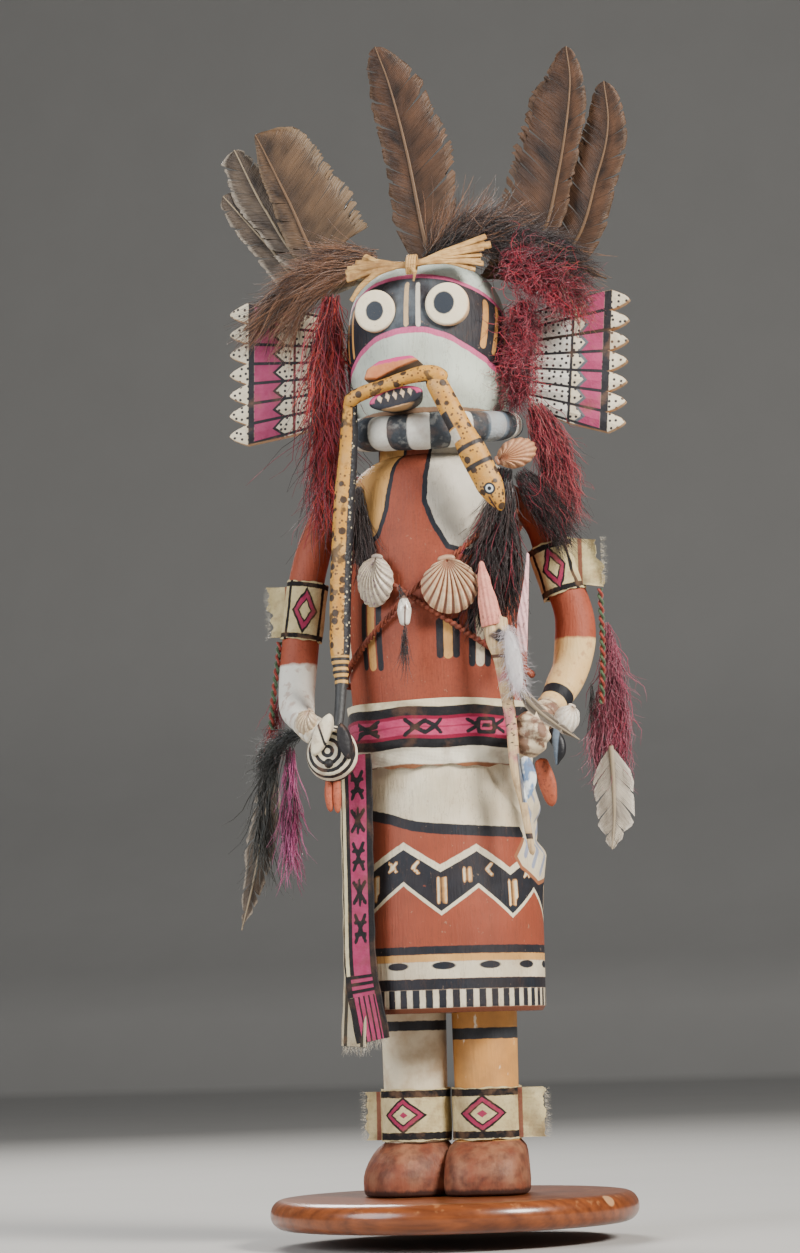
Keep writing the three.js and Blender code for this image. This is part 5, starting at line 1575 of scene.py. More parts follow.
FEATHERS = [("right_outer", "right_outer_feather", [(-24, 3.6, 383.6), (-52, 3.4, 384), (-68, 3.0, 402),
                                                    (-85.6, 3.0, 423)], [2, 5, 8, 7.5, 4.5],
             [2, 5, 8, 9, 6], "grey", dict(tip=5, pinch=0.28, rag=0.12)),
            ("right_ragged", "right_ragged_feather", [(-20, 0.6, 386), (-50, 0.4, 391), (-67, 0.2, 415),
                                                      (-79.6, 0.2, 441.5)], [2, 4, 7.5, 10.5, 8],
             [2, 7, 10, 10, 4], "grey", dict(tip=5, pinch=0.3, rag=0.12)),
            ("right_broad", "right_broad_feather", [(-26, -2.6, 384), (-43, -3.0, 389), (-56, -3.4, 417),
                                                    (-66, -3.8, 439), (-69.4, -4, 446)], [5, 9, 9, 7, 2],
             [24, 26, 25.5, 21.5, 17], "tan", dict(tip=7, pinch=0.12, rag=0.10, slant=0.6)),
            ("center", "center_feather", [(3, 0.2, 387.4), (-0.6, 0.1, 400), (-6.3, 0, 434),
                                          (-12.6, 0, 462), (-18.4, 0, 480)], [8, 12, 10.6, 10.5, 6],
             [5, 17, 19.5, 14.5, 6], "brown", dict(tip=9, pinch=0.20, rag=0.10)),
            ("left_broad", "left_broad_feather", [(26, 1.6, 385), (47, 1.8, 394), (56, 2, 421),
                                                  (61.8, 2.2, 455), (61.0, 2.2, 473.4)],
             [8, 25, 23, 19.5, 7], [2, 6.5, 7, 7.5, 4], "brown", dict(tip=9, pinch=0.16, rag=0.13)),
            ("left_back", "left_back_feather", [(22, 5.4, 381), (58, 5.8, 389), (71.6, 6, 420.5),
                                                (76.4, 6.2, 440), (75.4, 6.2, 458.6)], [4, 12.5, 13, 12, 6],
             [2, 8.5, 9, 9, 5], "brown", dict(tip=9, pinch=0.16, rag=0.10)),
            ("left_side", "left_side_feather", [(37, -3.4, 391), (49, -4.4, 387), (63, -4.6, 380),
                                                (75, -4.6, 373.6)], [1.2, 3.2, 2.6, 0.7],
             [1.2, 3.2, 2.6, 0.7], "tan", dict(tip=6, pinch=0.5, rag=0.15)),]
FEATHER_PAINTS = {"brown": paint_feather("brown_feather", (27, 19, 15), (86, 59, 41), (118, 92, 70), 0.3,
                                         0.1),
                  "tan": paint_feather("tan_feather", (38, 28, 21), (102, 78, 56), (140, 118, 92), 0.4,
                                       0.1),
                  "grey": paint_feather("grey_feather", (44, 36, 30), (98, 84, 70), (160, 148, 132), 0.8,
                                        0.2, (150, 134, 110)),}
for index, (name, node, shaft, lefts, rights, paint, look) in enumerate(FEATHERS):
    feather(f"{name}_plume", shaft, lefts, rights, FEATHER_PAINTS[paint],
            "feather_grey" if paint == "grey" else "feather_brown", [node], 20 + index, **look)

# %% [markdown]
# ## Husk bundle on the brow
# Split corn husks laid across the brow and tied in the middle. Each strip is a thin limb with a little
# chance in its path, since dried husk never lies straight.

# %% Husk


def paint_husk(name, pale, deep):
    sheet = Sheet(name)
    streak = sheet.noise(0.9, 4, place=sheet.stretched(0.12, 1, 1))
    sheet.color = sheet.mix(streak, hue(*deep), hue(*pale))
    sheet.lay(sheet.blots(6, 4, 0.55, 0.2) * 0.6, hue(*[c * 0.80 for c in deep]))
    return sheet.finish(sheet.color, rough=0.55, bump=streak, bump_mm=0.45, specular=0.3)


HUSK_PAINT = paint_husk("corn_husk", (236, 198, 130), (150, 96, 46))


def husk_strips():
    draw = np.random.default_rng(8)
    strips = []
    ends = [(-25.8, 378.8, 28.6, 384.2), (-22.0, 381.8, 30.4, 388.4), (-26.2, 375.4, 29.0, 380.4),
            (-24.0, 380.4, 25, 386.0), (-19.0, 383.2, 27.6, 382.2), (-26.6, 377.0, 30.8, 386.6),
            (-20.0, 376.2, 24.4, 378.4)]
    for x0, z0, x1, z1 in ends:
        for _ in range(2):
            shake = draw.normal(0, 0.7, 6)
            y0, y1 = -(29.6 + 0.4 * shake[0]), -(26.4 + 0.6 * shake[1])
            path = [(x0 + shake[2], y0, z0 + shake[3] * 0.8),
                    (-11, -33.0 + 0.3 * shake[4], 0.35 * z0 + 0.65 * 379.4),
                    (1.1, -34.0 - 0.3 * shake[5], 378.6 + 0.5 * shake[0]),
                    (14, -31.6, 0.4 * z1 + 0.6 * 380.2), (x1 + shake[4], y1, z1 + shake[1])]
            wide = [1.25, 1.0, 0.8, 1.1, 1.35]
            strips.append(limb(path, wide, [0.55, 0.6, 0.7, 0.6, 0.55], steps=50, sides=12,
                               facing=unit(vec(0.2 * shake[2], -1, 0.6 * shake[3]))))
    strips.append(limb([(-24.6, -30.8, 366.6), (-20, -31.8, 372), (-12, -33.4, 376.8), (0, -34.6, 379.2)],
                       [0.9, 1.2, 1.3, 1.0], [0.5, 0.6, 0.7, 0.8], steps=40, sides=12))
    return strips


def husk_tie():
    loops = []
    for k in range(4):
        turn = np.linspace(0, 2 * np.pi, 40, endpoint=False)
        x = -0.4 + 1.0 * k
        ring = [vec(x + 0.3 * math.sin(a), -33.6 + 2.3 * math.cos(a), 378.8 + 3.5 * math.sin(a))
                for a in turn]
        rings = [oval(p, unit(p - vec(x, -33.6, 378.8)), LEFT, 0.55, 0.62, 8) for p in ring]
        loops.append(loft(rings, looped=True))
    loops.append(limb([(1, -35.6, 378.0), (2.6, -36.0, 374.8), (2.0, -35.2, 371.6)], [0.8, 0.7, 0.4],
                      [0.3, 0.3, 0.2], steps=20, sides=8))
    return loops


build("tied_husks", together(*husk_strips(), *husk_tie()), HUSK_PAINT, "husk", ["husk_bundle"], smooth=55)

# %% [markdown]
# ## Hair, fur and wool
# Each mass is a dark core with strands that flow along it. The core takes the dark root colour, painted
# shade in the gaps between the strands, and closes those gaps, so far fewer strands are needed than on
# real hair.

# %% Hair masses


def core(path, widths, depths, material, scale=0.62):
    points, faces = limb(path, [w * scale for w in widths], [d * scale for d in depths], steps=30, sides=14,
                         shape=round_end(0.15, 0.3))
    mesh = smooth_mesh("core", (points * MM).tolist(), faces)
    # The core carries no tip values, so this paint keeps it near the dark root colour: painted shade in the
    # gaps between the strands.
    mesh.materials.append(material)
    return mesh


def mass(name, path, widths, depths, flows, slot, node, material, scale=0.62):
    """A core along a path, and flows of strands over it. A flow may take a path of its own."""
    parts = [core(path, widths, depths, material, scale)] if scale else []
    for index, one in enumerate(flows):
        given = dict(path=path, widths=widths, depths=depths, material=material, strands=FINE, seed=index + 1)
        given.update(one)
        parts.append(flow(name, **given))
    return as_piece(name, blended(*parts), slot, [node])


mass("crown_hair", [(2, -9, 386), (12, -11, 391.6), (25, -11, 394.6), (40, -10, 390)], [3.4, 6.6, 7.6, 5.4],
     [3.6, 6.0, 6.0, 4.4], [
         dict(count=1300, length=21, spread=0.28, reach=(0, 0.75)),
         dict(count=420, length=24, spread=0.42, reach=(0, 0.7), material=BROWN_FUR, drop=-0.15),
         dict(count=260, length=20, spread=0.5, reach=(0.3, 0.9), drop=-0.35),
     ], "fur_dark", "crown_fur", DARK_HAIR)
mass("right_fringe", [(-16, -19, 386), (-34, -16, 388), (-50, -12, 381), (-62, -10, 371), (-70, -9.4, 362)],
     [4.4, 5.6, 5.6, 4.2, 1.4], [3.0, 4.0, 3.4, 2.2, 1.0], [
         dict(count=1150, length=22, spread=0.16, reach=(0, 0.82)),
         dict(count=260, length=20, spread=0.34, reach=(0.2, 0.85), material=DARK_HAIR, drop=0.2),
         dict(path=[(-22, -20, 384), (-38, -18, 380), (-50, -14, 370), (-56, -12, 358)], widths=[4, 6, 5, 2],
              depths=[2, 2, 2, 1], count=420, length=22, spread=0.2),
     ], "fur_brown", "right_fur_fringe", BROWN_FUR)
mass("right_red_hair", [(-37, -13, 374), (-39, -13.6, 352), (-40, -14, 322), (-40.6, -14, 302),
                        (-42.0, -12.8, 282)], [3.8, 5.6, 5.0, 3.6, 2.0], [3.4, 4.4, 4.0, 2.8, 1.6],
     [dict(count=1050, length=26, strands=WOOLLY, thick=0.9, spread=0.12, reach=(0, 0.82)),
      dict(count=220, length=16, strands=CURLY, thick=0.7, spread=0.3, reach=(0, 0.8),
           material=MAROON_WOOL), dict(count=420, length=36, strands=WOOLLY, thick=0.6, spread=0.20,
                                       reach=(0, 0.8), material=MAROON_WOOL),
      dict(count=160, length=34, spread=0.26, reach=(0.2, 0.85), material=DARK_HAIR),], "hair_red",
     "right_hair", RED_HAIR)
mass("left_crown_wool", [(33, -15, 383), (44, -13.6, 384), (54, -12, 380), (60, -11, 370)],
     [6.0, 8.2, 7.2, 4.0], [4.2, 5.4, 4.8, 2.8], [dict(path=[(33, -15.6, 379), (44, -14.4, 378),
                                                             (54, -12.4, 374), (61, -11, 366)],
                                                       widths=[4, 7, 6.4, 3.4], depths=[4, 5, 4.4, 2.6],
                                                       count=700, length=13, strands=CURLY, spread=0.5,
                                                       reach=(0, 0.95)),
                                                  dict(path=[(34, -16, 377), (45, -14.8, 376),
                                                             (55, -12.6, 371), (61, -11, 363)],
                                                       widths=[4, 6.4, 6, 3.4], depths=[4, 5, 4.4, 2.6],
                                                       count=300, length=14, strands=CURLY, spread=0.6,
                                                       reach=(0.1, 0.98), material=SCARLET_WOOL),
                                                  dict(count=520, length=22, spread=0.32, reach=(0, 0.8),
                                                       material=DARK_HAIR),
                                                  dict(path=[(28, -13, 387), (42, -12.6, 390),
                                                             (55, -11.6, 387), (66, -10, 379)],
                                                       widths=[4, 6, 5, 3], depths=[3, 4, 4, 2], count=760,
                                                       length=19, spread=0.2, reach=(0, 0.8),
                                                       material=DARK_HAIR, drop=0.1),
                                                  dict(count=120, length=24, spread=0.25, reach=(0.3, 0.9),
                                                       material=BROWN_FUR),], "wool_maroon", "left_hair",
     MAROON_WOOL)
mass("left_ear_wool", [(40.6, -9.6, 366), (41.0, -11.4, 352), (39.0, -11.6, 338), (38.4, -10.6, 325.6)],
     [4.0, 6.4, 6.2, 3.4], [3.4, 5.4, 5.2, 3.0], [
         dict(count=720, length=11, strands=CURLY, spread=0.6, reach=(0, 0.95)),
         dict(count=300, length=12, strands=CURLY, spread=0.7, reach=(0, 0.95), material=SCARLET_WOOL),
         dict(count=160, length=16, spread=0.3, reach=(0, 0.9), material=DARK_HAIR),
     ], "wool_maroon", "left_wool_ball", MAROON_WOOL)
mass("left_long_strands", [(44, -7, 324), (49.6, -7.6, 309), (53.6, -8, 294), (57.6, -8.4, 276)],
     [4.8, 7.0, 6.4, 2.6], [2.4, 3.4, 3.0, 1.6], [dict(count=420, length=21, strands=WOOLLY, thick=0.9,
                                                       spread=0.10, reach=(0, 0.66)),
                                                  dict(count=240, length=20, strands=WOOLLY, thick=0.8,
                                                       spread=0.12, reach=(0, 0.66), material=MAROON_WOOL),
                                                  dict(count=160, length=18, strands=CURLY, thick=0.5,
                                                       spread=0.2, reach=(0, 0.7), material=SCARLET_WOOL),
                                                  dict(count=260, length=24, spread=0.1, reach=(0, 0.6),
                                                       material=DARK_HAIR),], "wool_maroon",
     "left_hair_strands", SALMON_WOOL, 0.4)


def chest_path(points):
    return [tuple(on_body(ARC * math.asin(max(min(x / body_at(z)[0], 0.98), -0.98)), z, out)) for x, z,
            out in points]


mass("left_chest_hair", chest_path([(29, 298, 2.6), (28, 280, 3.0), (26.4, 262, 3.6), (24.8, 243, 4.2)]),
     [3.4, 6.6, 10.4, 12.4], [1.6, 2.4, 2.8, 2.0], [
         dict(count=1500, length=30, thick=1.5, spread=0.06, reach=(0, 0.74)),
         dict(count=120, length=34, spread=0.10, reach=(0, 0.7), material=MAROON_WOOL),
     ], "fur_dark", "left_chest_tuft", DARK_HAIR, 0.8)
mass("right_chest_hair", chest_path([(-25, 293, 2.2), (-23, 277, 2.4), (-20, 263, 2.6)]), [2.0, 4.0, 4.6],
     [1.4, 2.0, 1.8], [dict(count=520, length=24, spread=0.09, reach=(0, 0.72))], "fur_dark",
     "right_chest_tuft", DARK_HAIR, 0.5)
mass("left_shoulder_hair", [(37, -7.4, 297), (43, -9.4, 289), (49, -10, 280), (54, -9.4, 268)],
     [3.2, 6.2, 7.0, 3.4], [1.8, 2.8, 2.8, 1.6], [dict(count=900, length=20, spread=0.09, reach=(0, 0.62)),
                                                  dict(count=160, length=18, strands=WOOLLY, thick=0.7,
                                                       spread=0.12, reach=(0, 0.6), material=MAROON_WOOL),],
     "fur_dark", "left_shoulder_tuft", DARK_HAIR, 0.5)

# %% [markdown]
# ## Shells
# The ribs of each fan shell spread from its hinge. The pendant is a small olive shell on a thread. The
# ribs are carved into the mesh and not only shaded, because they show in the outline of the rim.

# %% Shells


def scallop(middle, width, height, depth, turn=0.0, roll=0.0, ribs=17):
    """A ribbed dish with its hinge at the top, and the fields that its paint follows."""
    facing = turned(FRONT, UP, turn)
    up = turned(UP, facing, roll)
    side = np.cross(facing, up)
    n, levels = ribs * 8 + 1, 18
    theta = np.linspace(math.radians(112), math.radians(428), n)
    pinch = 1 - 0.55 * np.maximum(np.sin(theta), 0) ** 3
    wave = np.cos(np.linspace(0, 2 * np.pi * ribs, n))
    rim = np.stack([0.5 * width * np.cos(theta) * pinch, 0.5 * height * np.sin(theta)], axis=1)
    rim *= (1 + 0.014 * wave)[:, None]
    hinge = vec(0, 0.44 * height)
    rings, t_field, rib_field = [], [], []
    for t in np.linspace(0.05, 1, levels):
        flat_points = hinge + (rim - hinge) * t
        dome = depth * 1.05 * (1 - abs(2 * t - 0.95) ** 2.2)
        edge = np.clip((1 - np.abs(np.linspace(-1, 1, n)) ** 6), 0, 1)
        relief = 0.028 * width * wave * min(t * 2.2, 1.0)
        front = (dome + relief) * edge
        rear = np.minimum(front - 0.8, -0.25 * depth * (1 - t) - 0.3)
        rows = [middle + side * p[0] + up * p[1] + facing * out for p, out in zip(flat_points, front)]
        rows += [middle + side * p[0] + up * p[1] + facing * out for p,
                 out in zip(flat_points[::-1], rear[::-1])]
        rings.append(rows)
        t_field += [t] * (2 * n)
        rib_field += list(wave) + list(wave[::-1])
    points, faces = loft(rings)
    last = (levels - 1) * 2 * n
    faces = faces[:-2]
    for row in (0, last):
        faces += [[row + i, row + i + 1, row + 2 * n - 2 - i, row + 2 * n - 1 - i] for i in range(n - 1)]
    ear = limb([middle + side * (-0.16 * width) + up * (0.45 * height), middle + up * (0.48 * height),
                middle + side * (0.16 * width) + up * (0.45 * height)], [0.05 * height] * 3,
               [0.045 * height] * 3, steps=16, sides=12, facing=facing, shape=round_end(0.2, 0.2))
    zeros = np.zeros(16 * 12)
    return together((points, faces), ear), {"growth": np.concatenate([t_field, zeros]),
                                            "rib": np.concatenate([rib_field, zeros])}


def paint_shell(name, pale, tone, stain, ribs=0.6, speckle=0.0):
    sheet = Sheet(name)
    growth, rib = sheet.field("growth"), sheet.field("rib")
    bands = sheet.noise(1, 3, 0.5, sheet.vector(growth * 9, rib * 0.15))
    sheet.color = sheet.mix(((bands - 0.5) * 2 + 0.35 + rib * 0.22 * ribs).clamp(), hue(*pale), hue(*tone))
    sheet.lay((-0.35 - rib).cover(0.5) * ribs, hue(*stain))
    sheet.lay((0.25 - growth).cover(0.25) * 0.6, hue(*stain))
    sheet.lay(sheet.blots(1.1, 3, 0.62, 0.06) * speckle, hue(120, 84, 116))
    rings = (growth * 16 + bands).part()
    return sheet.finish(sheet.color, rough=0.38, bump=rings * 0.5 + sheet.noise(0.8), bump_mm=0.12,
                        specular=0.5)


def front_of(x, z, out):
    wide, deep = body_at(z)
    return vec(x, -(deep + out) * math.sqrt(1 - (x / (wide + out)) ** 2), z)


SHELLS = [("left_chest", dict(middle=front_of(13.4, 248.6, 7.2), width=22.6, height=22.6, depth=4.4,
                              turn=0.34, roll=0.10),
           paint_shell("ribbed_shell", (222, 202, 168), (196, 152, 116), (132, 78, 60), 0.9)),
          ("right_chest", dict(middle=front_of(-17.6, 252.4, 4.6), width=17, height=20.6, depth=3.6,
                               turn=-0.46, roll=-0.16),
           paint_shell("pale_shell", (214, 202, 180), (176, 160, 138), (130, 108, 98), 0.5, 0.7)),
          ("shoulder", dict(middle=vec(38.4, -20.6, 302.2), width=11.6, height=18, depth=3.4, turn=0.5,
                            roll=1.95, ribs=13), paint_shell("brown_shell", (214, 168, 128), (178, 120, 84),
                                                             (128, 72, 52), 0.6)),
          ("right_wrist", dict(middle=vec(-45.2, -41.4, 197.4), width=9, height=10.4, depth=2.6, turn=-0.3,
                               roll=-0.5, ribs=11),
           paint_shell("wrist_shell", (222, 208, 180), (186, 156, 120), (140, 100, 80), 0.5)),
          ("left_wrist", dict(middle=vec(55.9, -25.6, 194.9), width=10.2, height=12, depth=3.4, turn=0.5,
                              roll=-0.4, ribs=9), paint_shell("white_shell", (240, 234, 220),
                                                              (220, 206, 184), (170, 140, 116), 0.3)),]
for name, shape, paint in SHELLS:
    dish, dish_fields = scallop(**shape)
    pearl = name == "left_wrist"
    build(f"{name}_fan_shell", dish, paint, "pearl" if pearl else "shell", [f"{name}_shell"], smooth=50,
          fields=dish_fields)


def paint_pearl():
    sheet = Sheet("olive_shell")
    sheet.color = sheet.mottled(2.4, 3, (238, 232, 220), (206, 196, 182))
    sheet.lay((sheet.z - 243.6).cover(0.6), hue(120, 96, 84))
    line = (0.35 - (sheet.x + 3.6 - (sheet.z - 239) * 0.08).size()).cover(0.2) * (241 - sheet.z).cover(1)
    return sheet.finish(sheet.mix(line, sheet.color, hue(110, 90, 84)), rough=0.22, specular=0.6)


build("olive_pendant", limb([(-4.4, -41.4, 245.2), (-4.4, -41.6, 239), (-4.4, -41.4, 233)], [1.5, 2.8, 1.9],
                            [1.5, 2.5, 1.8], steps=40, sides=28, shape=round_end(0.25, 0.12)),
      paint_pearl(), "pearl", ["pendant_shell"], smooth=60)

as_piece("pendant_threads", blended(flow("threads", [(-4.4, -41.0, 234), (-4.6, -41.4, 228),
                                                     (-5.0, -41.6, 221)], [0.9, 1.4, 1.8], [0.5, 0.8, 0.8],
                                         60, 12, FINE, DARK_HAIR, thick=1.6, spread=0.08, seed=15),
                                    flow("threads", [(-7.0, -40.4, 250), (-5.6, -41.2, 246),
                                                     (-4.6, -41.6, 242)], [0.8, 1.0, 0.8], [0.5, 0.7, 0.5],
                                         40, 7, FINE, DARK_HAIR, thick=2.4, spread=0.2, seed=16)),
         "fur_dark")

# %% [markdown]
# ## Hide cords on the chest
# Two twisted hide cords cross on the chest. Each is a closed loop of two plies that turn round each
# other. Its path is worked out from the body's own width and depth, so that it neither floats nor
# sinks.

# %% Bandoliers
CORD_STEPS = 420


def bandolier(slope, middle, lift, turns):
    strands = []
    angle = 2 * np.pi * np.arange(CORD_STEPS) / CORD_STEPS
    x = 36 * np.cos(angle)
    z = middle + slope * x
    wide, deep = body_at(z)
    out = 2.1 + lift * np.exp(-(((x + 3.2) / 5.5) ** 2))
    place = np.stack([(wide + out) * np.cos(angle), (deep + out) * np.sin(angle), z], axis=1)
    around = np.stack([np.cos(angle), np.sin(angle), 0 * angle], axis=1)
    for k in range(2):
        turn = turns * angle + np.pi * k
        centre = place + 0.62 * (np.cos(turn)[:, None] * around + np.sin(turn)[:, None] * UP)
        strands.append(loft([oval(centre[i], around[i], UP, 0.80, 0.92, 10) for i in range(CORD_STEPS)],
                            looped=True))
    print("loop of", round(length_of(np.vstack([place, place[:1]])), 1), "mm")
    return strands


def paint_hide():
    sheet = Sheet("hide_cord")
    fibre = sheet.noise(0.7, 3)
    sheet.color = sheet.mix(fibre, hue(104, 48, 36), hue(164, 88, 62))
    sheet.lay(sheet.blots(5, 3, 0.55, 0.2) * 0.5, hue(84, 40, 34))
    return sheet.finish(sheet.color, rough=0.7, bump=fibre, bump_mm=0.25)


HIDE_PAINT = paint_hide()
build("right_hide_cord", together(*bandolier(-0.75, 243.2, 0, 62)), HIDE_PAINT, "hide", ["bandolier_right"],
      smooth=70)
build("left_hide_cord", together(*bandolier(0.93, 248.6, 3.2, 66)), HIDE_PAINT, "hide", ["bandolier_left"],
      smooth=70)

# %% [markdown]
# ## Cloth
# The belt, the hanging sash and the four canvas bands are cloth. Woven patterns are painted by how far
# along and across the cloth a point is. The belt is stretched round the waist, so it is shaped on the
# body instead of being simulated, and its threads are a fine bump.

# %% Belt
THREADS = 0.55


def weave(sheet, run, across):
    over = ((run / THREADS).part() - 0.5).size()
    under = ((across / THREADS).part() - 0.5).size()
    return over.most(under) + sheet.noise(1.2, 3) * 0.6


def belt_body():
    sides, rows_ = 260, 30
    rings, s, up = [], [], []
    for i in range(sides):
        angle = 2 * math.pi * (i + 0.5) / sides
        bearing = ARC * math.atan2(math.cos(angle), -math.sin(angle))
        low = 178.3 + 0.5 * math.sin(bearing * 0.21) + 0.4 * math.sin(bearing * 0.63 + 1)
        high = 204.7 + 0.25 * math.sin(bearing * 0.12)
        ring = []
        for z in np.linspace(low, high, rows_):
            wide, deep = body_at(z)
            out = np.interp(z, [178, 185.2, 186.4, 204.8], [1.5, 1.6, 2.7,
                                                            2.1]) + 0.15 * math.sin(bearing * 0.3 + z)
            ring.append(vec((wide + out) * math.cos(angle), (deep + out) * math.sin(angle), z))
            s.append(bearing)
            up.append(z)
        for z in (high - 0.1, low + 0.1):
            wide, deep = body_at(z)
            ring.append(vec((wide + 0.4) * math.cos(angle), (deep + 0.4) * math.sin(angle), z))
            s.append(bearing)
            up.append(z)
        rings.append(ring)
    return loft(rings, looped=True), np.array(s), np.array(up)


def belt_motifs(points):
    """Small crosses, brackets and arrows along the middle of the belt."""
    marks = []
    for k, s in enumerate(np.linspace(-101.5, 101.5, 9)):
        z = 193.9
        if k % 3 == 0:
            for way in (-1, 1):
                marks.append(stroke(points, [(s - 6.4, z + 2.9 * way), (s + 6.4, z - 2.9 * way)], 1.7))
                marks.append(stroke(points, [(s - 5.4, z + 0.9 * way), (s + 5.4, z + 0.9 * way)], 1.4))
        elif k % 3 == 1:
            marks.append(stroke(points, [(s - 7, z + 3), (s - 3, z), (s - 7, z - 3)], 1.7))
            marks.append(stroke(points, [(s - 3, z), (s + 1, z + 2.4), (s + 5, z), (s + 1, z - 2.4),
                                         (s - 3, z)], 1.7))
            marks.append(stroke(points, [(s + 7, z + 2.6), (s + 5, z), (s + 7, z - 2.6)], 1.5))
        else:
            marks.append(stroke(points, [(s - 3.4, z + 2.6), (s + 3.4, z + 2.6), (s + 3.4, z - 2.6),
                                         (s - 3.4, z - 2.6), (s - 3.4, z + 2.6)], 1.6))
            for way in (-1, 1):
                marks.append(stroke(points, [(s + 8 * way, z + 2.4), (s + 3.6 * way, z),
                                             (s + 8 * way, z - 2.4)], 1.5))
            marks.append(stroke(points, [(s - 1.4, z), (s + 1.4, z)], 1.4))
    return most(*marks)


def paint_belt():
    sheet = Sheet("woven_belt")
    s, up = sheet.field("s"), sheet.field("up")
    ragged = sheet.wobble(2.6, 4, 1.1)
    cream = sheet.mottled(5, 4, (204, 188, 150), (230, 220, 188))
    ink = sheet.mottled(3, 3, (20, 20, 23), (44, 42, 44))
    pink = sheet.mottled(3, 4, (158, 36, 78), (198, 84, 116))
    crimson = hue(132, 24, 54)
    wave = sheet.sine(s * 0.23) * 0.35
    z = up + ragged * 0.4 + wave
    sheet.color = sheet.mix((201.9 - z).cover(), cream, ink)
    sheet.lay((198.2 - z).cover(), crimson)
    sheet.lay((z - 190.6).least(196.9 - z).cover(0.4), pink)
    sheet.lay((0.3 - (z - 193.9).size()).cover() * 0.6, crimson)
    sheet.lay((sheet.field("marks") + ragged * 0.15).cover(0.25), ink)
    sheet.lay((189.2 - z).cover(), ink)
    sheet.lay((185.6 - z).cover(), sheet.mottled(6, 4, (214, 204, 178), (232, 226, 208)))
    sheet.lay((179.2 - z + ragged).cover(0.6), hue(132, 86, 58))
    sheet.lay(sheet.blots(9, 5, 0.60, 0.15) * 0.35, hue(120, 84, 62))
    return sheet.finish(sheet.color, rough=0.85, bump=weave(sheet, s, up), bump_mm=0.22, sheen=0.15,
                        specular=0.15)


belt_mesh, belt_s, belt_up = belt_body()
belt = build("woven_belt", belt_mesh, paint_belt(), "sash", ["waist_sash"], smooth=50,
             fields={"s": belt_s, "up": belt_up, "marks": belt_motifs(np.stack([belt_s, belt_up], axis=1))})

# %% [markdown]
# ## The hanging sash
# A strip of woven cloth hangs from the belt at the doll's right hip, with a second strip under it and a
# frayed end on both. Each is a thin strip along a path with a slight ripple. A cloth simulation would
# also work, but a path gives the same folds every time.

# %% Hanging sash


def cloth_strip(path, half_widths, facing, steps=110, across=17, thick=0.8, ripple=0.25, seed=3):
    """A strip of cloth along a path, with how far along and across it each point is."""
    draw = np.random.default_rng(seed)
    line = spline(path, steps)
    run = np.linspace(0, length_of(line), steps)
    side, over = frames(line, facing)[1:]
    u = np.linspace(0, 1, steps)
    half = along(half_widths, u)
    phase = draw.random(3) * 6
    rings, runs, sides_ = [], [], []
    for i in range(steps):
        v = np.linspace(-1, 1, across)
        bow = ripple * np.sin(v * 2.2 + phase[0] + run[i] * 0.05) + 0.5 * ripple * math.sin(run[i] * 0.16
                                                                                            + phase[1])
        edge = half[i] * (1 + 0.02 * math.sin(run[i] * 0.5 + phase[2]))
        front = line[i] + np.outer(v * edge, side[i]) + np.outer(bow + thick / 2, over[i])
        rear = line[i] + np.outer(v[::-1] * edge, side[i]) + np.outer(bow[::-1] - thick / 2, over[i])
        rings.append(np.vstack([front, rear]))
        runs += [run[i]] * (2 * across)
        sides_ += list(v * edge) + list(v[::-1] * edge)
    return loft(rings), np.array(runs), np.array(sides_)


def fringe(name, place, side, over, half, count, length, material, seed=1, drop=vec(0, 0, -1), thick=1.0):
    """Loose threads along an edge of cloth."""
    draw = np.random.default_rng(seed)
    v = draw.uniform(-1, 1, count)
    roots = place + np.outer(v * half, side) + np.outer(draw.normal(0, 0.25, count), over)
    heading = drop + draw.normal(0, 0.22, (count, 3))
    tall = length * (0.4 + 0.8 * draw.random(count)) * MM
    girth = np.full(count, length * 1.6 * thick * MM)
    return planted(name, roots, heading, draw.normal(0, 1, (count, 3)),
                   np.stack([girth, girth, tall], axis=1), FINE, material, seed)


SASH_FACING = turned(FRONT, UP, -0.42)
SASH_PATH = [(-27.2, -34.2, 184), (-27.2, -35.0, 145), (-27.0, -35.6, 100.5), (-23.0, -35.8, 72.6)]
BACK_FACING = turned(FRONT, UP, -0.52)
BACK_PATH = [(-29.6, -30.6, 176), (-29.6, -31.4, 139), (-30.2, -31.8, 96.8), (-31.6, -31.6, 70.6)]


def sash_motifs(run, across):
    points = np.stack([across, run], axis=1)
    marks = []
    for k, z in enumerate(np.arange(12, 82, 14.0)):
        if k % 2:
            for way in (-1, 1):
                marks.append(stroke(points, [(-3.6, z + 4 * way), (-0.7, z), (2.2, z + 4 * way)], 1.7))
            marks.append(stroke(points, [(-0.7, z - 5), (-0.7, z + 5)], 1.3))
        else:
            marks.append(stroke(points, [(-3.2, z - 5.2), (1.8, z + 5.2)], 1.6))
            marks.append(stroke(points, [(-3.2, z + 5.2), (1.8, z - 5.2)], 1.6))
            marks.append(stroke(points, [(-3.4, z + 2.2), (2.0, z + 2.2)], 1.4))
            marks.append(stroke(points, [(-3.4, z - 2.2), (2.0, z - 2.2)], 1.4))
    return most(*marks)


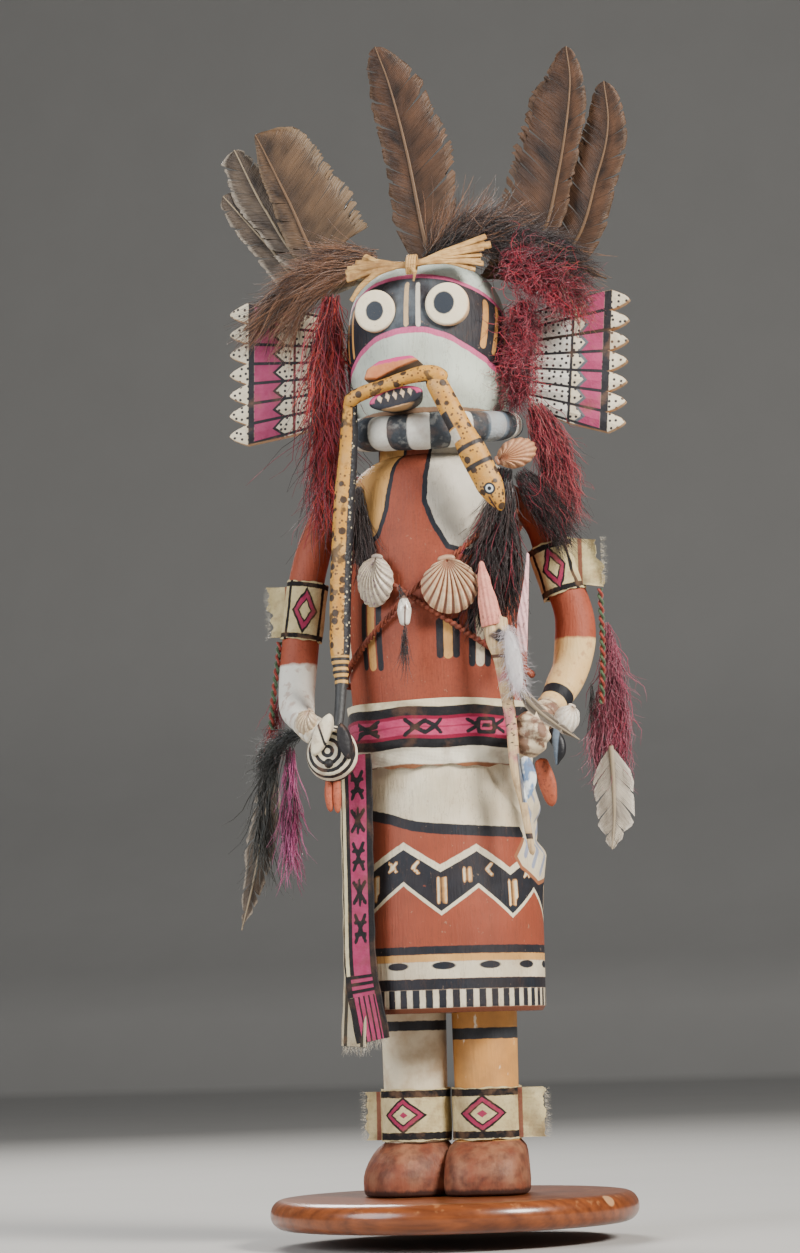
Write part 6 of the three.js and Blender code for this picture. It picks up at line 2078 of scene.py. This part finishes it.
def paint_sash():
    sheet = Sheet("woven_sash")
    run, across = sheet.field("run"), sheet.field("across")
    ragged = sheet.wobble(2.4, 4, 0.9)
    v = across + ragged * 0.4
    cream = sheet.mottled(5, 4, (200, 184, 140), (228, 216, 178))
    ink = sheet.mottled(3, 3, (20, 20, 23), (46, 43, 43))
    pink = sheet.mottled(3, 4, (150, 34, 76), (194, 84, 122))
    sheet.color = sheet.mix((v + 4.9).cover(), ink, pink)
    sheet.lay((sheet.field("marks") + ragged * 0.15).cover(0.25), ink)
    sheet.lay((v - 3.4).cover(), ink)
    sheet.lay((v - 5.3).cover(), cream)
    sheet.lay((v - 6.9).cover(), ink)
    low = run - 86
    bars = ((low / 2.7).part() - 0.5).cover(0.15)
    part = low.cover() * (8.1 - low).cover()
    sheet.lay(part, sheet.mix(bars * (5.2 - v.size()).cover(), ink, pink))
    end = (low - 8.1).cover()
    lines = ((v / 2.4 + 0.35).part() - 0.5).size()
    sheet.lay(end, sheet.mix((0.16 - lines).cover(0.06).most((v.size() - 5.4).cover()), pink, ink))
    sheet.lay(sheet.blots(8, 5, 0.58, 0.15) * 0.35, hue(116, 84, 64))
    return sheet.finish(sheet.color, rough=0.88, bump=weave(sheet, run, across), bump_mm=0.22, sheen=0.15,
                        specular=0.15)


def paint_back_sash():
    sheet = Sheet("plain_canvas")
    run, across = sheet.field("run"), sheet.field("across")
    sheet.color = sheet.mottled(7, 4, (176, 160, 128), (208, 196, 168))
    sheet.lay((across.size() - 3.6).least(5.4 - across.size()).cover(0.3) * 0.9, hue(30, 28, 30))
    sheet.lay(sheet.blots(5, 5, 0.58, 0.15) * 0.4, hue(130, 100, 76))
    return sheet.finish(sheet.color, rough=0.9, bump=weave(sheet, run, across), bump_mm=0.25, specular=0.15)


def hang_sash(name, path, halves, facing, material, node, seed, marks=False):
    body, run, across = cloth_strip(path, halves, facing, seed=seed)
    fields = {"run": run, "across": across}
    if marks:
        fields["marks"] = sash_motifs(run, across)
    piece = build(name, body, material, "sash", [node], smooth=50, fields=fields)
    line = spline(path, 60)
    side, over = frames(line, facing)[1:]
    threads = as_piece(f"{name}_fringe", fringe(name, line[-1], side[-1], over[-1], halves[-1] * 0.96, 90,
                                                4.0, FRAY, seed), "sash")
    length_of(line) * MM


hang_sash("hanging_sash_front", SASH_PATH, [7.4, 7.4, 7.8], SASH_FACING, paint_sash(), "hanging_sash", 3,
          True)
hang_sash("hanging_sash_under", BACK_PATH, [6.2, 6.2, 6.5], BACK_FACING, paint_back_sash(),
          "hanging_sash_back", 5)

# %% [markdown]
# ## The canvas bands
# Painted canvas is wrapped round both upper arms and both ankles, and each band has a flap at its outer
# side. A band is a tube round its limb, and the flap is a thin slab with loose threads planted at its
# edge. Both are one piece, so that the paint runs over them without a seam.

# %% Canvas bands


def sleeve(low, high, wide, deep, thick=1.0, sides=120, levels=14, seed=2):
    """A cloth band round a limb: how far round from the front and up from its lower edge each point is."""
    draw = np.random.default_rng(seed)
    axis = unit(high - low)
    side = unit(np.cross(axis, FRONT))
    over = np.cross(side, axis)
    height = float(np.linalg.norm(high - low))
    phase = draw.random(4) * 6
    rings, round_, up = [], [], []
    for i in range(sides):
        angle = 2 * math.pi * i / sides
        bearing = math.atan2(math.cos(angle), math.sin(angle))
        ragged_low = 0.25 * math.sin(5 * angle + phase[0]) + 0.15 * math.sin(11 * angle + phase[1])
        ragged_high = height + 0.25 * math.sin(4 * angle + phase[2]) + 0.15 * math.sin(13 * angle + phase[3])
        out = side * math.cos(angle), over * math.sin(angle)
        levels_ = np.linspace(ragged_low, ragged_high, levels)
        swell = 0.12 * np.sin(levels_ * 0.35 + 3 * angle)
        ring = [low + axis * h + out[0] * (wide + b) + out[1] * (deep + b) for h, b in zip(levels_, swell)]
        ring += [low + axis * h + out[0] * (wide - thick) + out[1] * (deep - thick)
                 for h in (ragged_high - 0.1, ragged_low + 0.1)]
        rings.append(ring)
        round_ += [bearing * (wide + deep) / 2] * (levels + 2)
        up += list(levels_) + [ragged_high, ragged_low]
    return loft(rings, looped=True), np.array(round_), np.array(up)


def loose_flap(side, x, y, z, width, height, skew=0.0, lean=0.0, seed=2):
    """The free end of a band, standing out to its side with a worn edge."""
    draw = np.random.default_rng(seed)
    columns, levels = 20, 26
    edge = width + skew * (1 - np.linspace(0, 1, levels)) + np.convolve(draw.normal(0, 1.0, levels + 2),
                                                                        [0.3, 0.4, 0.3], "valid")
    rings, round_, up = [], [], []
    for i in range(levels):
        h = height * i / (levels - 1)
        v = np.linspace(-2.5, edge[i], columns)
        curl = 1.1 * np.sin(v * 0.45 + h * 0.2 + seed) * np.clip(v / width, 0, 1)
        across = v * math.cos(lean)
        rise = h - v * math.sin(lean) * 0.5
        front = np.stack([x + side * across, y + curl - 0.45, z + rise], axis=1)
        rear = np.stack([x + side * across, y + curl + 0.45, z + rise], axis=1)[::-1]
        rings.append(np.vstack([front, rear]))
        round_ += list(100 + v) + list(100 + v[::-1])
        up += [h] * (2 * columns)
    return loft(rings), np.array(round_), np.array(up)


def paint_canvas(name, height, centre, diamond, panel, border):
    sheet = Sheet(name)
    away, up = sheet.field("round"), sheet.field("up")
    ragged = sheet.wobble(2.0, 4, 0.9)
    canvas = sheet.mottled(6, 4, (174, 156, 108), (218, 204, 160))
    canvas = sheet.mix(sheet.blots(1.6, 4, 0.60, 0.1) * 0.3, canvas, hue(150, 124, 96))
    ink = sheet.mottled(2, 3, (18, 18, 21), (44, 41, 41))
    pink = sheet.mottled(2, 3, (128, 30, 62), (172, 66, 96))
    flap = (away - 60).cover()
    shown = 1 - flap
    edge = (up - 0.5).least(-up + (height - 0.5))
    sheet.color = sheet.mix((edge + ragged).between(0, border) * (1 - flap * 0.85), canvas, ink)
    turn = away - centre + sheet.wobble(5, 2, 1.6)
    wide, high = diamond
    inside = (1 - turn.size() / wide - (up - height / 2).size()
              / high) * (wide * high / math.hypot(wide, high))
    inside = inside + ragged * 0.8
    for depth, paint in ((-0.5, ink), (0.3, pink), (1.7, ink), (2.3, canvas), (4.3, pink)):
        sheet.lay((inside - depth).cover() * shown, paint)
    if panel:
        posts = (0.8 - (turn.size() - panel).size() + ragged * 0.3).cover() * shown
        sheet.lay(posts, ink)
    sheet.lay((0.9 - (away - 101.2).size() + ragged * 0.5).cover() * flap * 0.8, hue(112, 20, 34))
    sheet.lay(sheet.blots(7, 5, 0.57, 0.15) * 0.4, hue(132, 100, 74))
    return sheet.finish(sheet.color, rough=0.9, bump=weave(sheet, away, up), bump_mm=0.25, specular=0.15)


def canvas_band(name, node, low, high, wide, deep, flap, paint, seed):
    low, high = vec(*low), vec(*high)
    tube, tube_round, tube_up = sleeve(low, high, wide, deep, seed=seed)
    tab, tab_round, tab_up = loose_flap(seed=seed, **flap)
    height = float(np.linalg.norm(high - low))
    fields = {"round": np.concatenate([tube_round, tab_round]), "up": np.concatenate([tube_up, tab_up])}
    piece = build(name, together(tube, tab), paint_canvas(f"{name}_canvas", height, **paint), "canvas",
                  [node], smooth=50, fields=fields)
    out = flap["side"] * (flap["width"] + flap.get("skew", 0) * 0.5)
    tip = vec(flap["x"] + out, flap["y"], flap["z"] + flap["height"] / 2)
    threads = as_piece(f"{name}_fray", fringe(name, tip, UP, FRONT, flap["height"] * 0.5, 150, 2.6, FRAY,
                                              seed, vec(flap["side"] * 1.0, 0, -0.15), 1.2), "canvas")


canvas_band("right_arm_canvas", "right_armband", (-55.2, -5.0, 233.6), (-52.0, -4.1, 257.2), 8.5, 8.2,
            dict(side=-1, x=-58.6, y=-7.6, z=235.4, width=9.0, height=20.5, skew=-1.2),
            dict(centre=2.0, diamond=(4.8, 8.6), panel=7.4, border=1.9), 21)
canvas_band("left_arm_canvas", "left_armband", (52.6, 1.2, 247.4), (46.8, 1.2, 267.6), 9.0, 8.6,
            dict(side=1, x=58.4, y=-1.4, z=251.0, width=7.4, height=18.5, skew=4.2, lean=0.28),
            dict(centre=0.0, diamond=(4.8, 8.8), panel=7.2, border=2.2), 22)
canvas_band("right_ankle_canvas", "right_ankle_band", (-14.3, 0, 33.0), (-14.3, 0, 53.2), 13.8, 14.5,
            dict(side=-1, x=-27.4, y=-4, z=33.4, width=6.0, height=19, skew=0.6),
            dict(centre=-2.5, diamond=(9.0, 6.6), panel=0, border=2.8), 23)
canvas_band("left_ankle_canvas", "left_ankle_band", (14.3, 0, 33.0), (14.3, 0, 53.2), 13.8, 14.5,
            dict(side=1, x=27.2, y=-4, z=33.4, width=10.6, height=19.4, skew=0.4),
            dict(centre=0.8, diamond=(9.6, 6.8), panel=0, border=2.8), 24)

# %% [markdown]
# ## Tassels
# Yarn, ribbons and feathers hang below the two armbands. Each bundle is planted with strands that suit
# its yarn, and it starts narrow where it is tied.

# %% Tassels
as_piece("wrist_yarn", blended(core([(-50, -25, 195), (-58, -23.4, 192.6), (-65, -20.6, 187.6),
                                     (-69, -18.8, 180)], [1.4, 2.6, 4.0, 2.0], [1.4, 2.0, 2.6, 1.6],
                                    GREY_YARN), flow("yarn", [(-50, -25, 195), (-58, -23.4, 192.6),
                                                              (-65, -20.6, 187.6), (-70, -18.6, 178)],
                                                     [1.6, 3.0, 4.8, 3.0], [1.6, 2.2, 3.0, 2.0], 420, 11,
                                                     WOOLLY, GREY_YARN, thick=1.5, spread=0.2, seed=6),
                               flow("yarn", [(-62, -21, 189), (-68, -17, 176), (-70, -15, 160),
                                             (-71, -14, 146)], [2.6, 3.2, 2.6, 1.6], [1.2, 1.4, 1.2, 1.0],
                                    110, 26, FINE, GREY_YARN, thick=1.6, spread=0.12, seed=12)),
         "yarn_grey", ["right_wrist_yarn"])
as_piece("dyed_ribbons", blended(flow("ribbons", [(-57.6, -18.4, 190), (-58.2, -17.8, 176),
                                                  (-58.6, -17.4, 161), (-58.8, -17.2, 147)],
                                      [1.8, 3.2, 3.8, 2.6], [1.0, 1.6, 1.6, 1.2], 220, 22, FINE, RIBBON,
                                      thick=1.8, spread=0.05, seed=7),
                                 flow("ribbons", [(-57.6, -18.4, 190), (-58.8, -17.8, 176),
                                                  (-59.6, -17.4, 161), (-60.2, -17.2, 147)],
                                      [1.8, 2.6, 3.0, 2.6], [1.0, 1.6, 1.6, 1.2], 60, 26, FINE, GREY_YARN,
                                      thick=1.3, spread=0.08, seed=8)), "wool_pink",
         ["right_tassel_ribbons"])
FEATHER_PAINTS["spotted"] = paint_feather("spotted_feather", (84, 70, 56), (184, 172, 152), (222, 214, 200),
                                          0.5, 0.2, (176, 160, 134))
feather("right_tassel_plume", [(-67.6, -9.6, 184), (-69, -9.8, 170), (-72.3, -9.8, 155), (-76, -9.6, 138),
                               (-81.6, -9.4, 118)], [2.2, 5.6, 6.4, 4.2, 0.6], [2.0, 6.4, 6.8, 4.0, 0.6],
        FEATHER_PAINTS["grey"], "feather_grey", ["right_tassel_feathers"], 41, tip=6, pinch=0.3, rag=0.12,
        slant=1.3)
feather("left_tassel_plume", [(68.6, 2.6, 186), (69.0, 3.0, 172), (68.8, 3.4, 158), (67.4, 3.6, 145)],
        [3.0, 8.2, 8.0, 2.6], [3.0, 8.6, 7.6, 2.8], FEATHER_PAINTS["spotted"], "feather_grey",
        ["left_tassel_feather"], 42, tip=8, pinch=0.25, rag=0.08, slant=1.1)

# %% [markdown]
# ## What the hands hold
# The right hand holds a striped bowl shape with two leaves. The left hand holds a split stick with a
# husk sheath, painted blades, down and a feather. They are small carvings of their own, because each
# was made apart and fixed to the hand.

# %% Right hand


def paint_bowl():
    sheet = Sheet("striped_bowl")
    across, rise = sheet.x + 34.4, sheet.z - 184.6
    from_middle = (across * across + rise * rise).maths("SQRT")
    ragged = sheet.wobble(1.8, 3, 0.5)
    stripe = ((from_middle * 0.34 + sheet.y * 0.10 + ragged * 0.4).part() - 0.5).size() * 2
    cream = sheet.mottled(4, 4, (206, 192, 160), (230, 222, 200))
    ink = sheet.mottled(3, 3, (16, 16, 19), (40, 38, 40))
    sheet.color = sheet.mix((stripe - 0.5).cover(0.1), ink, cream)
    leaf = (sheet.field("leaf") - 0.5).cover(0.2)
    pale_leaf = (1.5 - sheet.field("leaf")).cover(0.2)
    away = sheet.away_from(sheet.vector(sheet.x, sheet.z), (-36.0, 190.6, 0.0))
    vein = (0.5 - (sheet.x + 36 + (sheet.z - 190.6) * 0.31).size()).cover(0.3) * (7.5 - away).cover(1)
    white = sheet.mix(vein, cream, ink)
    sheet.lay(leaf, sheet.mix(pale_leaf, ink, white))
    sheet.lay(sheet.blots(5, 4, 0.6, 0.12) * 0.4, hue(128, 92, 70))
    return sheet.finish(sheet.color, rough=0.55, bump=sheet.noise(1.6, 4), bump_mm=0.3)


def leaf_form(x, z, wide, high, roll):
    facing = unit(vec(0.1, -1, 0.12))
    up = turned(UP, FRONT, roll)
    side = unit(np.cross(facing, up))
    steps = [(-48.8, 0.96), (-51.0, 1.0), (-52.8, 1.0), (-53.6, 0.94), (-54.0, 0.82)]
    return loft([oval(vec(x, y, z), side, up, wide * k, high * k, 40, 1.7) for y, k in steps])


bowl = limb([(-34.4, -36, 185), (-34.4, -44, 184), (-34.4, -51.4, 184.6)], [6.4, 10.2, 8.2], [6.6, 11.0, 8.8],
            steps=50, sides=56, facing=UP, shape=round_end(0.1, 0.16))
knob = limb([(-34.2, -49.5, 180), (-34.0, -53.4, 179.4)], [2.0, 1.8], [2.0, 1.8], steps=14, sides=16,
            facing=UP, shape=round_end(0, 0.5))
bowl_parts = [bowl, knob, leaf_form(-36.4, 190.8, 3.2, 8.8, -0.42), leaf_form(-27.4, 188.0, 2.6, 7.2, 0.20)]
STRIPED, PALE_LEAF, DARK_LEAF = 0.0, 1.0, 2.0
leaf_field = np.repeat([STRIPED, DARK_LEAF, PALE_LEAF, DARK_LEAF], [len(points) for points, _ in bowl_parts])
build("striped_bowl", together(*bowl_parts), paint_bowl(), "bundle_paint", ["right_hand_bowl"], smooth=50,
      fields={"leaf": leaf_field})


def paint_tab(name):
    sheet = Sheet(name)
    sheet.color = sheet.mottled(4, 4, (140, 66, 44), (190, 102, 70))
    sheet.lay(sheet.blots(1.4, 3, 0.6, 0.1) * 0.5, hue(84, 44, 34))
    return sheet.finish(sheet.color, rough=0.6, bump=sheet.noise(1.2, 4), bump_mm=0.3)


TAB_PAINT = paint_tab("finger_paint")
FINGERS = [[(-36.0, -43, 175.4), (-36.2, -43.4, 168), (-35.6, -43.6, 161.4)],
           [(-33.0, -43, 175.4), (-33.0, -43.4, 168), (-32.8, -43.6, 160.8)]]
fingertips = [limb(line, [1.4, 1.7, 1.3], [1.6, 1.8, 1.3], steps=30, sides=20, shape=round_end(0.1, 0.2))
              for line in FINGERS]
build("right_finger_tab", together(*fingertips), TAB_PAINT, "hand_tab", ["right_hand_tab"], smooth=60)
build("left_hip_finger", limb([(44.6, -25.4, 180), (47.2, -25.6, 170), (48.8, -25.4, 161)], [2.6, 3.4, 2.2],
                              [1.8, 2.0, 1.4], steps=30, sides=24, power=2.6, shape=round_end(0.1, 0.2)),
      TAB_PAINT, "hand_tab", ["left_hip_tab"], smooth=60)

# %% [markdown]
# ## The claw
# A small curved claw is fixed beside the left hand. It is a tapered limb along a bent path. The shader
# paints it blue-grey down the middle and near-black at its edges: painted light and shade across the claw.

# %% The claw by the left hand


def paint_claw():
    sheet = Sheet("claw_paint")
    # Blue-grey down the middle of the claw and near-black towards its edges: painted light and shade.
    tone = sheet.mottled(3, 3, (60, 70, 82), (120, 134, 148))
    edge = (51.6 - sheet.x + (sheet.z - 183) * 0.1).size() - 1.3
    sheet.color = sheet.mix(edge.cover(0.5), tone, hue(22, 22, 26))
    return sheet.finish(sheet.color, rough=0.45, bump=sheet.noise(1.4, 3), bump_mm=0.2)


build("left_claw", limb([(48.9, -28.0, 190.4), (51.6, -30.0, 187.6), (53.4, -31.0, 183.0),
                         (52.0, -31.4, 176.4)], [2.2, 2.8, 2.4, 0.6], [1.4, 1.8, 1.6, 0.6], steps=40,
                        sides=20, shape=round_end(0.1, 0.05)), paint_claw(), "bundle_paint", smooth=60)

# %% [markdown]
# ## The left hand's bundle
# The left hand holds a split stick in a husk sheath, with two painted blades, a tuft of down and a
# plume beside it. Stick and husk are one piece and the others are pieces of their own, because wood,
# paint, down and feather each need a material.

# %% Left hand


def paint_wand():
    sheet = Sheet("wand_stick_paint")
    z = sheet.z
    streak = sheet.noise(0.8, 4, place=sheet.stretched(1, 1, 0.10))
    sheet.color = sheet.mix(streak, hue(150, 106, 62), hue(236, 212, 166))
    stained = sheet.blots(7, 4, 0.50, 0.12) * (z - 178).cover(3) * (214 - z).cover(4)
    sheet.lay(stained * 0.75, hue(176, 84, 110))
    thread = (sheet.noise(2.4, 4, place=sheet.stretched(1, 1, 2))
              - 0.60).cover(0.03) * (z - 180).cover() * (206 - z).cover()
    sheet.lay(thread * 0.85, hue(34, 30, 34))
    patch_ = (0.9 - ((z - 227.4) / 3.4).size() - ((sheet.x - 32.6) / 2.8).size() * 0.6).cover(0.3)
    sheet.lay(patch_, hue(44, 40, 42))
    sheet.lay((1.1 - (z - 149).size()).cover(), hue(40, 38, 40))
    sheet.lay((0.7 - (z - 219.4).size()).cover(), hue(90, 60, 44))
    side = (sheet.x - 38.4 - (180 - z) * 0.08).cover(0.4) * (181 - z).cover() * (z - 162).cover()
    wash = (sheet.noise(4, 3, place=sheet.stretched(1, 1, 0.5)) - 0.5).cover(0.1)
    sheet.lay(side, sheet.mix(wash, hue(112, 136, 170), hue(224, 228, 226)))
    sheet.lay((0.6 - (sheet.x - 38.6 - (180 - z) * 0.08).size()).cover() * (181 - z).cover()
              * (z - 162).cover() * 0.8, hue(54, 54, 60))
    sheet.lay(sheet.blots(5, 5, 0.58, 0.15) * 0.4, hue(120, 88, 66))
    return sheet.finish(sheet.color, rough=0.6, bump=streak, bump_mm=0.35)


def husk_sheath():
    leaves = []
    for k in range(5):
        shift = (k - 2) * 1.7
        leaves.append(limb([(30.8 + shift, -38.0 - 0.5 * (k % 2), 236.4 - 0.8 * abs(k - 2)),
                            (31.6 + shift * 0.85, -38.4 - 0.6 * (k % 2), 226),
                            (31.8 + shift * 0.3, -38.0, 218.0)], [1.5, 1.7, 1.0], [0.8, 1.2, 1.2], steps=30,
                           sides=16, shape=round_end(0.06, 0)))
    return leaves


stick_body = limb([(31.6, -38, 222), (34.2, -38.6, 207), (36.2, -39.2, 191), (37.0, -39.2, 176),
                   (39.6, -38.8, 162), (42.6, -38, 141.6)], [2.4, 2.5, 2.2, 2.0, 1.5, 1.2],
                  [1.4, 1.4, 1.4, 1.4, 1.2, 1.0], steps=110, sides=20, power=2.6, shape=round_end(0, 0.03))
low_blade = limb([(40.4, -37.6, 180), (41.6, -37.4, 171), (40.6, -37.8, 163)], [2.4, 3.4, 1.6],
                 [0.8, 0.9, 0.7], steps=40, sides=20, shape=round_end(0.15, 0.15))
build("split_stick", together(*husk_sheath(), stick_body, low_blade), paint_wand(), "wand_wood",
      ["wand_stick"], smooth=50)


def paint_blade(name, first, second):
    sheet = Sheet(name)
    ridge = sheet.sine(sheet.x * 3.4 + sheet.z * 0.5) * 0.5 + 0.5
    sheet.color = sheet.mix((sheet.noise(5, 4) * 1.4 - 0.2).clamp(), hue(*first), hue(*second))
    sheet.lay(sheet.blots(1.2, 4, 0.60, 0.1) * 0.4, hue(150, 84, 72))
    return sheet.finish(sheet.color, rough=0.6, bump=ridge + sheet.noise(1, 3), bump_mm=0.3)


build("pink_blade", limb([(26.2, -38.6, 257.2), (27.0, -38.6, 250), (28.4, -38.4, 240),
                          (29.9, -38.2, 231.4)], [1.0, 2.6, 3.9, 4.4], [0.8, 1.6, 2.2, 2.4], steps=70,
                         sides=28, power=1.7, shape=round_end(0.05, 0.02)),
      paint_blade("pink_blade_paint", (206, 116, 104), (232, 164, 140)), "blade_paint", ["wand_blade"],
      smooth=50)
build("pale_blade", board([(43.8, 260), (44.6, 259.4), (43.6, 240), (42.4, 221), (38.4, 221), (39.2, 235),
                           (40.6, 241), (42.4, 250)], 1.4, -34.6),
      paint_blade("pale_blade_paint", (222, 160, 164), (238, 196, 192)), "blade_paint", ["wand_back_blade"],
      smooth=30, rounded=0.3)
as_piece("down_tuft", blended(core([(36.4, -41.6, 229), (38.4, -42.2, 218), (40.0, -42.6, 204.6)],
                                   [2.6, 4.6, 3.4], [1.8, 2.8, 2.2], WHITE_DOWN, 0.7),
                              flow("down", [(36.4, -41.6, 231), (38.4, -42.2, 218), (40.0, -42.6, 204)],
                                   [2.4, 4.0, 3.2], [1.6, 2.4, 2.0], 900, 6.5, WOOLLY, WHITE_DOWN,
                                   thick=0.9, spread=0.6, seed=9, reach=(0, 0.98))), "fluff",
         ["wand_fluff"])
feather("left_hand_plume", [(39.6, -41.0, 206.5), (46, -42.6, 198.4), (54, -41.6, 191.4),
                            (62.4, -38.4, 185.4)], [1.8, 2.8, 2.0, 0.6], [1.8, 2.9, 2.0, 0.6],
        FEATHER_PAINTS["grey"], "feather_grey", ["wand_feather"], 43, tip=6, pinch=0.4, rag=0.12, slant=1.0)
